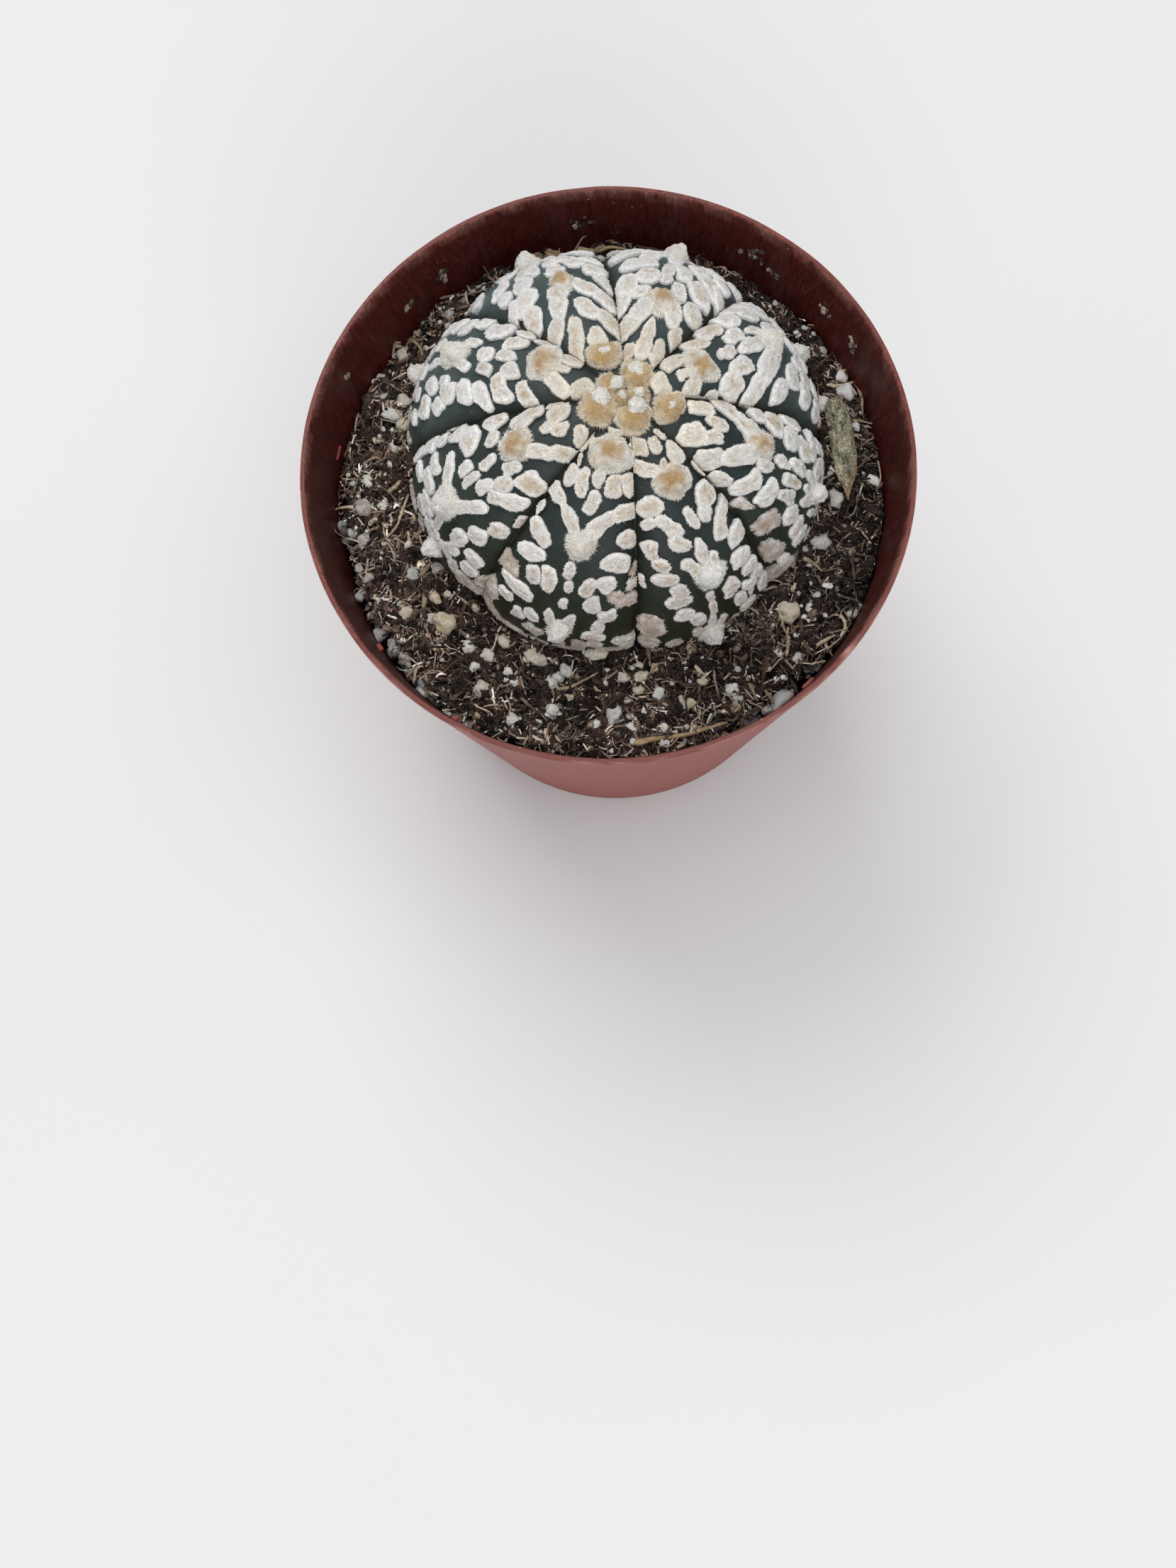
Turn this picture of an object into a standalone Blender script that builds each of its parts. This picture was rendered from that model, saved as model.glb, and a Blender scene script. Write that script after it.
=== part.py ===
"""Star cactus growing in a round, thin-walled nursery pot.

The pot stands on Z = 0 with its centre line on Z, and the view looks along +Y.
Lengths below are in millimetres unless a name says otherwise; the meshes are in metres.
"""

import math
import random

import bmesh
import bpy
import numpy as np
from mathutils import Matrix, Vector
from mathutils.bvhtree import BVHTree

MM = 0.001
GAP = 0.35  # left between neighbouring pieces
SEED = 7

# Pot: a plain taper with a thin lip, a foot ring and round drain holes.
POT_HEIGHT = 88.0
RIM_RADIUS = 51.0
FOOT_RADIUS = 34.0
FOOT_INNER_RADIUS = 28.0
WALL = 1.0
BASE_TOP = 2.4
BASE_RECESS = 1.2
POT_STEPS = 60
DRAIN_HOLES = 6
DRAIN_RADIUS = 4.0
DRAIN_CIRCLE = 18.0

# Soil: its skin mounds up to the plant and sinks towards the wall.
SOIL_AT_PLANT = 76.0
SOIL_AT_WALL = 72.4
SOIL_STEPS = 60
GRAIN_COUNT = 46

# Cactus body: a flattened ball that leans a little, cut by sharp furrows.
BODY_CENTRE = Vector((1.15, 6.2, 78.0))
BODY_RADIUS = 35.2
BODY_RISE = 25.9
BODY_LEAN = Vector((0.091, -0.028, 1.0))
FURROWS_DEG = (-176.3, -131.0, -85.0, -41.5, 3.0, 49.0, 95.0, 140.0)
FURROW_DEPTH = 2.6
FURROW_REACH = 1.9
COLUMNS_PER_RIB = 6
BODY_ROWS = 16
ROOT_TOP, ROOT_TIP = 56.0, 43.0
ROOT_TOP_RADIUS, ROOT_TIP_RADIUS = 6.0, 2.6
FLECK_RISE = 0.8
FLECK_ROOT = 0.7
SMALLEST_FLECK = 7.5  # length times width; smaller ones are left to the finish

RIB_DEG = {"A": 72, "B": 28, "C": -18, "D": -62, "E": -107, "F": -153, "G": 161, "H": 117}
# How far from the crown each rib's flecks are in view; past that they follow a rule.
SEEN_TO = {"A": 34, "B": 37, "C": 43, "D": 48, "E": 48, "F": 47, "G": 39, "H": 33}

# Woolly tufts on each rib: across the ridge, along it from the crown, width, length.
TUFTS = {
    "A": ((0.0, 19.5, 5.2, 5.6), (0.3, 38.6, 3.8, 4.0)),
    "B": ((-0.4, 13.4, 5.6, 5.4), (0.9, 30.6, 4.4, 5.2), (0.6, 45.0, 3.6, 3.6)),
    "C": ((0.3, 7.0, 5.2, 4.8), (1.5, 23.6, 4.8, 5.4), (1.2, 40.4, 3.8, 3.8)),
    "D": ((0.1, 15.4, 6.0, 5.0), (0.4, 32.4, 4.8, 5.0), (-1.0, 46.4, 3.6, 3.8)),
    "E": ((0.0, 9.8, 6.4, 5.2), (0.0, 25.4, 4.6, 4.8), (0.2, 42.4, 3.4, 4.2)),
    "F": ((-1.5, 19.7, 5.2, 5.0), (-0.8, 36.0, 4.6, 5.2), (2.2, 45.8, 3.2, 3.0)),
    "G": ((-1.5, 14.9, 5.8, 5.0), (-1.6, 32.6, 4.4, 5.2), (-1.0, 46.0, 3.4, 3.6)),
    "H": ((0.0, 7.9, 4.8, 4.6), (-1.0, 25.4, 3.8, 5.2), (0.2, 40.0, 3.8, 4.0)),
}
# Young tufts at the crown: X and Y from its centre, width.
CROWN_TUFTS = (
    (1.5, 3.5, 4.6), (-2.5, 1.7, 3.6), (-4.6, -2.2, 5.2),
    (1.8, 0.1, 3.0), (1.0, -3.7, 4.8), (-0.9, -0.6, 2.4),
)
# Flat felted flecks on each rib: across, along, length, width, and the turn in degrees
# of the long side away from the ridge's line.
FLECKS = {
    "A": (
        (-2.5, 9.2, 5.6, 2.6, 0), (0.0, 10.9, 7.4, 2.2, 0), (2.2, 7.9, 2.6, 1.6, 0),
        (-4.3, 13.6, 5.2, 2.8, 12), (-2.5, 17.4, 5.0, 2.8, 18), (3.7, 12.8, 5.6, 2.8, -18),
        (2.3, 16.6, 4.6, 2.8, -14), (-2.1, 23.3, 4.4, 3.0, 12), (-5.8, 20.4, 4.6, 3.8, 25),
        (5.8, 18.2, 5.0, 2.0, 5), (6.3, 22.4, 5.2, 3.1, 8), (3.9, 20.7, 3.4, 2.5, -5),
        (-5.6, 25.6, 6.0, 4.2, 28), (3.4, 25.2, 4.6, 4.2, 10), (-2.0, 29.4, 5.4, 3.0, 10),
        (0.6, 28.5, 5.0, 2.4, 0), (5.8, 29.2, 5.6, 3.6, -60), (-6.9, 29.8, 6.0, 3.4, 35),
        (-8.6, 33.4, 3.8, 2.6, 60), (-4.2, 33.6, 4.2, 3.0, 30), (4.4, 33.2, 4.4, 3.0, -30),
        (0.2, 33.6, 3.6, 2.2, 0),
    ),
    "B": (
        (-1.0, 5.8, 3.9, 2.6, 95), (-7.4, 12.3, 5.2, 2.7, -25), (-5.6, 13.8, 3.0, 1.6, 0),
        (-3.7, 10.6, 4.4, 3.0, 55), (2.0, 10.3, 5.4, 2.1, 4), (-0.5, 10.2, 2.0, 1.6, 0),
        (3.7, 15.6, 4.8, 2.3, -4), (-5.2, 18.2, 4.8, 4.4, 35), (-2.3, 20.8, 5.0, 3.2, 14),
        (0.5, 19.4, 4.2, 2.5, 6), (5.4, 19.6, 5.4, 2.9, 14), (3.0, 23.0, 5.4, 2.8, 8),
        (0.6, 24.0, 5.0, 2.6, 8), (-7.0, 22.6, 4.8, 3.5, 55), (-4.3, 25.7, 6.0, 3.6, 38),
        (-2.0, 28.9, 4.2, 2.8, 30), (6.3, 25.0, 5.4, 3.4, 0), (3.4, 28.2, 4.0, 1.7, -8),
        (-8.0, 28.0, 5.2, 3.6, 45), (-5.6, 32.7, 5.4, 3.8, 65), (7.0, 30.9, 5.0, 3.4, -10),
        (-8.9, 35.8, 4.6, 3.0, 70), (3.8, 33.8, 3.8, 2.2, 0), (7.6, 35.4, 3.8, 2.8, -40),
    ),
    "C": (
        (-2.3, 12.3, 4.8, 4.1, 10), (2.6, 12.2, 4.8, 2.4, 20), (-1.2, 15.4, 3.4, 2.4, 20),
        (1.3, 15.4, 4.4, 2.1, 0), (-4.7, 17.0, 4.6, 3.5, 40), (-2.5, 19.9, 5.4, 3.2, 35),
        (-0.7, 22.4, 3.4, 2.6, 28), (4.8, 16.6, 5.0, 2.9, -22), (3.5, 19.8, 4.6, 2.9, -12),
        (-7.0, 20.3, 3.8, 2.6, 15), (-5.5, 24.6, 6.4, 3.5, 65), (-1.2, 25.7, 3.4, 2.2, 12),
        (6.2, 22.5, 3.5, 2.3, 5), (7.9, 22.6, 3.4, 0.9, 3), (6.7, 26.1, 4.2, 3.9, 0),
        (-8.6, 26.3, 3.8, 1.9, 8), (-5.0, 28.9, 5.4, 3.6, 88), (-3.3, 32.4, 4.4, 2.6, 15),
        (-0.6, 32.4, 5.2, 2.4, 10), (1.1, 29.0, 4.2, 2.0, 0), (2.3, 32.8, 4.9, 2.1, 0),
        (5.8, 30.2, 4.2, 4.0, 0), (9.2, 30.5, 4.6, 2.3, 10), (6.0, 33.9, 4.4, 3.3, -35),
        (-9.0, 32.3, 5.6, 3.8, 82), (-5.2, 35.7, 4.0, 3.3, 60), (-5.7, 39.0, 4.0, 2.5, 90),
        (6.6, 36.8, 3.2, 3.0, 0), (9.3, 36.7, 3.0, 2.3, 60), (-1.4, 38.1, 3.0, 1.8, 35),
        (2.7, 37.4, 3.6, 1.6, -4), (0.6, 37.6, 2.6, 1.5, 0), (-11.6, 38.0, 5.0, 3.7, 0),
        (-6.0, 41.7, 4.0, 2.5, 80), (-11.0, 42.2, 3.0, 2.2, 0), (5.4, 39.9, 3.8, 2.7, 80),
        (9.6, 39.6, 3.0, 2.2, 60), (-1.4, 42.2, 3.2, 1.4, 28),
    ),
    "D": (
        (-2.3, 8.6, 3.6, 2.8, -20), (0.2, 9.2, 3.2, 2.1, 0), (1.7, 8.1, 2.8, 1.1, 30),
        (-3.3, 12.2, 4.8, 2.8, 55), (2.5, 12.0, 4.8, 2.8, 12), (0.0, 12.6, 2.2, 1.5, 0),
        (5.5, 16.4, 3.6, 0.8, 20), (-4.9, 18.5, 4.6, 3.6, -60), (-6.2, 21.0, 3.0, 2.0, -70),
        (-3.3, 22.0, 5.2, 3.0, 30), (-2.8, 25.3, 4.2, 3.0, 45), (0.6, 22.2, 4.5, 1.7, 8),
        (4.4, 20.0, 4.6, 4.0, -10), (3.0, 22.5, 3.4, 2.6, -20), (0.2, 26.6, 2.8, 2.1, 0),
        (6.8, 23.8, 4.2, 2.4, -62), (4.9, 26.0, 4.4, 3.0, -25), (-7.6, 25.5, 3.4, 2.7, 0),
        (-6.8, 28.2, 3.4, 2.6, 60), (-6.8, 30.7, 4.6, 2.5, 80), (-2.2, 29.7, 3.6, 2.5, 32),
        (1.8, 30.2, 3.2, 2.0, -10), (7.1, 29.0, 4.4, 3.7, 90), (6.5, 33.0, 4.6, 3.4, 90),
        (7.7, 35.8, 4.0, 2.7, 90), (-5.0, 33.6, 3.8, 3.2, 20), (-5.8, 35.4, 5.0, 2.6, 85),
        (-0.5, 36.6, 2.4, 1.8, 0), (-0.3, 39.4, 3.6, 1.4, 3), (-0.7, 42.0, 2.0, 1.4, 0),
        (3.5, 37.2, 4.6, 3.3, -25), (-5.2, 38.5, 3.8, 2.7, 70), (-3.2, 40.8, 3.6, 2.6, 40),
        (6.8, 39.2, 3.6, 2.0, 70), (4.9, 41.0, 3.2, 2.6, 0), (7.1, 41.3, 2.0, 1.2, 0),
        (6.3, 44.4, 3.8, 3.0, 90), (1.3, 43.8, 2.6, 1.5, -20), (-3.3, 44.6, 3.0, 1.9, 10),
        (-7.4, 46.8, 3.0, 2.6, 0), (9.2, 38.4, 3.0, 2.5, 60), (10.4, 42.5, 4.2, 3.4, 10),
        (-10.6, 30.8, 2.4, 1.0, -5), (-11.3, 40.5, 6.0, 4.8, 0), (3.8, 47.0, 3.0, 2.4, 0),
    ),
    "E": (
        (0.0, 6.4, 2.8, 1.2, 90), (-4.8, 9.7, 4.0, 2.6, -28), (4.7, 8.8, 4.2, 2.6, 35),
        (-4.7, 15.7, 4.0, 2.5, -8), (-2.7, 15.8, 5.0, 2.4, 5), (-4.3, 12.9, 2.2, 0.9, 5),
        (-0.4, 14.2, 3.6, 2.0, 0), (2.2, 15.0, 4.2, 2.6, 12), (4.5, 14.5, 4.4, 2.0, 25),
        (-0.1, 18.4, 4.4, 2.6, -12), (-6.0, 19.4, 4.4, 2.6, 65), (-3.0, 21.6, 5.0, 2.7, 42),
        (5.4, 18.9, 4.4, 2.9, -75), (2.7, 20.6, 5.0, 2.8, -35), (-8.4, 22.9, 3.0, 1.2, -15),
        (-7.0, 26.2, 5.2, 3.2, 58), (7.1, 23.4, 3.8, 3.1, 50), (6.4, 27.1, 5.0, 3.5, 80),
        (-7.4, 29.9, 5.6, 3.1, -74), (-6.0, 33.1, 3.4, 2.9, 20), (-3.3, 32.7, 4.8, 3.0, 12),
        (-0.4, 29.9, 3.2, 2.0, 0), (0.1, 32.7, 2.4, 1.6, 0), (3.0, 32.0, 4.0, 2.4, -20),
        (5.7, 31.0, 3.8, 3.2, 60), (4.4, 35.0, 3.8, 2.9, 15), (7.3, 37.2, 3.4, 2.7, -70),
        (9.9, 31.3, 2.4, 2.2, 0), (9.8, 28.6, 2.4, 1.3, 8), (9.0, 33.9, 5.4, 2.9, 75),
        (-8.2, 36.9, 7.0, 2.5, 76), (-0.2, 36.2, 2.2, 1.6, 0), (-1.9, 39.7, 3.4, 1.8, 18),
        (1.6, 39.6, 3.6, 1.9, -14), (-9.8, 39.9, 3.2, 2.0, 90), (-7.0, 42.4, 2.6, 2.2, 0),
        (-4.9, 41.4, 3.4, 2.5, 40), (-4.0, 45.3, 3.8, 2.9, 60), (6.3, 39.7, 3.0, 2.8, 0),
        (6.0, 42.2, 4.2, 2.1, 90), (4.0, 45.8, 3.4, 2.1, 0), (6.5, 44.8, 2.8, 2.1, 80),
        (10.4, 43.8, 2.8, 1.8, 65), (1.0, 47.0, 3.4, 1.4, 4), (-11.5, 34.2, 6.4, 3.3, 86),
        (-13.1, 42.0, 6.0, 3.6, -10), (13.0, 46.4, 4.0, 2.6, -15),
    ),
    "F": (
        (-2.4, 11.4, 4.6, 2.9, 0), (0.1, 12.0, 3.2, 2.3, 0), (-1.4, 13.9, 2.4, 1.8, 0),
        (-4.3, 11.8, 3.0, 1.1, -15), (2.7, 10.1, 4.3, 2.3, 45), (-4.8, 14.8, 3.0, 2.3, 0),
        (-4.5, 17.2, 4.8, 3.2, 20), (3.7, 13.9, 4.4, 3.2, -50), (1.6, 16.4, 4.6, 3.1, -35),
        (5.6, 13.2, 2.6, 0.9, 20), (5.3, 21.0, 5.2, 4.2, 90), (1.3, 21.9, 3.3, 2.4, -10),
        (-7.2, 22.2, 4.8, 3.1, -20), (-4.7, 23.0, 3.0, 2.4, 40), (-1.6, 25.0, 3.7, 2.2, 8),
        (2.9, 24.6, 3.6, 2.9, -20), (6.1, 25.4, 5.2, 3.3, -60), (1.2, 27.5, 3.8, 2.6, -15),
        (4.0, 27.0, 3.2, 2.4, -60), (-6.8, 27.0, 5.0, 4.0, 85), (9.4, 27.3, 3.0, 1.4, 12),
        (-9.4, 29.5, 4.0, 2.8, 8), (-12.2, 31.1, 3.0, 2.1, -30), (-3.2, 29.3, 3.4, 2.2, 8),
        (-1.2, 29.2, 4.4, 1.6, 0), (-4.7, 32.7, 6.2, 2.4, 52), (2.8, 31.4, 6.4, 2.5, -33),
        (8.4, 30.8, 3.6, 2.9, -80), (6.8, 34.2, 4.0, 3.2, -70), (-10.5, 33.2, 2.9, 2.2, 0),
        (-7.5, 35.6, 4.0, 2.4, 88), (-6.0, 38.1, 5.2, 2.6, 85), (-11.7, 36.6, 4.4, 3.1, -25),
        (4.9, 37.7, 3.6, 3.2, 0), (5.2, 41.0, 3.8, 2.9, -20), (9.2, 38.5, 4.4, 2.4, 76),
        (-3.4, 40.6, 5.0, 2.1, 76), (0.5, 40.5, 3.4, 1.8, 8), (9.6, 41.7, 4.2, 2.5, 85),
        (3.2, 43.0, 2.0, 1.1, 0), (-9.0, 40.4, 3.6, 2.3, 85), (-4.2, 43.1, 3.6, 2.1, 75),
        (-1.0, 43.8, 3.6, 1.9, 70), (6.9, 44.6, 3.2, 2.4, 30), (9.4, 46.2, 3.0, 2.4, 0),
        (-12.2, 40.6, 3.4, 2.5, 0),
    ),
    "G": (
        (1.3, 7.3, 4.6, 3.4, 50), (-3.1, 11.2, 4.6, 1.9, -10), (-1.2, 11.6, 3.0, 1.7, -8),
        (2.0, 11.2, 4.6, 3.0, -35), (4.4, 16.8, 4.6, 3.2, -65), (4.2, 21.2, 5.4, 3.5, -60),
        (1.0, 19.6, 4.0, 2.9, -15), (-1.6, 21.6, 4.0, 2.5, 0), (-4.3, 21.4, 4.6, 2.8, 5),
        (-5.4, 17.0, 4.2, 1.4, -12), (-6.7, 21.0, 4.0, 1.9, -18), (6.0, 24.2, 5.6, 2.9, -60),
        (1.1, 24.6, 3.6, 2.6, -10), (-1.5, 25.6, 3.4, 3.0, 0), (-6.4, 26.0, 5.2, 4.1, 20),
        (5.4, 28.0, 4.6, 3.4, -72), (-8.3, 30.4, 3.6, 3.0, 0), (-3.8, 29.3, 3.4, 1.9, 5),
        (0.6, 29.4, 3.4, 2.0, -20), (5.5, 31.6, 4.2, 4.0, 0), (7.5, 34.0, 3.0, 2.5, 40),
        (3.2, 33.0, 2.6, 2.0, 0), (-7.5, 33.8, 4.4, 2.6, 80), (-8.3, 37.0, 4.0, 2.9, 60),
        (-0.7, 37.6, 4.2, 1.8, 12), (3.8, 36.2, 4.2, 3.0, -38), (7.3, 37.6, 4.2, 3.2, 80),
    ),
    "H": (
        (-0.6, 11.4, 4.6, 3.1, -12), (-3.8, 14.0, 5.2, 2.9, 14), (-1.7, 17.8, 5.6, 2.8, 14),
        (-4.0, 11.0, 2.4, 1.0, 0), (2.7, 13.2, 7.6, 3.0, -27), (4.7, 17.0, 4.6, 3.5, -52),
        (2.4, 20.2, 5.4, 3.1, -30), (1.0, 23.2, 3.6, 2.4, -12), (-5.5, 18.7, 4.8, 2.8, 18),
        (-3.9, 22.3, 5.4, 2.7, 25), (6.5, 21.9, 5.0, 3.1, -15), (5.6, 26.3, 5.2, 3.6, -60),
        (-7.4, 23.6, 4.4, 2.2, 12), (-7.3, 27.2, 4.0, 2.8, 60), (4.4, 30.6, 4.6, 3.6, -30),
        (-1.6, 29.6, 4.2, 2.8, 0), (-5.2, 31.0, 4.0, 2.8, 50), (8.0, 30.8, 3.4, 2.8, -50),
        (1.0, 33.4, 3.6, 2.2, 0),
    ),
}

# Loose things lying on the soil.
HUSK_FROM = Vector((39.6, 14.6, 0.0))
HUSK_TO = Vector((41.2, -1.8, 0.0))
HUSK_WIDTH, HUSK_THICK = 3.7, 1.5
CHIPS = (((-13.4, 42.3), 4.2, 2.0, 35.0), ((-8.9, 43.3), 3.4, 1.6, -20.0))
TWIG = ((3.9, -43.9), (7.7, -42.9), (12.5, -42.4), (19.6, -40.4))
ROOTLET = ((-5.6, 45.6), (-2.4, 44.6), (0.9, 45.3), (4.8, 44.4))
TWIG_RADIUS, ROOTLET_RADIUS = 0.55, 0.4


class BodySurface:
    """The skin of the cactus, addressed by azimuth and by distance from the crown."""

    def __init__(self) -> None:
        up = BODY_LEAN.normalized()
        right = (Vector((1, 0, 0)) - up * up.x).normalized()
        self.turn = Matrix((right, up.cross(right), up)).transposed()
        self.angle = np.linspace(0.0, math.pi, 1801)
        step = np.hypot(BODY_RADIUS * np.cos(self.angle), BODY_RISE * np.sin(self.angle))
        arc = np.cumsum((step[1:] + step[:-1]) / 2 * np.diff(self.angle))
        self.arc = np.concatenate([[0.0], arc])

    def polar(self, along: float) -> float:
        """The angle from the crown, for a distance along the skin."""
        return float(np.interp(along, self.arc, self.angle))

    def furrow(self, azimuth: float, polar: float) -> float:
        """How far the furrows draw the skin in at an azimuth in radians."""
        radius = BODY_RADIUS * math.sin(polar)
        nearest = min(abs(wrap(azimuth - math.radians(g))) for g in FURROWS_DEG)
        depth = FURROW_DEPTH * min(1.0, radius / 22.0) * smooth((2.55 - polar) / 0.6)
        return depth * math.exp(-nearest * radius / FURROW_REACH)

    def point(self, azimuth: float, polar: float, lift: float = 0.0) -> Vector:
        """A point on the skin without furrows, lifted along its normal."""
        ring = Vector((math.cos(azimuth), math.sin(azimuth), 0.0))
        place = ring * (BODY_RADIUS * math.sin(polar))
        place.z = BODY_RISE * math.cos(polar)
        normal = ring * (math.sin(polar) / BODY_RADIUS)
        normal.z = math.cos(polar) / BODY_RISE
        return self.turn @ (place + normal.normalized() * lift) + BODY_CENTRE

    def place(self, rib: str, across: float, along: float) -> tuple:
        """Azimuth and angle from the crown of a place on a rib."""
        polar = self.polar(along)
        radius = max(BODY_RADIUS * math.sin(polar), 0.6)
        return math.radians(RIB_DEG[rib]) + across / radius, polar

    def on_rib(self, rib: str, across: float, along: float, lift: float) -> Vector:
        """A point given by its place on a rib, lifted from the furrowed skin."""
        azimuth, polar = self.place(rib, across, along)
        return self.point(azimuth, polar, lift - min(self.furrow(azimuth, polar), 1.1))

    def under_rib(self, rib: str, across: float, along: float, reach: float) -> Vector:
        """A point below the skin, and below any furrow within reach of it."""
        azimuth, polar = self.place(rib, across, along)
        arc = reach / max(BODY_RADIUS * math.sin(polar), 0.6)
        sides = [azimuth + arc * step / 4 for step in range(-4, 5)]
        return self.point(azimuth, polar, -FLECK_ROOT - max(self.furrow(a, polar) for a in sides))

    def near_crown(self, x: float, y: float, lift: float) -> Vector:
        """A point given by its X and Y from the crown, in the body's own frame."""
        return self.point(math.atan2(y, x), self.polar(math.hypot(x, y)), lift)


def wrap(angle: float) -> float:
    """An angle brought to between minus and plus half a turn."""
    return (angle + math.pi) % (2 * math.pi) - math.pi


def smooth(value: float) -> float:
    """A soft step from 0 to 1."""
    value = min(1.0, max(0.0, value))
    return value * value * (3 - 2 * value)


def collection(name: str) -> bpy.types.Collection:
    """A new collection in the scene."""
    made = bpy.data.collections.new(name)
    bpy.context.scene.collection.children.link(made)
    return made


def material(name: str, colour: tuple, roughness: float) -> bpy.types.Material:
    """A Principled material with one colour."""
    made = bpy.data.materials.new(name)
    made.use_nodes = True
    shader = made.node_tree.nodes["Principled BSDF"]
    shader.inputs["Base Color"].default_value = (*colour, 1.0)
    shader.inputs["Roughness"].default_value = roughness
    shader.inputs["Metallic"].default_value = 0.0
    return made


def add_object(name: str, mesh: bpy.types.Mesh, home: bpy.types.Collection) -> bpy.types.Object:
    """Puts a mesh in a collection as an object."""
    made = bpy.data.objects.new(name, mesh)
    home.objects.link(made)
    return made


def from_bmesh(name: str, work: bmesh.types.BMesh, home: bpy.types.Collection) -> bpy.types.Object:
    """Turns a bmesh in millimetres into an object in metres."""
    bmesh.ops.scale(work, vec=(MM, MM, MM), verts=work.verts)
    bmesh.ops.recalc_face_normals(work, faces=work.faces)
    mesh = bpy.data.meshes.new(name)
    work.to_mesh(mesh)
    work.free()
    return add_object(name, mesh, home)


def evaluated(source: bpy.types.Object) -> bpy.types.Mesh:
    """The mesh of an object with its modifiers applied."""
    depsgraph = bpy.context.evaluated_depsgraph_get()
    return bpy.data.meshes.new_from_object(source.evaluated_get(depsgraph))


def apply_modifiers(target: bpy.types.Object) -> None:
    """Replaces an object's mesh by its evaluated one."""
    mesh = evaluated(target)
    target.modifiers.clear()
    target.data = mesh


def turned(name: str, outline: list, steps: int, home: bpy.types.Collection) -> bpy.types.Object:
    """Turns an outline of (radius, height) pairs about Z; it runs down its outer side."""
    mesh = bpy.data.meshes.new(name)
    points = [(r * MM, 0.0, z * MM) for r, z in outline]
    mesh.from_pydata(points, [(i, i + 1) for i in range(len(points) - 1)], [])
    made = add_object(name, mesh, home)
    screw = made.modifiers.new("turn", "SCREW")
    screw.steps = screw.render_steps = steps
    screw.use_merge_vertices = True
    screw.merge_threshold = 0.00005
    screw.use_normal_calculate = False
    return made


def join_all(base: bpy.types.Object, extras: bpy.types.Collection, solver: str) -> None:
    """Grows everything in a collection into the base solid."""
    union = base.modifiers.new("grown together", "BOOLEAN")
    union.operation = "UNION"
    union.operand_type = "COLLECTION"
    union.collection = extras
    union.solver = solver
    apply_modifiers(base)
    for item in list(extras.objects):
        bpy.data.objects.remove(item)


def clean(target: bpy.types.Object) -> None:
    """Removes the slivers that joining leaves."""
    work = bmesh.new()
    work.from_mesh(target.data)
    bmesh.ops.triangulate(work, faces=work.faces)
    bmesh.ops.dissolve_degenerate(work, dist=0.000012, edges=work.edges)
    bmesh.ops.triangulate(work, faces=work.faces)
    work.to_mesh(target.data)
    work.free()


def shade(target: bpy.types.Object, angle_deg: float) -> None:
    """Smooth shading that keeps the sharp edges."""
    target.data.shade_smooth()
    target.data.set_sharp_from_angle(angle=math.radians(angle_deg))


def hide_cutter(cutter: bpy.types.Object) -> None:
    """Marks an object as a cutter."""
    cutter.hide_render = True
    cutter.display_type = "WIRE"


def inner_radius(height: float) -> float:
    """The pot's inner wall at a height."""
    share = (height - BASE_TOP) / (POT_HEIGHT - BASE_TOP)
    low = FOOT_RADIUS - 0.6
    return low + (RIM_RADIUS - WALL - low) * share


def make_pot(parts: bpy.types.Collection, cutters: bpy.types.Collection) -> bpy.types.Object:
    """The pot: turned wall and base, with drain holes cut through the base."""
    outline = [
        (0.0, BASE_TOP), (FOOT_RADIUS - 2.2, BASE_TOP), (inner_radius(BASE_TOP + 1.6), BASE_TOP + 1.6),
        (RIM_RADIUS - WALL, POT_HEIGHT - 0.3), (RIM_RADIUS - WALL + 0.3, POT_HEIGHT),
        (RIM_RADIUS - 0.25, POT_HEIGHT), (RIM_RADIUS, POT_HEIGHT - 0.3),
        (RIM_RADIUS - 0.25, POT_HEIGHT - 1.8), (FOOT_RADIUS + 0.3, 0.6), (FOOT_RADIUS - 0.4, 0.0),
        (FOOT_INNER_RADIUS, 0.0), (FOOT_INNER_RADIUS - 0.6, BASE_RECESS), (0.0, BASE_RECESS),
    ]
    pot = turned("pot", outline, POT_STEPS, parts)
    for index in range(DRAIN_HOLES):
        angle = 2 * math.pi * (index + 0.5) / DRAIN_HOLES
        work = bmesh.new()
        bmesh.ops.create_cone(
            work, cap_ends=True, segments=12, radius1=DRAIN_RADIUS, radius2=DRAIN_RADIUS, depth=8.0,
            matrix=Matrix.Translation(
                (DRAIN_CIRCLE * math.cos(angle), DRAIN_CIRCLE * math.sin(angle), BASE_TOP / 2)
            ),
        )
        cutter = from_bmesh(f"drain_{index}", work, cutters)
        hide_cutter(cutter)
        cut = pot.modifiers.new(f"drain {index}", "BOOLEAN")
        cut.operation = "DIFFERENCE"
        cut.object = cutter
    apply_modifiers(pot)
    shade(pot, 35)
    pot.data.materials.append(material("pot plastic", (0.115, 0.034, 0.024), 0.55))
    return pot


def lumps(x: float, y: float) -> float:
    """Relief of the soil: a few crossed waves."""
    return (
        0.55 * math.sin(0.47 * x + 1.3) * math.cos(0.41 * y - 0.6)
        + 0.35 * math.sin(0.93 * x - 0.5 * y + 2.1)
        + 0.25 * math.cos(1.21 * y + 0.37 * x)
    )


def soil_height(x: float, y: float) -> float:
    """Height of the soil's skin in the pot."""
    away = math.hypot(x - BODY_CENTRE.x, y - BODY_CENTRE.y) - BODY_RADIUS
    share = smooth(away / 11.0)
    return SOIL_AT_PLANT + (SOIL_AT_WALL - SOIL_AT_PLANT) * share + lumps(x, y)


def shrink_from_wall(azimuth: float) -> float:
    """How far the dry soil has drawn back from the wall near the top."""
    return 0.9 + 0.8 * max(0.0, math.cos(azimuth - 2.9)) + 0.7 * max(0.0, math.cos(azimuth + 0.5))


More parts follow.
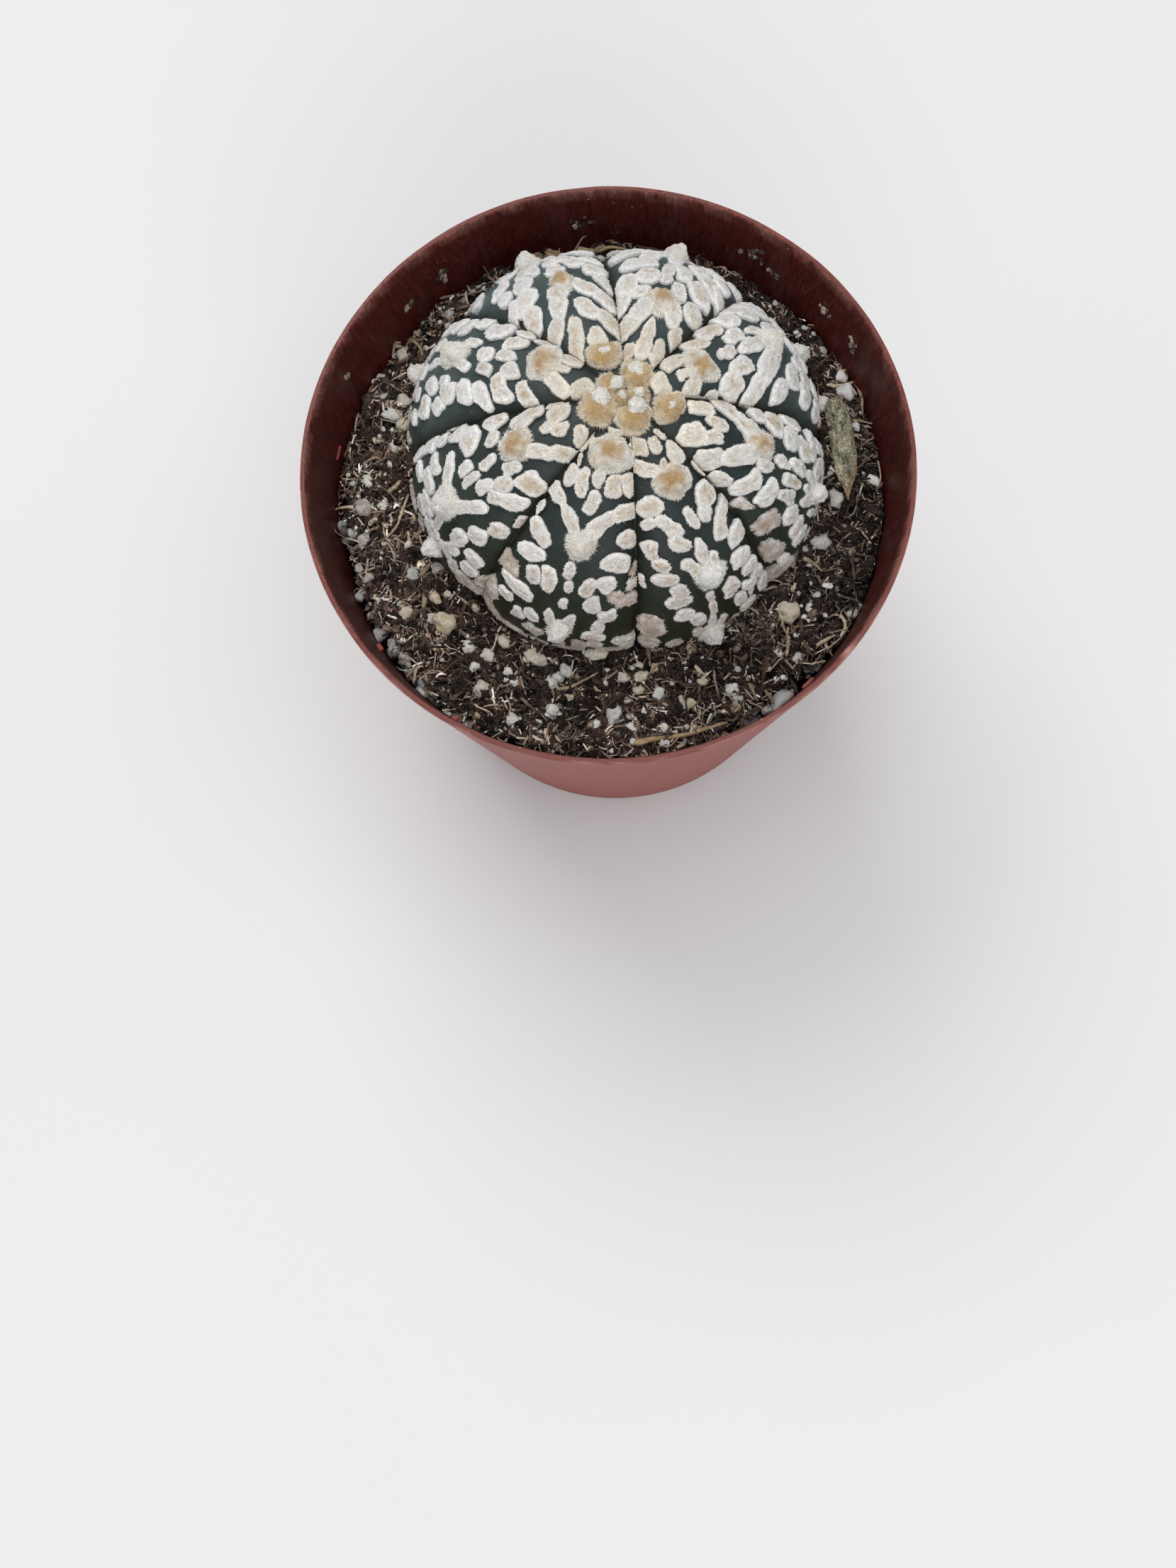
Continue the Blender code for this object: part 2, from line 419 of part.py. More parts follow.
def make_soil(parts: bpy.types.Collection, cutters: bpy.types.Collection) -> bpy.types.Object:
    """The root ball: it fills the pot, with a seat for the plant and grains on its skin."""
    low, rings = BASE_TOP + GAP, 9
    outline = [(r * 46.6 / rings, SOIL_AT_WALL) for r in range(rings + 1)]
    outline += [(46.6, SOIL_AT_WALL - 4.0), (inner_radius(60.0) - GAP, 60.0)]
    outline += [(inner_radius(low + 2.0) - GAP, low + 2.0), (FOOT_RADIUS - 3.0, low), (0.0, low)]
    soil = turned("soil", outline, SOIL_STEPS, parts)
    apply_modifiers(soil)
    for vertex in soil.data.vertices:
        x, y, z = (c / MM for c in vertex.co)
        radius = math.hypot(x, y)
        if z > SOIL_AT_WALL - 5.0 and radius > 40.0:
            azimuth = math.atan2(y, x)
            drawn = shrink_from_wall(azimuth) if z > SOIL_AT_WALL - 1.0 else 0.5
            reach = inner_radius(z) - drawn
            if radius > 45.0:
                x, y = reach * math.cos(azimuth), reach * math.sin(azimuth)
        if z > SOIL_AT_WALL - 1.0:
            z = soil_height(x, y)
        vertex.co = (x * MM, y * MM, z * MM)

    grains = collection("soil grains")
    rng = random.Random(SEED)
    placed: list = []
    while len(placed) < GRAIN_COUNT:
        azimuth, radius = rng.uniform(-math.pi, math.pi), rng.uniform(37.5, 45.0)
        x, y, size = radius * math.cos(azimuth), radius * math.sin(azimuth), rng.uniform(0.8, 1.7)
        away = math.hypot(x - BODY_CENTRE.x, y - BODY_CENTRE.y) - BODY_RADIUS - size
        if away < 1.7 or radius + size > 45.6 or any(
            math.hypot(x - a, y - b) < size + c + 0.6 for a, b, c in placed
        ) or near_loose(x, y, size):
            continue
        placed.append((x, y, size))
        work = bmesh.new()
        turn = Matrix.Rotation(rng.uniform(0, math.tau), 4, "Z") @ Matrix.Diagonal((1, 0.8, 0.75, 1))
        bmesh.ops.create_icosphere(
            work, subdivisions=1, radius=size,
            matrix=Matrix.Translation((x, y, soil_height(x, y) + 0.1)) @ turn,
        )
        from_bmesh(f"grain_{len(placed)}", work, grains)
    join_all(soil, grains, "MANIFOLD")

    surface = BodySurface()
    work = bmesh.new()
    bmesh.ops.create_uvsphere(work, u_segments=48, v_segments=20, radius=1.0)
    grow = BODY_RADIUS + GAP, BODY_RADIUS + GAP, BODY_RISE + GAP
    bmesh.ops.scale(work, vec=[g / math.cos(math.pi / 48) for g in grow], verts=work.verts)
    bmesh.ops.transform(
        work, matrix=Matrix.Translation(BODY_CENTRE) @ surface.turn.to_4x4(), verts=work.verts
    )
    seat = from_bmesh("plant seat", work, cutters)
    root_depth = ROOT_TOP - ROOT_TIP + GAP + 4.0
    collar = turned("seat collar", [
        (0.0, 14.0), (BODY_RADIUS + 1.6, 14.0), (BODY_RADIUS + 1.6, -4.6), (0.0, -4.6),
    ], 48, cutters)
    collar.location = BODY_CENTRE * MM
    work = bmesh.new()
    bmesh.ops.create_cone(
        work, cap_ends=True, segments=16, radius1=ROOT_TIP_RADIUS + 0.5, radius2=ROOT_TOP_RADIUS + 0.7,
        depth=root_depth,
        matrix=Matrix.Translation((*root_axis(), ROOT_TIP - GAP + root_depth / 2)),
    )
    hole = from_bmesh("root hole", work, cutters)
    for cutter in (seat, collar, hole):
        hide_cutter(cutter)
        cut = soil.modifiers.new(cutter.name, "BOOLEAN")
        cut.operation = "DIFFERENCE"
        cut.object = cutter
        cut.solver = "MANIFOLD"
    apply_modifiers(soil)
    clean(soil)
    shade(soil, 40)
    soil.data.materials.append(material("potting soil", (0.062, 0.038, 0.024), 0.95))
    return soil


def root_axis() -> tuple:
    """X and Y of the taproot, below the leaning body."""
    drop = BODY_CENTRE.z - ROOT_TOP
    lean = BODY_LEAN
    return BODY_CENTRE.x - lean.x * drop, BODY_CENTRE.y - lean.y * drop


def near_loose(x: float, y: float, size: float) -> bool:
    """Whether a grain would touch something that lies on the soil."""
    places = [(p, 3.6) for p, _, _, _ in CHIPS] + [(p, 2.6) for p in (*TWIG, *ROOTLET)]
    for start, end in zip((*TWIG[:-1], *ROOTLET[:-1]), (*TWIG[1:], *ROOTLET[1:])):
        places.append((((start[0] + end[0]) / 2, (start[1] + end[1]) / 2), 2.6))
    for step in range(7):
        spot = HUSK_FROM.lerp(HUSK_TO, step / 6)
        places.append(((spot.x, spot.y), 3.4))
    return any(math.hypot(x - p[0], y - p[1]) < size + reach for p, reach in places)


def add_fleck(surface: BodySurface, rib: str, fleck: tuple, name: str, home: bpy.types.Collection) -> None:
    """One felted fleck: a flat cone laid on the skin and sunk into it."""
    across, along, length, width, turn = fleck
    work = bmesh.new()
    bmesh.ops.create_cone(work, cap_ends=True, segments=5, radius1=0.5, radius2=0.4, depth=1.0)
    cos, sin = math.cos(math.radians(turn)), math.sin(math.radians(turn))
    for vertex in work.verts:
        side, forward = vertex.co.x * width, vertex.co.y * length
        spot = (across + side * cos + forward * sin, along - side * sin + forward * cos)
        if vertex.co.z > 0:
            vertex.co = surface.on_rib(rib, *spot, FLECK_RISE)
        else:
            vertex.co = surface.under_rib(rib, *spot, width)
    from_bmesh(name, work, home)


def add_tuft(centre: Vector, normal: Vector, width: float, length: float, name: str,
             home: bpy.types.Collection) -> None:
    """One woolly tuft: a low dome sunk by half into the skin."""
    work = bmesh.new()
    bmesh.ops.create_uvsphere(work, u_segments=7, v_segments=6, radius=1.0)
    bmesh.ops.scale(work, vec=(width / 2, length / 2, 1.7), verts=work.verts)
    turn = normal.to_track_quat("Z", "Y").to_matrix().to_4x4()
    bmesh.ops.transform(work, matrix=Matrix.Translation(centre) @ turn, verts=work.verts)
    from_bmesh(name, work, home)


def hidden_flecks(rib: str, rng: random.Random) -> list:
    """Flecks for the part of a rib that is out of view, spaced like the visible ones."""
    taken = [(f[0], f[1], max(f[2], f[3]) / 2) for f in FLECKS[rib]]
    taken += [(t[0], t[1], t[3] / 2) for t in TUFTS[rib]]
    made: list = []
    for _ in range(400):
        along = rng.uniform(SEEN_TO[rib], 47.2)
        across, size = rng.uniform(-11.0, 11.0), rng.uniform(1.5, 2.2)
        if any(math.hypot(across - a, along - b) < size + c + 0.5 for a, b, c in taken):
            continue
        taken.append((across, along, size))
        turn = math.copysign(62.0, -across) + rng.uniform(-15, 15)
        made.append((across, along, 2 * size, 1.35 * size, turn))
    return made


def make_cactus(parts: bpy.types.Collection) -> bpy.types.Object:
    """The cactus: ribbed body and taproot, with flecks and tufts grown onto it."""
    surface = BodySurface()
    columns = COLUMNS_PER_RIB * len(FURROWS_DEG)
    work = bmesh.new()
    bmesh.ops.create_uvsphere(work, u_segments=columns, v_segments=BODY_ROWS, radius=1.0)
    for vertex in work.verts:
        polar = math.acos(max(-1.0, min(1.0, vertex.co.z)))
        share = (math.atan2(vertex.co.y, vertex.co.x) / math.tau * columns) % columns
        azimuth = column_azimuth(share)
        vertex.co = surface.point(azimuth, polar, -surface.furrow(azimuth, polar))
    cactus = from_bmesh("cactus", work, parts)

    growths = collection("growths")
    root = bmesh.new()
    bmesh.ops.create_cone(
        root, cap_ends=True, segments=12, radius1=ROOT_TIP_RADIUS, radius2=ROOT_TOP_RADIUS,
        depth=ROOT_TOP - ROOT_TIP,
        matrix=Matrix.Translation((*root_axis(), (ROOT_TOP + ROOT_TIP) / 2)),
    )
    from_bmesh("taproot", root, growths)
    rng = random.Random(SEED + 1)
    for rib, listed in FLECKS.items():
        for index, fleck in enumerate([*listed, *hidden_flecks(rib, rng)]):
            if fleck[2] * fleck[3] >= SMALLEST_FLECK:
                add_fleck(surface, rib, fleck, f"fleck_{rib}_{index}", growths)
        for index, (across, along, width, length) in enumerate(TUFTS[rib]):
            centre = surface.on_rib(rib, across, along, -0.2)
            out = surface.on_rib(rib, across, along, 1.0) - centre
            add_tuft(centre, out, width * 0.86, length * 0.86, f"tuft_{rib}_{index}", growths)
    for index, (x, y, width) in enumerate(CROWN_TUFTS):
        centre = surface.near_crown(x, y, -0.1)
        out = surface.near_crown(x, y, 1.0) - centre
        add_tuft(centre, out, width * 0.9, width * 0.9, f"crown_{index}", growths)
    join_all(cactus, growths, "MANIFOLD")
    clean(cactus)
    shade(cactus, 30)
    cactus.data.materials.append(material("cactus skin", (0.042, 0.062, 0.050), 0.6))
    return cactus


def column_azimuth(share: float) -> float:
    """Azimuth of a column of the body's mesh; columns crowd towards the furrows."""
    rib, within = divmod(share, COLUMNS_PER_RIB)
    start = FURROWS_DEG[int(rib) % len(FURROWS_DEG)]
    end = FURROWS_DEG[(int(rib) + 1) % len(FURROWS_DEG)]
    if end < start:
        end += 360.0
    part = within / COLUMNS_PER_RIB
    crowded = part - 0.085 * math.sin(math.tau * part)
    return math.radians(start + (end - start) * crowded)


def rest_height(x: float, y: float, reach: float) -> float:
    """The highest soil under a small piece, so that it rests on it."""
    spots = [(x + reach * math.cos(a), y + reach * math.sin(a)) for a in np.arange(0, 6.3, 0.7)]
    return max(soil_height(*spot) for spot in [(x, y), *spots])


def tree_of(mesh: bpy.types.Mesh) -> BVHTree:
    """A search tree over a mesh."""
    return BVHTree.FromPolygons(
        [v.co.copy() for v in mesh.vertices], [tuple(p.vertices) for p in mesh.polygons]
    )


def settle(piece: bpy.types.Object, ground: bpy.types.Object) -> None:
    """Lowers a piece until it lies a small gap above the soil."""
    down = Vector((0, 0, -1))
    falls = []
    for mesh, tree, way in (
        (piece.data, tree_of(ground.data), down), (ground.data, tree_of(piece.data), -down),
    ):
        for vertex in mesh.vertices:
            distance = tree.ray_cast(vertex.co, way)[3]
            if distance is not None and vertex.co.z > 0.06:
                falls.append(distance)
    piece.data.transform(Matrix.Translation(down * (min(falls) - GAP * MM)))


def make_husk(parts: bpy.types.Collection, soil: bpy.types.Object) -> bpy.types.Object:
    """A dry spindle-shaped husk lying against the right side."""
    middle = HUSK_FROM.lerp(HUSK_TO, 0.5)
    along = HUSK_TO - HUSK_FROM
    work = bmesh.new()
    bmesh.ops.create_uvsphere(work, u_segments=12, v_segments=10, radius=1.0)
    bmesh.ops.rotate(work, matrix=Matrix.Rotation(math.pi / 2, 3, "X"), verts=work.verts)
    for vertex in work.verts:
        taper = max(0.12, 1.0 - abs(vertex.co.y) ** 1.6)
        bow = 0.9 * (1.0 - vertex.co.y ** 2)
        x = vertex.co.x / max(0.2, math.sqrt(max(0.0, 1 - vertex.co.y ** 2))) * taper
        vertex.co = (x * HUSK_WIDTH / 2 + bow, vertex.co.y * along.length / 2, vertex.co.z * HUSK_THICK / 2)
    lay = Matrix.Rotation(math.atan2(along.x, -along.y), 4, "Z")
    top = max(
        rest_height(*HUSK_FROM.lerp(HUSK_TO, share).to_2d(), 1.6) for share in np.linspace(0.1, 0.9, 7)
    )
    place = Matrix.Translation((middle.x, middle.y, top + HUSK_THICK / 2 + GAP))
    bmesh.ops.transform(work, matrix=place @ lay, verts=work.verts)
    husk = from_bmesh("dry_husk", work, parts)
    settle(husk, soil)
    shade(husk, 60)
    husk.data.materials.append(material("dry husk", (0.20, 0.19, 0.14), 0.8))
    return husk


def make_chips(parts: bpy.types.Collection, soil: bpy.types.Object) -> None:
    """Two thin chips of bark by the far rim."""
    for index, ((x, y), length, width, turn) in enumerate(CHIPS):
        work = bmesh.new()
        bmesh.ops.create_cube(work, size=1.0)
        bmesh.ops.scale(work, vec=(length, width, 0.9), verts=work.verts)
        bmesh.ops.bevel(
            work, geom=work.edges[:], offset=0.2, segments=1, affect="EDGES", profile=0.5
        )
        height = rest_height(x, y, length / 2) + 0.45 + GAP
        place = Matrix.Translation((x, y, height)) @ Matrix.Rotation(math.radians(turn), 4, "Z")
        bmesh.ops.transform(work, matrix=place, verts=work.verts)
        chip = from_bmesh(f"bark_chip_{index + 1}", work, parts)
        settle(chip, soil)
        chip.data.materials.append(material(f"bark {index + 1}", (0.16, 0.085, 0.045), 0.9))


def make_strand(name: str, route: tuple, radius: float, colour: tuple,
                parts: bpy.types.Collection, soil: bpy.types.Object) -> bpy.types.Object:
    """A thin twig or rootlet lying on the soil along a route of X and Y."""
    curve = bpy.data.curves.new(name, "CURVE")
    curve.dimensions = "3D"
    curve.bevel_depth = radius * MM
    curve.bevel_resolution = 1
    curve.use_fill_caps = True
    spline = curve.splines.new("POLY")
    steps = 5
    spots = []
    for start, end in zip(route[:-1], route[1:]):
        spots += [Vector(start).lerp(Vector(end), k / steps) for k in range(steps)]
    spots.append(Vector(route[-1]))
    spline.points.add(len(spots) - 1)
    for point, spot in zip(spline.points, spots):
        height = rest_height(spot.x, spot.y, radius + 0.9) + radius + GAP
        point.co = (spot.x * MM, spot.y * MM, height * MM, 1.0)
    guide = add_object(name + "_guide", curve, parts)
    mesh = evaluated(guide)
    bpy.data.objects.remove(guide)
    work = bmesh.new()
    work.from_mesh(mesh)
    bmesh.ops.remove_doubles(work, verts=work.verts, dist=0.00001)
    bmesh.ops.recalc_face_normals(work, faces=work.faces)
    work.to_mesh(mesh)
    work.free()
    strand = add_object(name, mesh, parts)
    settle(strand, soil)
    shade(strand, 60)
    strand.data.materials.append(material(name, colour, 0.85))
    return strand


def main() -> None:
    """Builds the whole object."""
    for item in list(bpy.data.objects):
        bpy.data.objects.remove(item)
    parts = collection("potted star cactus")
    cutters = collection("cutters")
    make_pot(parts, cutters)
    soil = make_soil(parts, cutters)
    make_cactus(parts)
    make_husk(parts, soil)
    make_chips(parts, soil)
    make_strand("front_twig", TWIG, TWIG_RADIUS, (0.30, 0.19, 0.10), parts, soil)
    make_strand("back_rootlet", ROOTLET, ROOTLET_RADIUS, (0.34, 0.27, 0.18), parts, soil)


main()
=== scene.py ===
"""Star cactus with woolly flecks in a small round nursery pot.

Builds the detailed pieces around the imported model: the ribbed body with its felted flecks and
tufts, the peaty soil with its shreds and grains, the scuffed plastic pot, the loose bits on the
soil, and the studio with its camera. Lengths are in millimetres until a mesh is filled; the pot
stands on Z = 0 with its centre line on Z, and the camera looks along +Y and down.
"""

import logging
import math
import random
from dataclasses import dataclass, field, replace
from enum import Enum

import bpy
import numpy as np
from mathutils import Matrix, Vector

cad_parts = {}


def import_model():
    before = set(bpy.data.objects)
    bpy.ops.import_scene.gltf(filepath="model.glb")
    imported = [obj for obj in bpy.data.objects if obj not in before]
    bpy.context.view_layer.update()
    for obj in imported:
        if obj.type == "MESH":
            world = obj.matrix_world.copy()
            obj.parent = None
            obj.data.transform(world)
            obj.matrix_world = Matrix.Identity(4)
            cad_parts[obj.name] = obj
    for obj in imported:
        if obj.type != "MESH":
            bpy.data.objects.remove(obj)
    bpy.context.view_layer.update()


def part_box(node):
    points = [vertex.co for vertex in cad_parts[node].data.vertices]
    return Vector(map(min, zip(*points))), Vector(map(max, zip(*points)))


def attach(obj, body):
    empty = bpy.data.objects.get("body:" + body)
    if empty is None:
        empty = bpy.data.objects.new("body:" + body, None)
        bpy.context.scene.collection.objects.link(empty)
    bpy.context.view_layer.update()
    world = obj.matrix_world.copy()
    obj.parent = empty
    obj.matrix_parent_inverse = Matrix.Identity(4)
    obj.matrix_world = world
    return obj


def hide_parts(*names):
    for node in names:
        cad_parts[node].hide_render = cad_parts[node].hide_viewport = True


LOG = logging.getLogger("star cactus")
MM = 0.001
ROOT = "root"
UP = np.array([0.0, 0.0, 1.0])
Array = np.ndarray
Chance = np.random.Generator
Material = bpy.types.Material
Piece = bpy.types.Object
Socket = bpy.types.NodeSocket
Triple = tuple[float, float, float]
# Numbers of the Mix node's colour sockets: share, two colours, and what comes out.
MIX_SHARE, MIX_FIRST, MIX_SECOND, MIX_RESULT = 0, 6, 7, 2
# Large odd numbers that scatter the whole-numbered corners of the noise.
CORNER_FACTORS = np.array([374761393, 668265263, 2147483629])
SEED_FACTOR, LAST_FACTOR, LOW_32_BITS, LOW_16_BITS = 1442695041, 1274126177, 0xFFFFFFFF, 0xFFFF


def rows_of(text: str) -> list[tuple]:
    """Reads rows that commas part and values that spaces part; what is no number stays a letter."""
    rows = (row.split() for row in text.split(","))
    return [tuple(value if value.isalpha() else float(value) for value in row) for row in rows]


SEED = 7
FURROWS_DEG = (-176.3, -131.0, -85.0, -41.5, 3.0, 49.0, 95.0, 140.0)
RIB_DEG = {"A": 72, "B": 28, "C": -18, "D": -62, "E": -107, "F": -153, "G": 161, "H": 117}
# How far from the crown each rib's flecks are in view; past that they follow a rule.
SEEN_TO = {"A": 34, "B": 37, "C": 43, "D": 48, "E": 48, "F": 47, "G": 39, "H": 33}

# Woolly tufts on each rib: across the ridge, along it from the crown, width, length.
TUFTS = {
    "A": ((0.0, 19.5, 5.2, 5.6), (0.3, 38.6, 3.8, 4.0)),
    "B": ((-0.4, 13.4, 5.6, 5.4), (0.9, 30.6, 4.4, 5.2), (0.6, 45.0, 3.6, 3.6)),
    "C": ((0.3, 7.0, 5.2, 4.8), (1.5, 23.6, 4.8, 5.4), (1.2, 40.4, 3.8, 3.8)),
    "D": ((0.1, 15.4, 6.0, 5.0), (0.4, 32.4, 4.8, 5.0), (-1.0, 46.4, 3.6, 3.8)),
    "E": ((0.0, 9.8, 6.4, 5.2), (0.0, 25.4, 4.6, 4.8), (0.2, 42.4, 3.4, 4.2)),
    "F": ((-1.5, 19.7, 5.2, 5.0), (-0.8, 36.0, 4.6, 5.2), (2.2, 45.8, 3.2, 3.0)),
    "G": ((-1.5, 14.9, 5.8, 5.0), (-1.6, 32.6, 4.4, 5.2), (-1.0, 46.0, 3.4, 3.6)),
    "H": ((0.0, 7.9, 4.8, 4.6), (-1.0, 25.4, 3.8, 5.2), (0.2, 40.0, 3.8, 4.0)),
}
# Young tufts at the crown: X and Y from its centre, width, X and Y of the white tip.
CROWN_TUFTS = (
    (1.5, 3.5, 4.6, 1.3, 3.9), (-2.5, 1.7, 3.6, -1.8, 1.6), (-4.6, -2.2, 5.2, -4.3, -0.8),
    (1.8, 0.1, 3.0, 1.8, 0.1), (1.0, -3.7, 4.8, 1.2, -2.2), (-0.9, -0.6, 2.4, -0.9, -0.6),
)
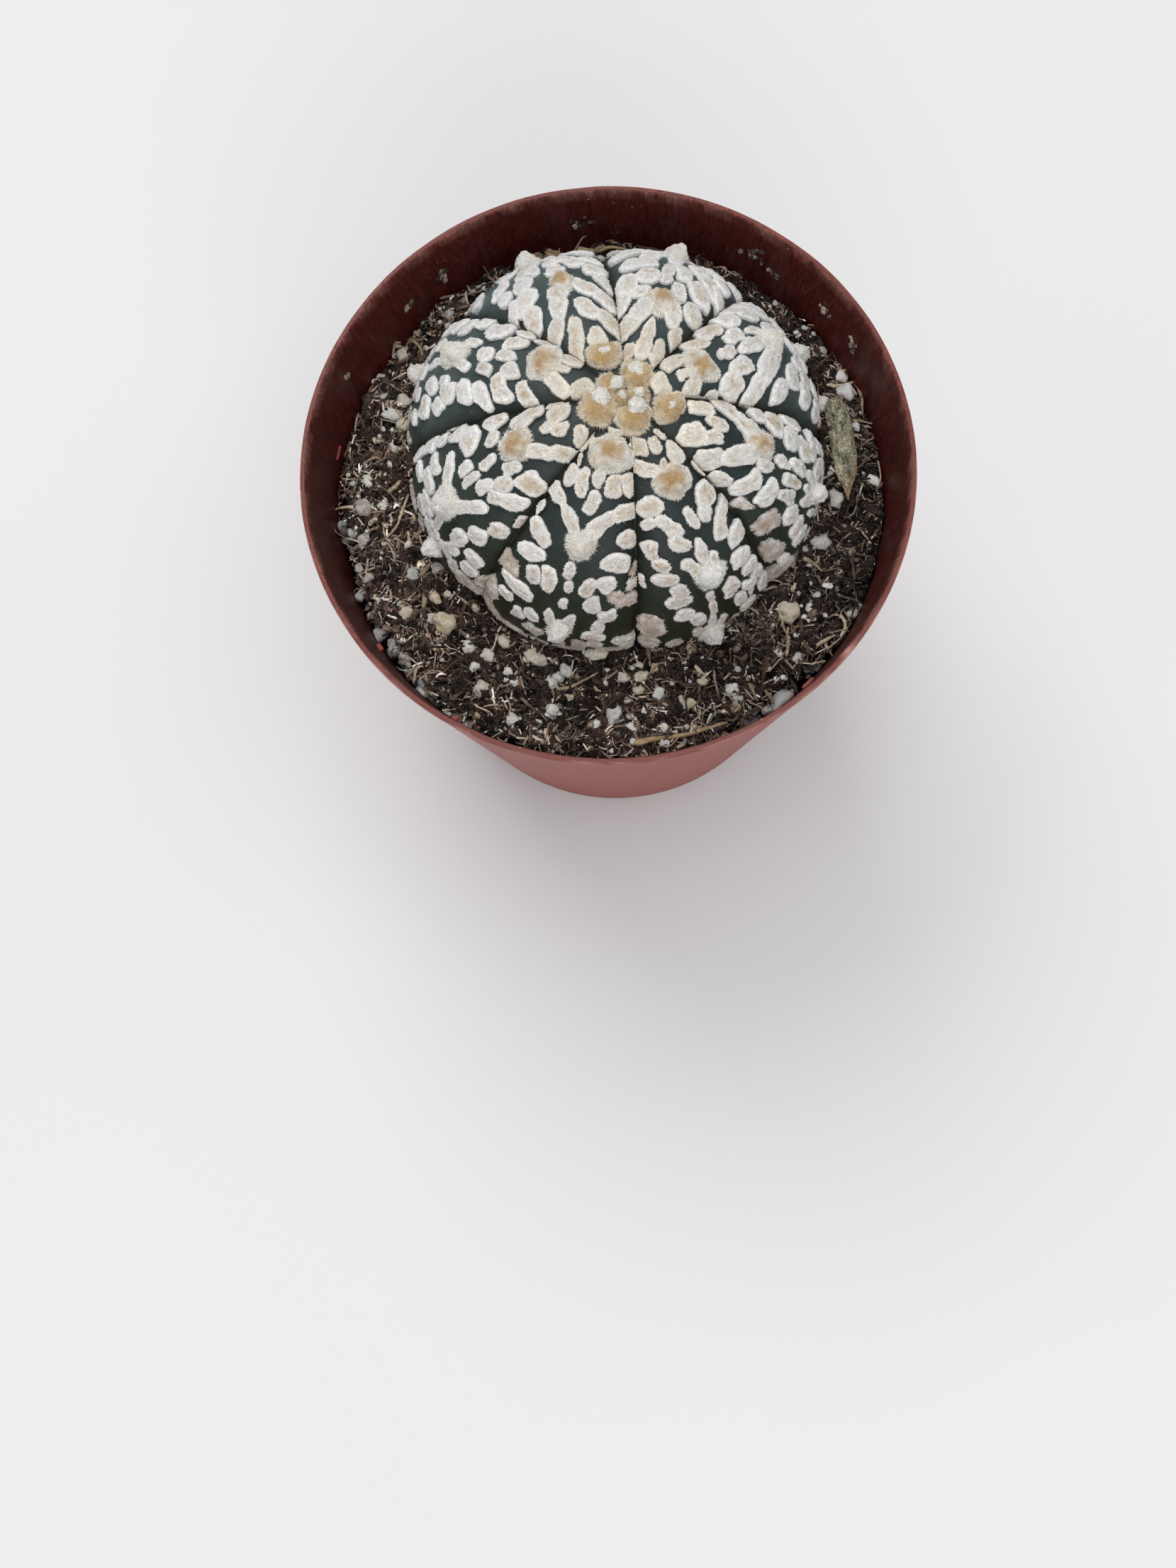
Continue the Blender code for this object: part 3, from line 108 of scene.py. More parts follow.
# Flat felted flecks on each rib: across, along, length, width, and the turn in degrees
# of the long side away from the ridge's line, where it has one.
FLECKS = {
    "A": rows_of("""
        -2.5 9.2 5.6 2.6, 0 10.9 7.4 2.2, 2.2 7.9 2.6 1.6, -4.3 13.6 5.2 2.8 12, -2.5 17.4 5 2.8 18,
        3.7 12.8 5.6 2.8 -18, 2.3 16.6 4.6 2.8 -14, -2.1 23.3 4.4 3 12, -5.8 20.4 4.6 3.8 25, 5.8 18.2 5 2 5,
        6.3 22.4 5.2 3.1 8, 3.9 20.7 3.4 2.5 -5, -5.6 25.6 6 4.2 28, 3.4 25.2 4.6 4.2 10, -2 29.4 5.4 3 10,
        0.6 28.5 5 2.4, 5.8 29.2 5.6 3.6 -60, -6.9 29.8 6 3.4 35, -8.6 33.4 3.8 2.6 60, -4.2 33.6 4.2 3 30,
        4.4 33.2 4.4 3 -30, 0.2 33.6 3.6 2.2, 8.8 33.4 5 2.4 -60, 6 36.8 6.4 2.4 -62, -9 28.4 5.2 2 30,
        -6.8 37.2 5 2.6 50, 0.4 25.6 2.4 1.9, 2.6 37 3.4 2.2 -40
    """),
    "B": rows_of("""
        -1 5.8 3.9 2.6 95, -7.4 12.3 5.2 2.7 -25, -5.6 13.8 3 1.6, -3.7 10.6 4.4 3 55, 2 10.3 5.4 2.1 4,
        -0.5 10.2 2 1.6, 3.7 15.6 4.8 2.3 -4, -5.2 18.2 4.8 4.4 35, -2.3 20.8 5 3.2 14, 0.5 19.4 4.2 2.5 6,
        5.4 19.6 5.4 2.9 14, 3 23 5.4 2.8 8, 0.6 24 5 2.6 8, -7 22.6 4.8 3.5 55, -4.3 25.7 6 3.6 38,
        -2 28.9 4.2 2.8 30, 6.3 25 5.4 3.4, 3.4 28.2 4 1.7 -8, -8 28 5.2 3.6 45, -5.6 32.7 5.4 3.8 65,
        7 30.9 5 3.4 -10, -8.9 35.8 4.6 3 70, 3.8 33.8 3.8 2.2, 7.6 35.4 3.8 2.8 -40, 9.6 32.8 5 2.4 -40,
        8.4 28.6 4.8 2.2 -20, -6 37.6 4.6 2.8 60, -3 36.6 3.6 2.4 40, 10.4 37.2 5.2 2.4 -50
    """),
    "C": rows_of("""
        -2.3 12.3 4.8 4.1 10, 2.6 12.2 4.8 2.4 20, -1.2 15.4 3.4 2.4 20, 1.3 15.4 4.4 2.1, -4.7 17 4.6 3.5 40,
        -2.5 19.9 5.4 3.2 35, -0.7 22.4 3.4 2.6 28, 4.8 16.6 5 2.9 -22, 3.5 19.8 4.6 2.9 -12,
        -7 20.3 3.8 2.6 15, -5.5 24.6 6.4 3.5 65, -1.2 25.7 3.4 2.2 12, 6.2 22.5 3.5 2.3 5,
        7.9 22.6 3.4 0.9 3, 6.7 26.1 4.2 3.9, -8.6 26.3 3.8 1.9 8, -5 28.9 5.4 3.6 88, -3.3 32.4 4.4 2.6 15,
        -0.6 32.4 5.2 2.4 10, 1.1 29 4.2 2, 2.3 32.8 4.9 2.1, 5.8 30.2 4.2 4, 9.2 30.5 4.6 2.3 10,
        6 33.9 4.4 3.3 -35, -9 32.3 5.6 3.8 82, -5.2 35.7 4 3.3 60, -5.7 39 4 2.5 90, 6.6 36.8 3.2 3,
        9.3 36.7 3 2.3 60, -1.4 38.1 3 1.8 35, 2.7 37.4 3.6 1.6 -4, 0.6 37.6 2.6 1.5, -11.6 38 5 3.7,
        -6 41.7 4 2.5 80, -11 42.2 3 2.2, 5.4 39.9 3.8 2.7 80, 9.6 39.6 3 2.2 60, -1.4 42.2 3.2 1.4 28,
        -12.5 45.4 5 3.6 10, -9.6 46.2 4.6 2.2 22, -12.6 49.8 4.2 2.6 8, -8.4 49.8 4.2 1.8 30
    """),
    "D": rows_of("""
        -2.3 8.6 3.6 2.8 -20, 0.2 9.2 3.2 2.1, 1.7 8.1 2.8 1.1 30, -3.3 12.2 4.8 2.8 55, 2.5 12 4.8 2.8 12,
        0 12.6 2.2 1.5, 5.5 16.4 3.6 0.8 20, -4.9 18.5 4.6 3.6 -60, -6.2 21 3 2 -70, -3.3 22 5.2 3 30,
        -2.8 25.3 4.2 3 45, 0.6 22.2 4.5 1.7 8, 4.4 20 4.6 4 -10, 3 22.5 3.4 2.6 -20, 0.2 26.6 2.8 2.1,
        6.8 23.8 4.2 2.4 -62, 4.9 26 4.4 3 -25, -7.6 25.5 3.4 2.7, -6.8 28.2 3.4 2.6 60, -6.8 30.7 4.6 2.5 80,
        -2.2 29.7 3.6 2.5 32, 1.8 30.2 3.2 2 -10, 7.1 29 4.4 3.7 90, 6.5 33 4.6 3.4 90, 7.7 35.8 4 2.7 90,
        -5 33.6 3.8 3.2 20, -5.8 35.4 5 2.6 85, -0.5 36.6 2.4 1.8, -0.3 39.4 3.6 1.4 3, -0.7 42 2 1.4,
        3.5 37.2 4.6 3.3 -25, -5.2 38.5 3.8 2.7 70, -3.2 40.8 3.6 2.6 40, 6.8 39.2 3.6 2 70, 4.9 41 3.2 2.6,
        7.1 41.3 2 1.2, 6.3 44.4 3.8 3 90, 1.3 43.8 2.6 1.5 -20, -3.3 44.6 3 1.9 10, -7.4 46.8 3 2.6,
        9.2 38.4 3 2.5 60, 10.4 42.5 4.2 3.4 10, -10.6 30.8 2.4 1 -5, -11.3 40.5 6 4.8, 3.8 47 3 2.4,
        -12 45.3 4.6 3.4 26, -9.2 49.4 5.2 1.8 82, -3.6 49.6 5.4 1.6 92, 2.4 50.6 4.8 1.7 98,
        8.1 49.4 6.2 1.9 98, 12.4 46.8 4.4 2.6 20
    """),
    "E": rows_of("""
        0 6.4 2.8 1.2 90, -4.8 9.7 4 2.6 -28, 4.7 8.8 4.2 2.6 35, -4.7 15.7 4 2.5 -8, -2.7 15.8 5 2.4 5,
        -4.3 12.9 2.2 0.9 5, -0.4 14.2 3.6 2, 2.2 15 4.2 2.6 12, 4.5 14.5 4.4 2 25, -0.1 18.4 4.4 2.6 -12,
        -6 19.4 4.4 2.6 65, -3 21.6 5 2.7 42, 5.4 18.9 4.4 2.9 -75, 2.7 20.6 5 2.8 -35, -8.4 22.9 3 1.2 -15,
        -7 26.2 5.2 3.2 58, 7.1 23.4 3.8 3.1 50, 6.4 27.1 5 3.5 80, -7.4 29.9 5.6 3.1 -74, -6 33.1 3.4 2.9 20,
        -3.3 32.7 4.8 3 12, -0.4 29.9 3.2 2, 0.1 32.7 2.4 1.6, 3 32 4 2.4 -20, 5.7 31 3.8 3.2 60,
        4.4 35 3.8 2.9 15, 7.3 37.2 3.4 2.7 -70, 9.9 31.3 2.4 2.2, 9.8 28.6 2.4 1.3 8, 9 33.9 5.4 2.9 75,
        -8.2 36.9 7 2.5 76, -0.2 36.2 2.2 1.6, -1.9 39.7 3.4 1.8 18, 1.6 39.6 3.6 1.9 -14, -9.8 39.9 3.2 2 90,
        -7 42.4 2.6 2.2, -4.9 41.4 3.4 2.5 40, -4 45.3 3.8 2.9 60, 6.3 39.7 3 2.8, 6 42.2 4.2 2.1 90,
        4 45.8 3.4 2.1, 6.5 44.8 2.8 2.1 80, 10.4 43.8 2.8 1.8 65, 1 47 3.4 1.4 4, -11.5 34.2 6.4 3.3 86,
        -13.1 42 6 3.6 -10, 13 46.4 4 2.6 -15, -12.9 46.9 3.8 2.1 55, -10.8 48.3 4.4 1.8 57,
        -7.5 49.1 4.8 1.6 82, -3.2 50.1 5 1.7 110, 2.4 48.4 5.6 1.2 108, 9.4 46.8 5.2 1.3 95,
        11.6 44.4 4.2 2.4 75
    """),
    "F": rows_of("""
        -2.4 11.4 4.6 2.9, 0.1 12 3.2 2.3, -1.4 13.9 2.4 1.8, -4.3 11.8 3 1.1 -15, 2.7 10.1 4.3 2.3 45,
        -4.8 14.8 3 2.3, -4.5 17.2 4.8 3.2 20, 3.7 13.9 4.4 3.2 -50, 1.6 16.4 4.6 3.1 -35,
        5.6 13.2 2.6 0.9 20, 5.3 21 5.2 4.2 90, 1.3 21.9 3.3 2.4 -10, -7.2 22.2 4.8 3.1 -20, -4.7 23 3 2.4 40,
        -1.6 25 3.7 2.2 8, 2.9 24.6 3.6 2.9 -20, 6.1 25.4 5.2 3.3 -60, 1.2 27.5 3.8 2.6 -15, 4 27 3.2 2.4 -60,
        -6.8 27 5 4 85, 9.4 27.3 3 1.4 12, -9.4 29.5 4 2.8 8, -12.2 31.1 3 2.1 -30, -3.2 29.3 3.4 2.2 8,
        -1.2 29.2 4.4 1.6, -4.7 32.7 6.2 2.4 52, 2.8 31.4 6.4 2.5 -33, 8.4 30.8 3.6 2.9 -80,
        6.8 34.2 4 3.2 -70, -10.5 33.2 2.9 2.2, -7.5 35.6 4 2.4 88, -6 38.1 5.2 2.6 85,
        -11.7 36.6 4.4 3.1 -25, 4.9 37.7 3.6 3.2, 5.2 41 3.8 2.9 -20, 9.2 38.5 4.4 2.4 76, -3.4 40.6 5 2.1 76,
        0.5 40.5 3.4 1.8 8, 9.6 41.7 4.2 2.5 85, 3.2 43 2 1.1, -9 40.4 3.6 2.3 85, -4.2 43.1 3.6 2.1 75,
        -1 43.8 3.6 1.9 70, 6.9 44.6 3.2 2.4 30, 9.4 46.2 3 2.4, -12.2 40.6 3.4 2.5, 0.6 42.4 4.2 1.5 73,
        4.4 43.2 3.8 1.6 75, 7.9 44.5 3.8 1.6 62, 10.6 45.6 4.4 2 45, 12.8 46.6 3.4 2.3 50, 12.8 43 3.8 2.6 20
    """),
    "G": rows_of("""
        1.3 7.3 4.6 3.4 50, -3.1 11.2 4.6 1.9 -10, -1.2 11.6 3 1.7 -8, 2 11.2 4.6 3 -35, 4.4 16.8 4.6 3.2 -65,
        4.2 21.2 5.4 3.5 -60, 1 19.6 4 2.9 -15, -1.6 21.6 4 2.5, -4.3 21.4 4.6 2.8 5, -5.4 17 4.2 1.4 -12,
        -6.7 21 4 1.9 -18, 6 24.2 5.6 2.9 -60, 1.1 24.6 3.6 2.6 -10, -1.5 25.6 3.4 3, -6.4 26 5.2 4.1 20,
        5.4 28 4.6 3.4 -72, -8.3 30.4 3.6 3, -3.8 29.3 3.4 1.9 5, 0.6 29.4 3.4 2 -20, 5.5 31.6 4.2 4,
        7.5 34 3 2.5 40, 3.2 33 2.6 2, -7.5 33.8 4.4 2.6 80, -8.3 37 4 2.9 60, -0.7 37.6 4.2 1.8 12,
        3.8 36.2 4.2 3 -38, 7.3 37.6 4.2 3.2 80
    """),
    "H": rows_of("""
        -0.6 11.4 4.6 3.1 -12, -3.8 14 5.2 2.9 14, -1.7 17.8 5.6 2.8 14, -4 11 2.4 1, 2.7 13.2 7.6 3 -27,
        4.7 17 4.6 3.5 -52, 2.4 20.2 5.4 3.1 -30, 1 23.2 3.6 2.4 -12, -5.5 18.7 4.8 2.8 18,
        -3.9 22.3 5.4 2.7 25, 6.5 21.9 5 3.1 -15, 5.6 26.3 5.2 3.6 -60, -7.4 23.6 4.4 2.2 12,
        -7.3 27.2 4 2.8 60, 4.4 30.6 4.6 3.6 -30, -1.6 29.6 4.2 2.8, -5.2 31 4 2.8 50, 8 30.8 3.4 2.8 -50,
        1 33.4 3.6 2.2, 8.6 26.6 4.8 2.2 -40, 7.4 34.6 5 2.6 -55, 2.8 34.4 4.4 2.4 -40, -4.6 34.4 4.6 2.4 50,
        -8.4 31.4 4.4 2.2 50, -2 33.8 3 2.2 20
    """),
}

# The tone of each tuft's heart, in the order of TUFTS: W white, L light, T tan, O ochre.
TUFT_TONES = dict(A="TL", B="TLW", C="OTW", D="TWW", E="TLW", F="TWW", G="TLW", H="OTW")
# How far the flecks of each rib may grow towards each other.
GROWTH = {"A": 1.32, "B": 1.3, "C": 1.15, "D": 1.04, "E": 1.02, "F": 1.02, "G": 1.03, "H": 1.26}
# Flecks with a tan middle: rib and rounded distance from the crown.
TAN_FLECKS = frozenset(rows_of("""
    E 10, F 10, F 21, G 17, G 24, D 26, D 18, C 20, C 26, C 32, C 38, B 18, B 28, H 22, H 13, D 40, E 34,
    E 42, E 31, E 29, D 45, C 45, F 43
"""))
# Flecks are torn past this distance from the crown, and stained ones this far from the ridge.
TORN_FROM, FURROW_SIDE = 42.0, 8.5
# Large grains on the soil: X, Y, length, width, turn in degrees, tone.
GRAINS = rows_of("""
    -41.3 3 2.8 2 -20 C, -43.9 3 1.1 1 0 A, -43.9 0.2 1.5 1.3 0 L, -37 14.6 4 2.2 -12 C,
    -38.3 18 2.3 1.4 -10 G, -35.2 17 3.2 2.1 -10 S, -36.6 8.9 2.5 1.5 -8 B, -34.6 12.2 3.6 2.6 60 F,
    -42 -1.5 3.2 2.8 -20 M, -38.1 -1.7 2.7 1.5 -20 B, -44 -6 1.8 1.6 0 G, -42 -7 2.6 2 80 M,
    -42.2 -11.8 2.3 2 0 M, -42.5 -16.2 2.8 1.6 70 A, -41 -14 2.2 1.6 50 M, -33.2 -13.9 2.3 2.1 0 L,
    -28.8 -13.8 2.3 2.1 20 M, -29.3 -18.3 3.2 1.5 -55 H, -27.2 -18 1.5 1.2 0 S, -34.4 -20.2 2.5 2.2 50 F,
    -35.4 -18.3 1.8 1.2 80 P, -27.8 -22.5 4.2 3.3 20 H, -29.6 -21.6 2.4 2 0 A, -39.4 -23.2 3.2 2.6 60 L,
    -37 -25 1.7 1.5 0 M, -35.6 -24.2 1.1 1 0 A, -34.6 -27.6 3.4 1.9 -70 M, -23.7 -26.7 2.5 1.9 -20 B,
    -22.7 -30.2 2.1 1.6 60 C, -20.4 -28.2 2.5 2.3 -20 O, -21.5 -33.8 3.2 2.4 -60 O, -31.8 -33.2 3 2.8 -40 P,
    -17.6 -26.4 2.4 1.9 -60 S, -28.2 -28.6 1 0.8 0 W, -18.2 -28.7 1 0.7 0 W, -12.2 -29.2 3.8 2.8 -40 S,
    -10 -29 1.6 1.2 80 O, -13.9 -29.3 1.5 1.2 0 O, -2.4 -29 4.6 2 -5 O, -17 -31 1.7 1.5 0 C,
    -16 -32.6 1.8 1.4 60 C, -17.5 -32.2 0.9 0.7 0 C, -9.7 -33.2 2.4 1.9 30 B, -8.5 -32.3 2.4 1.8 60 B,
    -7.3 -31.5 2.5 2.2 0 P, -0.3 -31.2 1.1 0.9 0 B, 2.2 -32.5 2.4 1.7 10 O, 5.4 -32.2 2.6 1.9 10 S,
    3.6 -31.2 1.6 1.1 70 S, 5 -30.4 1.6 1.2 -20 O, 7.9 -31.2 2.2 2 0 H, 4.9 -34.6 1.9 1.6 0 F,
    8.2 -35.4 2.4 1.8 70 B, 0.7 -37.9 4.1 2.4 82 C, 5.9 -38 1.9 1.1 80 C, 5.7 -36.6 0.9 0.7 0 P,
    3.5 -38.8 1.4 1.1 -20 B, 3 -36.3 1.1 0.8 0 B, -9.5 -38 2.9 2.2 -30 C, -9.6 -36.2 1.4 1 60 C,
    -16.2 -39.4 2.9 2 -70 C, -2.3 -40 1.9 1.4 20 W, -2.2 -39.2 0.9 0.7 0 W, -12 -39.4 1.7 0.7 -10 B,
    3.7 -40.9 1.9 1.6 -50 C, 3.9 -43.4 1.3 1 -50 C, -27.4 -37.7 1.5 1.4 0 P, -24 -39.8 1.8 1.5 0 L,
    -22.4 -39.4 1 0.8 0 G, 9.3 -41 2.2 1.3 -20 C, 9.2 -43.8 1.8 1.4 0 P, 10.7 -41.8 1.4 0.6 10 B,
    12 -35.8 1.6 0.9 -70 O, 13.2 -36.6 2.5 1.8 30 F, 15.6 -33.2 1.8 1.5 0 H, 35.6 -9.3 3.5 2.7 -15 G,
    33.2 -10.6 1.4 1.2 0 L, 33.4 -16.1 1.6 1.2 10 P, 37.1 -16.5 2.5 1 -12 W, 34.9 -18.2 1.6 1.2 70 G,
    31.6 -18 1.2 0.9 0 A, 33.6 -20.6 1.6 1.1 70 B, 36 -21.6 1.5 0.9 -20 B, 34.2 -22.4 1.1 1 0 P,
    29.8 -21 4.4 3.4 20 F, 41.2 -20.9 2.3 1.6 10 P, 42.3 -19.6 1.7 1.4 0 G, 20 -24.4 1.4 1 0 L,
    28.2 -28.2 1.5 1.3 0 W, 31.4 -28.8 2.7 1.5 80 G, 26.5 -30.4 1.8 0.9 -55 B, 20.4 -34.4 2.8 1.9 -8 B,
    21.3 -36 2.2 1.2 20 L, 28.7 -35.5 5.2 3.5 52 P, 26.1 -37.3 1.6 1.2 70 G, 40.5 18 3.2 3.1 0 P,
    36.5 15.6 3.6 2.9 -15 B, 39.7 21.4 2.9 2.3 20 C, 36.8 26.6 1.9 1.5 0 L, 33.8 30.2 1 0.9 0 C,
    32.4 29.3 1 0.9 0 C, 38.2 -1.9 3.4 2.6 -60 A, 45 2.5 2.7 1.7 -25 C, 37.6 3.2 1.1 0.8 0 A,
    42 12 2.2 1.4 -60 P, 28.2 38.8 2.8 1.7 80 S, 28.9 34.8 1.9 1 85 P, 34.4 35.4 1.9 1.2 60 S,
    22.4 41 0.9 0.8 0 C, -35.8 26.8 2.6 2.1 -50 O, -32.2 33.4 1.5 0.9 -20 B, -27.6 33.5 1.9 1.4 80 G,
    -36.4 31 1.5 1.2 0 O, -39.6 22.9 1.7 1.2 30 O, -31.5 26.7 1.1 0.9 0 O
""")
# Moulding nubs on the inner wall: X and Y towards them, height, width, rise, depth.
NUBS = (
    (-38.3, -26.3, 73.6, 1.5, 0.8, 0.9), (-25.6, -38.8, 73.4, 1.3, 0.9, 0.9),
    (-44.4, 8.0, 74.2, 2.6, 0.5, 0.5), (32.6, -33.2, 74.6, 2.6, 0.5, 0.6),
)
# Clumps of fine pale fibres: X, Y, spread, number.
FIBRE_CLUMPS = (
    (25.0, -24.5, 1.5, 90), (-36.9, -10.0, 1.7, 90), (-35.4, 8.2, 1.6, 50), (-30.5, -24.4, 1.5, 40),
    (-9.0, -40.6, 1.7, 40), (13.8, -38.4, 1.6, 40), (39.4, -23.2, 1.0, 30), (-34.0, 22.0, 2.0, 40),
    (35.2, -13.0, 1.6, 40), (40.6, 20.6, 1.5, 30), (42.8, 13.1, 1.1, 30), (43.4, 8.0, 1.4, 30),
)
# Sticks, roots and threads on the soil: radius, tone, then points of X and Y.
STICKS = rows_of("""
    0.3 S -33.9 -0.2 -34.9 -3 -35.9 -6 -37.8 -7.6 -39.4 -7.9,
    0.24 S -39.6 -7.5 -37.4 -8.7 -36.6 -10.4 -36.2 -11.8, 0.6 U -32.2 -14.5 -31 -13.6 -29.8 -12.4,
    0.55 H -31 -17 -31.3 -19.3 -31.8 -21.6, 0.36 H -8.8 -34.4 -6.6 -34.2 -4.5 -33.4 -1.8 -31.8,
    0.3 H -14.9 -31.8 -14.6 -33.2 -14 -34.8, 0.36 B -15 -35 -13.4 -36.8 -12 -38 -10.4 -39.6,
    0.34 U -9.6 -41.6 -8.2 -39.8 -6.8 -39.2 -5 -38.4, 0.14 P 13.6 -40.2 14.8 -38.9 16.8 -37,
    0.14 P 14.5 -36.8 15.4 -37.3 16.6 -37.9, 0.13 P -27.8 -26.2 -26.8 -26.9 -25.6 -27.2 -24.4 -28.2,
    0.95 B 31.6 -8.3 31.2 -11.2 30.8 -14.2, 0.5 C 38.6 -21.6 39.4 -22.6 39.6 -24.2,
    0.55 S -37.6 0.4 -36.4 1.3 -35.4 2.4, 0.5 H 32.6 -12.2 34.3 -12.8 36.3 -13.9,
    0.26 R 40.6 -22.8 39.6 -24.2 38.4 -25.8 36.4 -27.6, 0.48 R 34.6 -27 36.2 -26 38 -24.9,
    0.24 R 30 -23.5 29.8 -24.8 29.2 -26 27.8 -27.4, 0.5 H 30 -25.2 29.9 -27 29.6 -28.7,
    0.26 R 33.6 -29.9 34.8 -29.6 36.2 -29.6, 0.5 U 22.8 -32.2 23.6 -34 24.8 -36.4,
    0.3 S 38 23.6 40 23 41.8 23.4 43.6 23.2, 0.4 U -29.5 36.8 -26.8 37.4 -24.4 37.6 -22 37.4,
    0.32 B -29.3 35.6 -27.6 35.8 -26 35.2, 0.62 R -37.2 29 -36.2 28.5 -35.2 27.5,
    0.55 H -34.8 29.9 -33.4 28.2 -32.3 26.2 -32 24.2, 0.26 S -41.3 19.4 -40.2 20.8 -38.5 21.6,
    0.2 S -38.6 21.2 -36.4 20.2 -34.4 19 -32.6 18, 0.28 R 39.4 26.6 41 25.6 42.6 26.4,
    0.34 U -11.2 -43.2 -8.9 -43.8 -7.6 -45, 0.22 R 41.6 12.6 43.2 12.9 45.2 12.6,
    0.22 R 46 6 46.3 3 45.6 0.4, 0.42 C 37.3 19.1 39 19.4 41 20.3 42.9 21.3, 0.24 C 40.2 20 41.9 19 42.6 18,
    0.45 B 42.6 21 43.4 17.5 43.4 14
""")
# Where the soil has drawn back from the wall: middle and width in degrees, depth.
GAPS = ((-152.0, 26.0, 3.0), (-48.0, 17.0, 2.3), (170.0, 22.0, 0.9))
# Soft lamps: name, place and width in metres, power in watts, colour.
LAMPS = (
    ("key", (-0.35, 0.7, 1.25), 0.9, 9.5, (1.0, 0.99, 0.98)),
    ("top", (0.2, -0.15, 1.5), 1.0, 7.5, (1.0, 1.0, 1.0)),
    ("front fill", (0.15, -1.2, 0.95), 0.9, 6.0, (1.0, 0.98, 0.965)),
)
# Clumps stuck to the wall: X and Y towards them, depth below the rim, spread, number of crumbs.
WALL_CLUMPS = (
    (-31.5, 41.3, 8.0, 1.0, 9), (-32.2, 31.7, 9.0, 0.8, 6), (26.5, 42.3, 7.0, 1.3, 14),
    (29.5, 39.1, 9.0, 1.0, 7), (34.8, 28.9, 8.0, 0.9, 6), (44.9, 25.5, 8.0, 1.0, 8),
    (-4.6, 51.4, 7.0, 1.4, 9), (-45.0, 20.0, 7.0, 0.6, 4),
)


def linear(code: str) -> Array:
    """Turns a colour code such as "#aabbcc" into linear red, green and blue."""
    values = np.array([int(code[i:i + 2], 16) for i in (1, 3, 5)]) / 255.0
    return np.where(values <= 0.04045, values / 12.92, ((values + 0.055) / 1.055) ** 2.4)


def shades(codes: str) -> Array:
    """Turns colour codes that spaces part into rows of linear red, green and blue."""
    return np.array([linear(code) for code in codes.split()])


def shade(code: str) -> Array:
    """Gives a colour field its default."""
    return field(default_factory=lambda: linear(code))


def smooth(value: Array) -> Array:
    """Gives a soft step from 0 to 1."""
    value = np.clip(value, 0.0, 1.0)
    return value * value * (3.0 - 2.0 * value)


def mix(first: Array, second: Array, share: Array) -> Array:
    """Blends two colours or lists of colours."""
    share = np.asarray(share, float)[..., None]
    return first * (1.0 - share) + second * share


def unit(vectors: Array) -> Array:
    """Scales vectors to length one."""
    return vectors / np.maximum(np.linalg.norm(vectors, axis=-1, keepdims=True), 1e-9)


def ringed(radius: Array, azimuth: Array, height: Array) -> Array:
    """Turns distance from Z, azimuth and height into rows of X, Y and Z."""
    rows = np.broadcast_arrays(radius * np.cos(azimuth), radius * np.sin(azimuth), height)
    return np.stack(rows, axis=-1)


def around(points: Array) -> tuple[Array, Array]:
    """Gives the distance of points from Z, and their azimuth."""
    return np.hypot(points[:, 0], points[:, 1]), np.arctan2(points[:, 1], points[:, 0])


def wrapped(angle: Array) -> Array:
    """Brings angles to between minus and plus half a turn."""
    return (np.asarray(angle) + math.pi) % math.tau - math.pi


@dataclass(frozen=True)
class Relief:
    """Seeded smooth noise over points in millimetres."""

    seed: int

    def corner(self, cell: Array) -> Array:
        """Gives each whole-numbered cell corner its own value from -1 to 1.

        Args:
            cell: rows of whole numbers.

        Returns:
            A value for each.
        """
        parts = cell.astype(np.int64) * CORNER_FACTORS
        mixed = (parts.sum(axis=-1) + self.seed * SEED_FACTOR) & LOW_32_BITS
        mixed = ((mixed ^ (mixed >> 13)) * LAST_FACTOR) & LOW_32_BITS
        return ((mixed ^ (mixed >> 16)) & LOW_16_BITS) / (LOW_16_BITS / 2) - 1.0

    def at(self, points: Array, size: float) -> Array:
        """Gives noise with bumps of one size.

        Args:
            points: rows of X, Y and Z.
            size: distance between bumps.

        Returns:
            One value from -1 to 1 for each point.
        """
        scaled = np.asarray(points, float) / size
        cell = np.floor(scaled)
        part = smooth(scaled - cell)
        total = np.zeros(len(scaled))
        for corner in range(8):
            step = np.array([corner & 1, corner >> 1 & 1, corner >> 2 & 1])
            weight = np.prod(np.where(step, part, 1.0 - part), axis=-1)
            total += weight * self.corner(cell + step)
        return total

    def layered(self, points: Array, size: float, layers: int, fall: float = 0.5) -> Array:
        """Adds up noise of ever smaller bumps."""
        layer = range(layers)
        return sum(Relief(self.seed + k).at(points, size / 2**k) * fall**k for k in layer)


# Finishes


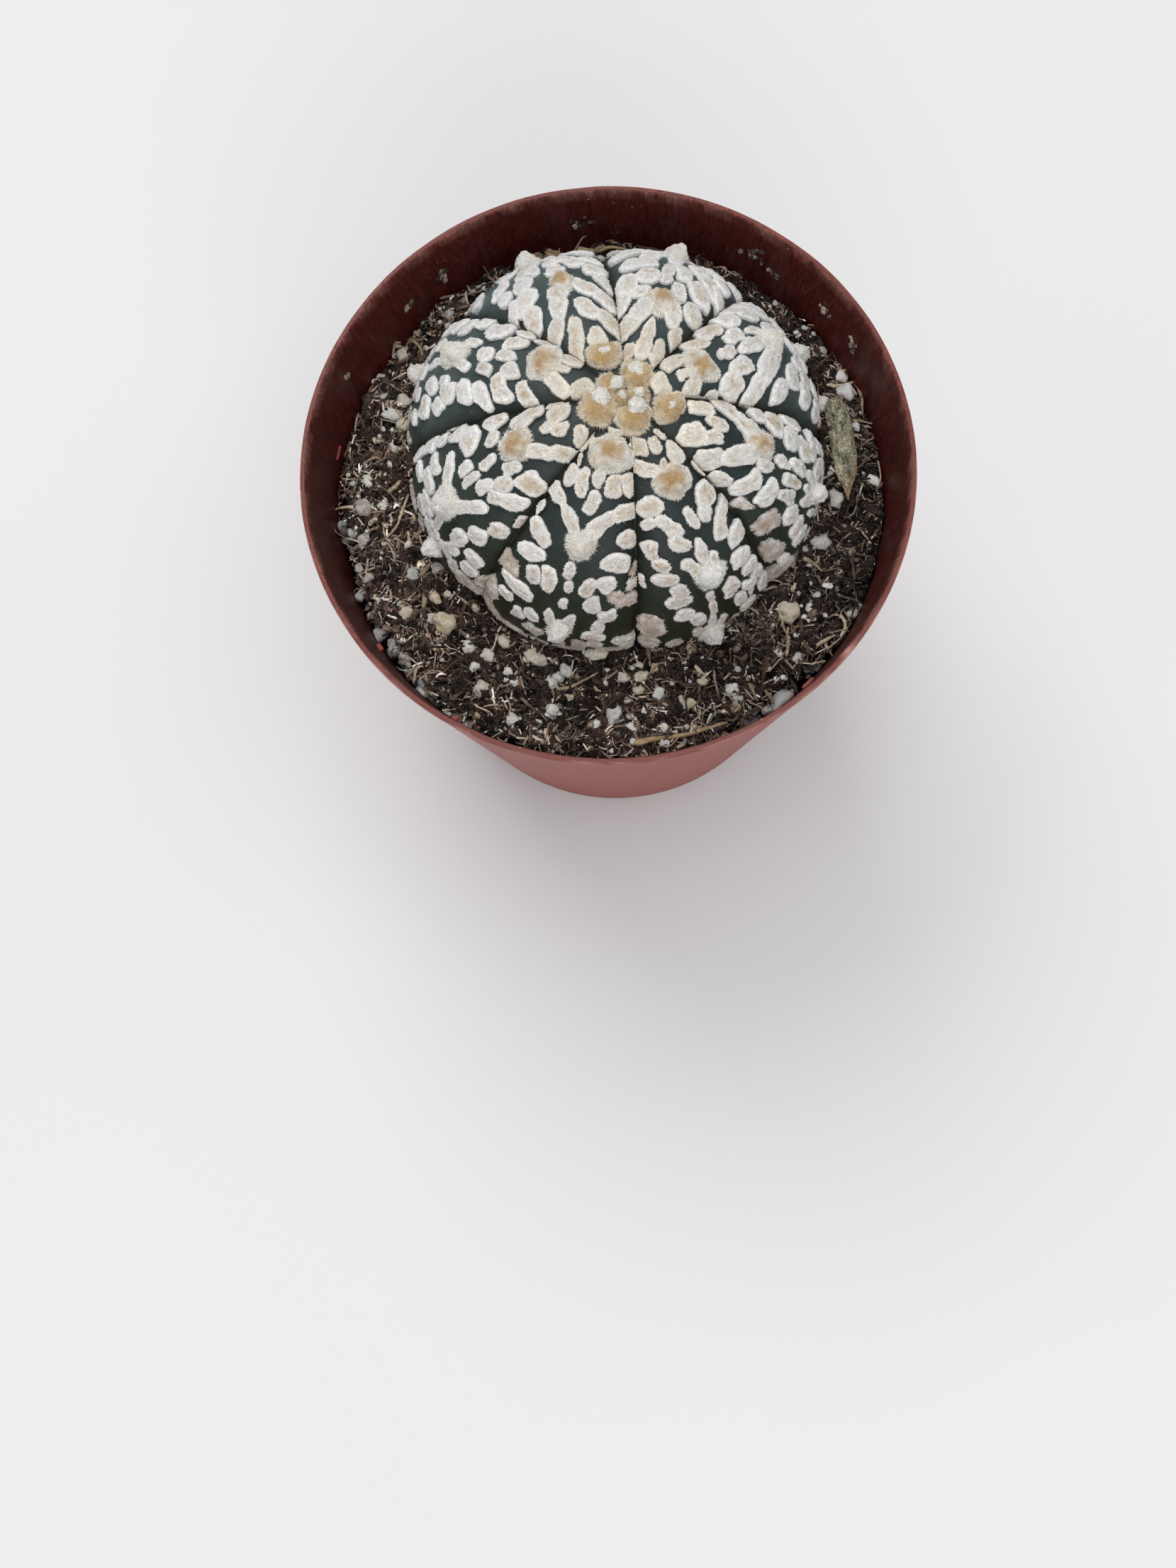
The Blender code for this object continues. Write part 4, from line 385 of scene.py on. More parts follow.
class Recipe:
    """Wires up one node material on a Principled shader."""

    def __init__(self, name: str) -> None:
        """Starts an empty material with its shader.

        Args:
            name: its name.
        """
        self.material = bpy.data.materials.new(name)
        self.material.use_nodes = True
        self.tree = self.material.node_tree
        self.shader = self.tree.nodes["Principled BSDF"]
        self.place = self.node("TexCoord", "Object", {})
        self.tint = self.node("Attribute", "Color", {}, attribute_name="tint")

    def node(self, kind: str, output: str | int, inputs: dict, **settings: object) -> Socket:
        """Adds a node, fills its inputs and gives one of its outputs.

        Args:
            kind: its type without the prefix.
            output: the output that is wanted.
            inputs: a value or an output for each input.
            **settings: its properties.

        Returns:
            That output.
        """
        made = self.tree.nodes.new(f"ShaderNode{kind}")
        for key, value in settings.items():
            setattr(made, key, value)
        self.fill(made, inputs)
        return made.outputs[output]

    def fill(self, node: bpy.types.Node, inputs: dict) -> None:
        """Links each input to an output, or sets its plain value.

        Args:
            node: the node.
            inputs: a value or an output for each input.
        """
        for key, value in inputs.items():
            socket = node.inputs[key]
            if isinstance(value, Socket):
                self.tree.links.new(value, socket)
            else:
                socket.default_value = (*value, 1.0) if socket.type == "RGBA" else value

    def stretched(self, scale: Triple) -> Socket:
        """Gives Object coordinates scaled along each axis."""
        return self.node("Mapping", "Vector", {"Vector": self.place, "Scale": scale})

    def noise(self, size_mm: float, detail: float = 3.0, rough: float = 0.55,
              source: Socket | None = None) -> Socket:
        """Gives noise with bumps of about a size, from 0 to 1."""
        inputs = {"Vector": source or self.place, "Scale": 1.0 / (size_mm * MM)}
        return self.node("TexNoise", "Fac", {**inputs, "Detail": detail, "Roughness": rough})

    def threads(self, size_mm: float, width: float) -> Socket:
        """Gives thin curled lines like matted fibres, 1 on a line and 0 off it."""
        off = self.combined("SUBTRACT", self.noise(size_mm, 1.5, 0.5), 0.5)
        return self.ranged(self.combined("ABSOLUTE", off, 0.5), 0.0, width, 1.0, 0.0)

    def combined(self, operation: str, first: Socket, second: Socket | float) -> Socket:
        """Works out one value from two."""
        return self.node("Math", "Value", {0: first, 1: second}, operation=operation)

    def spots(self, spacing_mm: float) -> Socket:
        """Gives the distance to the nearest of scattered points, in spacings."""
        return self.node("TexVoronoi", "Distance", {"Vector": self.place, "Scale": 1.0 / (spacing_mm * MM)})

    def ranged(self, value: Socket, low: float, high: float, start: float = 0.0, end: float = 1.0) -> Socket:
        """Maps a value from low..high to start..end, clamped."""
        spans = {"From Min": low, "From Max": high, "To Min": start, "To Max": end}
        return self.node("MapRange", "Result", {"Value": value, **spans})

    def blend(self, share: Socket, first: object, second: object) -> Socket:
        """Mixes two colours, each an output or a plain colour."""
        inputs = {MIX_SHARE: share, MIX_FIRST: first, MIX_SECOND: second}
        return self.node("Mix", MIX_RESULT, inputs, data_type="RGBA")

    def dabbed(self, colour: Socket, other: Triple, first: Socket, second: Socket) -> Socket:
        """Mixes another colour in where two values are both high."""
        return self.blend(self.combined("MULTIPLY", first, second), colour, other)

    def brightened(self, colour: Socket, value: Socket, low: float, high: float) -> Socket:
        """Makes a colour lighter and darker by a value from 0 to 1."""
        scale = self.ranged(value, 0.25, 0.75, low, high)
        return self.node("VectorMath", "Vector", {0: colour, "Scale": scale}, operation="SCALE")

    def bumped(self, height: Socket, depth_mm: float, strength: float) -> None:
        """Puts a height on the shader's normal."""
        inputs = {"Strength": strength, "Distance": depth_mm * MM, "Height": height}
        self.fill(self.shader, {"Normal": self.node("Bump", "Normal", inputs)})

    def finished(self, colour: Socket, roughness: float, specular: float = 0.5,
                 sheen: float = 0.0) -> Material:
        """Sets the colour and the plain values, and gives the material.

        Args:
            colour: base colour.
            roughness: from 0 to 1.
            specular: from 0 to 1.
            sheen: from 0 to 1.

        Returns:
            The material.
        """
        self.fill(self.shader, {"Base Color": colour, "Roughness": roughness})
        self.fill(self.shader, {"Specular IOR Level": specular, "Sheen Weight": sheen})
        return self.material


@dataclass(frozen=True)
class SkinFinish:
    """Living cactus skin: dull, slightly waxy, with tiny pale specks."""

    speck_spacing: float = 0.85
    speck: Triple = (0.42, 0.46, 0.42)
    roughness: float = 0.52

    def material(self) -> Material:
        """Makes the skin's material.

        Returns:
            The material.
        """
        recipe = Recipe("cactus skin")
        colour = recipe.brightened(recipe.tint, recipe.noise(2.6, 4.0), 0.78, 1.22)
        near = recipe.ranged(recipe.spots(self.speck_spacing), 0.04, 0.11, 0.6, 0.0)
        few = recipe.ranged(recipe.noise(1.3, 1.0), 0.5, 0.62)
        colour = recipe.dabbed(colour, self.speck, near, few)
        colour = recipe.brightened(colour, recipe.noise(0.28, 3.0, 0.7), 0.8, 1.25)
        recipe.bumped(recipe.noise(0.4, 4.0, 0.65), 0.07, 0.6)
        return recipe.finished(colour, self.roughness, 0.35)


@dataclass(frozen=True)
class WoolFinish:
    """Matted plant wool."""

    name: str = "plant wool"
    mottle_mm: float = 0.4
    spread: float = 0.2
    bump_mm: float = 0.15
    sheen: float = 0.3
    matted: float = 0.16
    gain: float = 1.2

    def material(self) -> Material:
        """Makes the wool's material.

        Returns:
            The material.
        """
        recipe = Recipe(self.name)
        colour = recipe.brightened(
            recipe.tint, recipe.noise(self.mottle_mm, 4.0, 0.65),
            self.gain * (1.0 - self.spread), self.gain * (1.0 + self.spread),
        )
        felt = recipe.combined("MAXIMUM", recipe.threads(0.6, 0.05), recipe.threads(0.34, 0.07))
        colour = recipe.brightened(colour, felt, 1.0 - self.matted, 1.0 + self.matted * 0.6)
        rough = recipe.combined("ADD", recipe.noise(0.16, 3.0, 0.7), felt)
        recipe.bumped(rough, self.bump_mm, 0.8)
        return recipe.finished(colour, 0.95, 0.12, self.sheen)


@dataclass(frozen=True)
class EarthFinish:
    """Peat, bark, husk or twig: dry matter with a fine uneven grain."""

    name: str
    grain_mm: float
    low: float = 0.7
    high: float = 1.35
    bump_mm: float = 0.12
    roughness: float = 0.9
    specular: float = 0.25

    def material(self) -> Material:
        """Makes the material.

        Returns:
            The material.
        """
        recipe = Recipe(self.name)
        noise = recipe.noise(self.grain_mm, 5.0, 0.65)
        colour = recipe.brightened(recipe.tint, noise, self.low, self.high)
        recipe.bumped(noise, self.bump_mm, 0.8)
        return recipe.finished(colour, self.roughness, self.specular)


@dataclass(frozen=True)
class PeatFinish:
    """Dried peat: dark crumbs with fine paler fibres matted into them, and painted shade where its bump is
    low.
    """

    name: str
    grain_mm: float = 0.5
    low: float = 0.06
    high: float = 2.7
    fibre: Triple = (0.235, 0.19, 0.155)
    matted: float = 0.75

    def material(self) -> Material:
        """Makes the material.

        Returns:
            The material.
        """
        recipe = Recipe(self.name)
        # One grain sets both colour and bump: partly real dark and pale crumbs, partly painted shade that
        # makes the hollows near black.
        grain = recipe.ranged(recipe.noise(self.grain_mm, 5.0, 0.75), 0.34, 0.66)
        colour = recipe.brightened(recipe.tint, grain, self.low, self.high)
        lines = recipe.combined("MAXIMUM", recipe.threads(1.1, 0.026), recipe.threads(0.6, 0.04))
        broken = recipe.ranged(recipe.noise(1.2, 3.0, 0.6), 0.42, 0.58, 0.0, self.matted)
        lines = recipe.combined("MULTIPLY", lines, broken)
        colour = recipe.blend(lines, colour, self.fibre)
        recipe.bumped(recipe.combined("ADD", grain, lines), 0.3, 0.9)
        return recipe.finished(colour, 0.92, 0.2)


@dataclass(frozen=True)
class GritFinish:
    """Puffed white grit with pits, pale crusts and dust in them."""

    pit: Triple = (0.13, 0.115, 0.095)
    crust: Triple = (0.56, 0.55, 0.52)

    def material(self) -> Material:
        """Makes the grit's material.

        Returns:
            The material.
        """
        recipe = Recipe("puffed grit")
        crust = recipe.ranged(recipe.noise(0.9, 4.0, 0.65), 0.44, 0.58, 0.0, 0.62)
        colour = recipe.blend(crust, recipe.tint, self.crust)
        dust = recipe.ranged(recipe.noise(0.5, 4.0, 0.75), 0.54, 0.7, 0.0, 0.75)
        colour = recipe.blend(dust, colour, self.pit)
        recipe.bumped(recipe.noise(0.45, 4.0, 0.7), 0.22, 0.9)
        return recipe.finished(colour, 0.85, 0.3)


@dataclass(frozen=True)
class PlasticFinish:
    """Worn moulded plastic: streaks down the wall, short scratches, dust and a soft gloss."""

    name: str
    streaks: float
    scratch: Triple = (0.33, 0.20, 0.17)
    haze: Triple = (0.19, 0.115, 0.115)
    dust: Triple = (0.45, 0.38, 0.34)
    roughness: float = 0.48

    def material(self) -> Material:
        """Makes the pot's material.

        Returns:
            The material.
        """
        recipe, deep = Recipe(self.name), self.streaks
        colour = recipe.brightened(recipe.tint, recipe.noise(9.0, 4.0), 0.9, 1.1)
        down = recipe.stretched((1.0, 1.0, 0.06))
        broad = recipe.noise(0.9, 3.0, 0.65, down)
        colour = recipe.brightened(colour, broad, 1.0 - 0.3 * deep, 1.0 + 0.34 * deep)
        fine = recipe.noise(0.5, 2.0, 0.6, recipe.stretched((1.0, 1.0, 0.03)))
        fine = recipe.ranged(fine, 0.4, 0.62)
        colour = recipe.brightened(colour, fine, 1.0 - 0.22 * deep, 1.0 + 0.3 * deep)
        hazy = recipe.ranged(recipe.noise(7.0, 5.0, 0.7, down), 0.55, 0.75, 0.0, 0.25 * deep)
        colour = recipe.blend(hazy, colour, self.haze)
        short = recipe.stretched((1.0, 1.0, 0.22))
        marks = recipe.ranged(recipe.noise(0.4, 2.0, 0.6, short), 0.64, 0.74, 0.0, 0.5)
        patch = recipe.ranged(recipe.noise(5.0, 3.0), 0.45, 0.65)
        colour = recipe.dabbed(colour, self.scratch, marks, patch)
        specks = recipe.ranged(recipe.spots(2.1), 0.04, 0.09, 0.8, 0.0)
        some = recipe.ranged(recipe.noise(14.0, 2.0), 0.5, 0.62)
        colour = recipe.dabbed(colour, self.dust, specks, some)
        recipe.bumped(recipe.noise(1.4, 4.0, 0.65, down), 0.05, 0.7)
        return recipe.finished(colour, self.roughness, 0.35)


# Modelling by hand, and copies


class Workpiece:
    """One object shaped with edit-mode operators."""

    def __init__(self, primitive: str, **sizes: object) -> None:
        """Adds a primitive and opens it in edit mode.

        Args:
            primitive: the kind of primitive.
            **sizes: its sizes.
        """
        bpy.ops.object.select_all(action="DESELECT")
        getattr(bpy.ops.mesh, f"primitive_{primitive}_add")(**sizes)
        self.shape = bpy.context.object
        bpy.ops.object.mode_set(mode="EDIT")
        bpy.ops.mesh.select_all(action="SELECT")

    def extruded(self, rise: float, scale: float = 1.0, shift: tuple[float, float] = (0.0, 0.0)) -> None:
        """Extrudes what is selected upwards, then scales it."""
        bpy.ops.mesh.extrude_region_move(TRANSFORM_OT_translate={"value": (*shift, rise)})
        bpy.ops.transform.resize(value=(scale, scale, 1.0))

    def cut_below(self, height: float) -> None:
        """Cuts off what is below a height and closes the cut."""
        bpy.ops.mesh.bisect(plane_co=(0, 0, height), plane_no=(0, 0, 1), use_fill=True, clear_inner=True)

    def done(self, name: str = "") -> Piece:
        """Turns the faces outwards, leaves edit mode and names what was made.

        Args:
            name: the object's name, where it has one.

        Returns:
            The object.
        """
        bpy.ops.mesh.select_all(action="SELECT")
        bpy.ops.mesh.normals_make_consistent(inside=False)
        bpy.ops.object.mode_set(mode="OBJECT")
        if name:
            self.shape.name = self.shape.data.name = name
        return self.shape


@dataclass(frozen=True)
class Stamp:
    """A small modelled shape that is copied many times."""

    points: Array
    faces: Array

    @classmethod
    def taken_from(cls, shape: Piece) -> "Stamp":
        """Reads a modelled object as triangles and removes it.

        Args:
            shape: the modelled object.

        Returns:
            The stamp.
        """
        mesh = shape.data
        mesh.transform(shape.matrix_world)
        points = np.empty(len(mesh.vertices) * 3)
        mesh.vertices.foreach_get("co", points)
        mesh.calc_loop_triangles()
        faces = np.empty(len(mesh.loop_triangles) * 3, np.int32)
        mesh.loop_triangles.foreach_get("vertices", faces)
        bpy.data.objects.remove(shape)
        return cls(points.reshape(-1, 3), faces.reshape(-1, 3))

    def roughened(self, seed: int, size: float, amount: float, layers: int) -> "Stamp":
        """Gives a copy with its points pushed in and out along their own direction."""
        push = Relief(seed).layered(self.points * 10.0 + 40.0 * seed, size * 10.0, layers, 0.6)
        return Stamp(self.points * (1.0 + amount * push)[:, None], self.faces)

    @classmethod
    def pebbles(cls, fineness: int, seeds: range, size: float, amount: float,
                layers: int = 2) -> list["Stamp"]:
        """Models one uneven pebble for each seed."""
        ball = cls.taken_from(Workpiece("ico_sphere", subdivisions=fineness, radius=1.0).done())
        return [ball.roughened(seed, size, amount, layers) for seed in seeds]

    def placed(self, origin: Array, across: Array, beside: Array, along: Array) -> Array:
        """Places copies by their own axes."""
        x, y, z = (self.points[:, k, None] for k in range(3))
        return origin[:, None] + x * across[:, None] + y * beside[:, None] + z * along[:, None]


def frames(direction: Array, spin: Array) -> tuple[Array, Array]:
    """Gives two directions square to each given one.

    Args:
        direction: unit vectors.
        spin: turn of the pair about each, in radians.

    Returns:
        The two directions, so that first, second and the given one are right-handed.
    """
    helper = np.where(np.abs(direction[:, 2:]) < 0.9, UP, np.array([1.0, 0.0, 0.0]))
    first = unit(np.cross(helper, direction))
    second = np.cross(direction, first)
    cos, sin = np.cos(spin)[:, None], np.sin(spin)[:, None]
    return first * cos + second * sin, second * cos - first * sin


class Heap:
    """Gathers the points, faces and tints of many small shapes into one mesh."""

    def __init__(self) -> None:
        """Starts empty."""
        self.points: list[Array] = []
        self.faces: list[Array] = []
        self.tints: list[Array] = []
        self.count = 0

    def add(self, points: Array, faces: Array, tints: Array) -> None:
        """Adds one shape.

        Args:
            points: rows of X, Y and Z.
            faces: rows of three point numbers.
            tints: one colour, or one for each point.
        """
        self.points.append(points)
        self.faces.append(faces + self.count)
        self.tints.append(np.broadcast_to(tints, points.shape))
        self.count += len(points)

    def add_copies(self, stamp: Stamp, axes: tuple, tints: Array) -> None:
        """Adds copies of a stamp.

        Args:
            stamp: the shape.
            axes: origin, two cross axes and long axis of each copy.
            tints: a row for each copy, or one for each of its points.
        """
        blocks = stamp.placed(*axes)
        copies, size = blocks.shape[:2]
        if not copies:
            return
        faces = stamp.faces[None] + (np.arange(copies) * size)[:, None, None]
        tints = np.asarray(tints, float)
        if tints.ndim == 2:
            tints = np.repeat(tints[:, None], size, axis=1)
        self.add(blocks.reshape(-1, 3), faces.reshape(-1, 3), tints.reshape(-1, 3))

    def add_mixed(self, stamps: list[Stamp], axes: tuple, tints: Array, rng: Chance) -> None:
        """Adds for each row of the axes a copy of a stamp that is picked by chance.

        Args:
            stamps: shapes to pick from.
            axes: origin, two cross axes and long axis of each copy.
            tints: a row for each copy.
            rng: the source of chance.
        """
        which = rng.integers(0, len(stamps), len(tints))
        for number, stamp in enumerate(stamps):
            mine = which == number
            self.add_copies(stamp, tuple(rows[mine] for rows in axes), tints[mine])

    def piece(self, name: str, finish: Material, rounded: bool = True) -> Piece:
        """Makes the mesh object.

        Args:
            name: the piece's name.
            finish: its material.
            rounded: smooth shading.

        Returns:
            The object, linked to the scene.
        """
        points, faces = np.concatenate(self.points), np.concatenate(self.faces)
        mesh = bpy.data.meshes.new(name)
        mesh.vertices.add(len(points))
        mesh.loops.add(faces.size)
        mesh.polygons.add(len(faces))
        mesh.vertices.foreach_set("co", (points * MM).ravel())
        mesh.loops.foreach_set("vertex_index", faces.ravel().astype(np.int32))
        mesh.polygons.foreach_set("loop_start", np.arange(0, faces.size, 3, dtype=np.int32))
        mesh.update(calc_edges=True)
        made = added(name, mesh)
        paint(made, np.concatenate(self.tints), finish, rounded)
        return made


def paint(piece: Piece, tints: Array, finish: Material, rounded: bool = True) -> None:
    """Gives a piece its tint at each point, its material and its shading.

    Args:
        piece: the mesh object.
        tints: a colour for each point.
        finish: its material.
        rounded: smooth shading.
    """
    mesh = piece.data
    values = np.ones((len(mesh.vertices), 4))
    values[:, :3] = np.clip(tints, 0.0, 1.0)
    mesh.color_attributes.new("tint", "FLOAT_COLOR", "POINT").data.foreach_set("color", values.ravel())
    mesh.polygons.foreach_set("use_smooth", np.full(len(mesh.polygons), rounded))
    mesh.materials.clear()
    mesh.materials.append(finish)


def points_of(piece: Piece) -> Array:
    """Reads a piece's points as they stand in its mesh."""
    return np.array([vertex.co for vertex in piece.data.vertices])


def reshape(piece: Piece, points: Array) -> None:
    """Moves a piece's points to places given in millimetres."""
    piece.data.vertices.foreach_set("co", (points * MM).ravel())
    piece.data.update()


def added(name: str, data: bpy.types.ID) -> Piece:
    """Adds an object to the scene.

    Args:
        name: its name.
        data: its mesh, camera or light.

    Returns:
        The object.
    """
    made = bpy.data.objects.new(name, data)
    bpy.context.scene.collection.objects.link(made)
    return made


def choose(piece: Piece) -> None:
    """Makes a piece the only one that is selected, and the active one.

    Args:
        piece: the mesh object.
    """
    bpy.ops.object.select_all(action="DESELECT")
    piece.select_set(True)
    bpy.context.view_layer.objects.active = piece


def fitted(piece: Piece, slot: str, *replaced: str) -> None:
    """Fixes a piece to the object and reports it.

    Args:
        piece: the finished object.
        slot: not used.
        replaced: CAD nodes that it stands for.
    """
    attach(piece, ROOT)
    if replaced:
        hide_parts(*replaced)
    LOG.info("%s: %d faces", piece.name, len(piece.data.polygons))


# The plant


@dataclass
class Skin:
    """The furrowed skin of the cactus, addressed by azimuth and by angle from the crown."""

    centre: Array = field(default_factory=lambda: np.array([1.15, 6.2, 78.0]))
    radius: float = 35.2
    rise: float = 25.9
    lean: Triple = (0.091, -0.028, 1.0)
    furrow_depth: float = 2.6
    furrow_reach: float = 1.9
    furrow_full_at: float = 22.0
    furrow_end: float = 2.55
    drifting_deg: float = 3.0
    crown_drift_deg: float = -6.5
    drift_reach: float = 0.3

    def __post_init__(self) -> None:
        """Works out the body's own axes and the arc from the crown."""
        up = unit(np.array(self.lean))
        right = unit(np.array([1.0, 0.0, 0.0]) - up * up[0])
        self.turn = np.column_stack([right, np.cross(up, right), up])
        self.angle = np.linspace(0.0, math.pi, 1801)
        step = np.hypot(self.radius * np.cos(self.angle), self.rise * np.sin(self.angle))
        arc = np.cumsum((step[1:] + step[:-1]) / 2 * np.diff(self.angle))
        self.arc = np.concatenate([[0.0], arc])

    def polar(self, along: Array) -> Array:
        """Gives the angle from the crown for a distance along the skin."""
        return np.interp(along, self.arc, self.angle)

    def across_furrows(self, azimuth: Array, polar: Array) -> Array:
        """Gives the distance to the nearest furrow, in millimetres over the skin.

        Args:
            azimuth: direction seen from above, in radians.
            polar: angle from the crown, in radians.

        Returns:
            The distances.
        """
        azimuth, polar = np.broadcast_arrays(azimuth, polar)
        furrows = np.radians(FURROWS_DEG) + np.zeros(polar.shape + (len(FURROWS_DEG),))
        drift = math.radians(self.crown_drift_deg) * (1.0 - smooth(polar / self.drift_reach))
        furrows[..., FURROWS_DEG.index(self.drifting_deg)] += drift
        nearest = np.abs(wrapped(azimuth[..., None] - furrows)).min(axis=-1)
        return nearest * self.radius * np.sin(polar)

    def furrow(self, azimuth: Array, polar: Array) -> Array:
        """Gives how far the furrows draw the skin in.

        Args:
            azimuth: direction seen from above, in radians.
            polar: angle from the crown, in radians.

        Returns:
            The depths.
        """
        radius = self.radius * np.sin(polar)
        depth = self.furrow_depth * np.minimum(1.0, radius / self.furrow_full_at)
        depth = depth * smooth((self.furrow_end - polar) / 0.6)
        return depth * np.exp(-self.across_furrows(azimuth, polar) / self.furrow_reach)

    def normal(self, azimuth: Array, polar: Array) -> Array:
        """Gives the outward direction of the skin without furrows."""
        rows = ringed(np.sin(polar) / self.radius, azimuth, np.cos(polar) / self.rise)
        return unit(rows) @ self.turn.T

    def point(self, azimuth: Array, polar: Array, lift: Array) -> Array:
        """Gives points lifted from the skin without furrows."""
        rows = ringed(self.radius * np.sin(polar), azimuth, self.rise * np.cos(polar)) @ self.turn.T
        return rows + self.centre + self.normal(azimuth, polar) * np.asarray(lift, float)[..., None]

    def on_rib(self, rib: str, across: Array, along: Array,
               keep_off: float | None = None) -> tuple[Array, Array]:
        """Turns a place on a rib into azimuth and angle from the crown.

        Args:
            rib: the rib's letter.
            across: distance from the ridge.
            along: distance from the crown.
            keep_off: where given, the place stays this far inside the rib's two furrows.

        Returns:
            Azimuth and angle from the crown, in radians.
        """
        polar = self.polar(np.maximum(along, 0.0))
        ring = np.maximum(self.radius * np.sin(polar), 0.6)
        offset = across / ring
        if keep_off is not None:
            sides = wrapped(np.radians(FURROWS_DEG) - math.radians(RIB_DEG[rib]))
            low, high = sides[sides < 0].max(), sides[sides > 0].min()
            offset = np.clip(offset, low + keep_off / ring, high - keep_off / ring)
        return math.radians(RIB_DEG[rib]) + offset, polar

    def near_crown(self, x: float, y: float) -> tuple[float, float]:
        """Turns X and Y from the crown into azimuth and angle from the crown."""
        return math.atan2(y, x), float(self.polar(math.hypot(x, y)))


@dataclass
class Body:
    """The bare ribbed body."""

    skin: Skin
    finish: Material
    columns_per_rib: int = 30
    rings: int = 106
    upper_share: float = 0.82
    upper_end: float = 1.85
    bloom: Array = shade("#1f2929")
    olive: Array = shade("#252a1b")
    # Pale bluish grey for the far side: partly real dust, partly a painted sheen.
    dusty: Array = shade("#5c6c6d")
    side: Array = shade("#444f47")
    seam: Array = shade("#241d12")

    def build(self) -> None:
        """Shapes a ball into the ribbed body and paints it."""
        columns = self.columns_per_rib * len(FURROWS_DEG)
        ball = Workpiece("uv_sphere", segments=columns, ring_count=self.rings, radius=1.0).done("cactus_body")
        start = points_of(ball)
        polar = self.crowded(np.arccos(np.clip(start[:, 2], -1.0, 1.0)))
        share = (around(start)[1] / math.tau * columns) % columns
        azimuth = self.azimuth(share)
        sunk = self.skin.furrow(azimuth, polar)
        points = self.skin.point(azimuth, polar, -sunk)
        swell = Relief(11).layered(points, 9.0, 3) * 0.16
        points = self.skin.point(azimuth, polar, swell - sunk)
        reshape(ball, points)
        paint(ball, self.tint(points, azimuth, polar), self.finish)
        fitted(ball, "cactus_flesh", "cactus")

    def crowded(self, polar: Array) -> Array:
        """Moves most rings to the part above the soil.

        Args:
            polar: angle from the crown, in radians.

        Returns:
            The new angles.
        """
        share, most, end = polar / math.pi, self.upper_share, self.upper_end
        lower = end + (share - most) / 0.18 * (math.pi - end)
        return np.where(share < most, share / most * end, lower)

    def azimuth(self, share: Array) -> Array:
        """Gives each column's azimuth; columns crowd towards the furrows.

        Args:
            share: the column's number.

        Returns:
            The azimuths, in radians.
        """
        rib, within = np.divmod(share, self.columns_per_rib)
        rib = rib.astype(int) % len(FURROWS_DEG)
        start = np.array(FURROWS_DEG)[rib]
        width = (np.array(FURROWS_DEG)[(rib + 1) % len(FURROWS_DEG)] - start) % 360.0
        part = within / self.columns_per_rib
        return np.radians(start + width * (part - 0.1 * np.sin(math.tau * part)))

    def tint(self, points: Array, azimuth: Array, polar: Array) -> Array:
        """Colours the skin: bluish at the crown, olive low in front, grey at the sides, and paler behind with
        dust and painted sheen.

        Args:
            points: rows of X, Y and Z.
            azimuth: direction seen from above, in radians.
            polar: angle from the crown, in radians.

        Returns:
            A colour for each point.
        """
        low = smooth((polar - 0.55) / 0.8)
        front = smooth((8.0 - points[:, 1]) / 30.0)
        colour = mix(self.bloom, self.olive, low * (0.35 + 0.65 * front))
        behind = smooth((points[:, 1] + 4.0) / 26.0)
        # The far side is mixed towards the dusty colour: partly real dust, partly a painted sheen.
        colour = mix(colour, self.dusty, np.maximum(low, 0.3) * behind * 0.8)
        colour = mix(colour, self.side, low * (1.0 - front) * (1.0 - behind) * 0.7)
        near = self.skin.across_furrows(azimuth, polar)
        colour = mix(colour, self.olive * 0.75, smooth((2.6 - near) / 2.6) * 0.6)
        colour = mix(colour, self.seam, smooth((0.45 - near) / 0.3) * 0.8)
        return colour * (1.0 + 0.16 * Relief(12).layered(points, 6.0, 3))[:, None]


@dataclass(frozen=True)
class Fleck:
    """One felted fleck: its place and size on a rib, and the turn of its long side."""

    rib: str
    across: float
    along: float
    length: float
    width: float
    turn: float = 0.0

    @property
    def way(self) -> tuple[float, float]:
        """Gives the cosine and the sine of its turn."""
        return math.cos(math.radians(self.turn)), math.sin(math.radians(self.turn))

    @property
    def stained(self) -> bool:
        """Tells whether its middle is tan."""
        return (self.rib, round(self.along)) in TAN_FLECKS

    @property
    def torn(self) -> float:
        """Gives how ragged it is: most at the soil, and where it is stained by a furrow."""
        by_furrow = self.stained and abs(self.across) > FURROW_SIDE
        return max(float(smooth((self.along - TORN_FROM) / 5.0)), 0.95 if by_furrow else 0.0)

    @property
    def small(self) -> float:
        """Gives how much lower it stands for its size."""
        return min(1.0, self.width / 2.2) ** 0.6

    @property
    def thin(self) -> float:
        """Gives how much lower it stands far from the crown."""
        return 1.0 - 0.3 * float(smooth((self.along - 24.0) / 16.0))

    def on_rib(self, side: Array, ahead: Array) -> tuple[Array, Array]:
        """Turns places in its own plane into places on the rib."""
        cos, sin = self.way
        return self.across + side * cos + ahead * sin, self.along - side * sin + ahead * cos

    def rim(self, gap: float) -> Array:
        """Gives places on the rib round its edge, a gap away.

        Args:
            gap: distance that is kept.

        Returns:
            Rows of across and along.
        """
        theta = np.linspace(0.0, math.tau, 20, endpoint=False)
        side, ahead = np.cos(theta) * (self.width / 2 + gap), np.sin(theta) * (self.length / 2 + gap)
        return np.stack(self.on_rib(side, ahead), 1)

    def covers(self, places: Array) -> int:
        """Counts the places on the rib that it covers.

        Args:
            places: rows of across and along.

        Returns:
            How many.
        """
        x, y = places[:, 0] - self.across, places[:, 1] - self.along
        cos, sin = self.way
        side, ahead = x * cos - y * sin, x * sin + y * cos
        return int(np.sum(np.hypot(side / self.width, ahead / self.length) < 0.53))


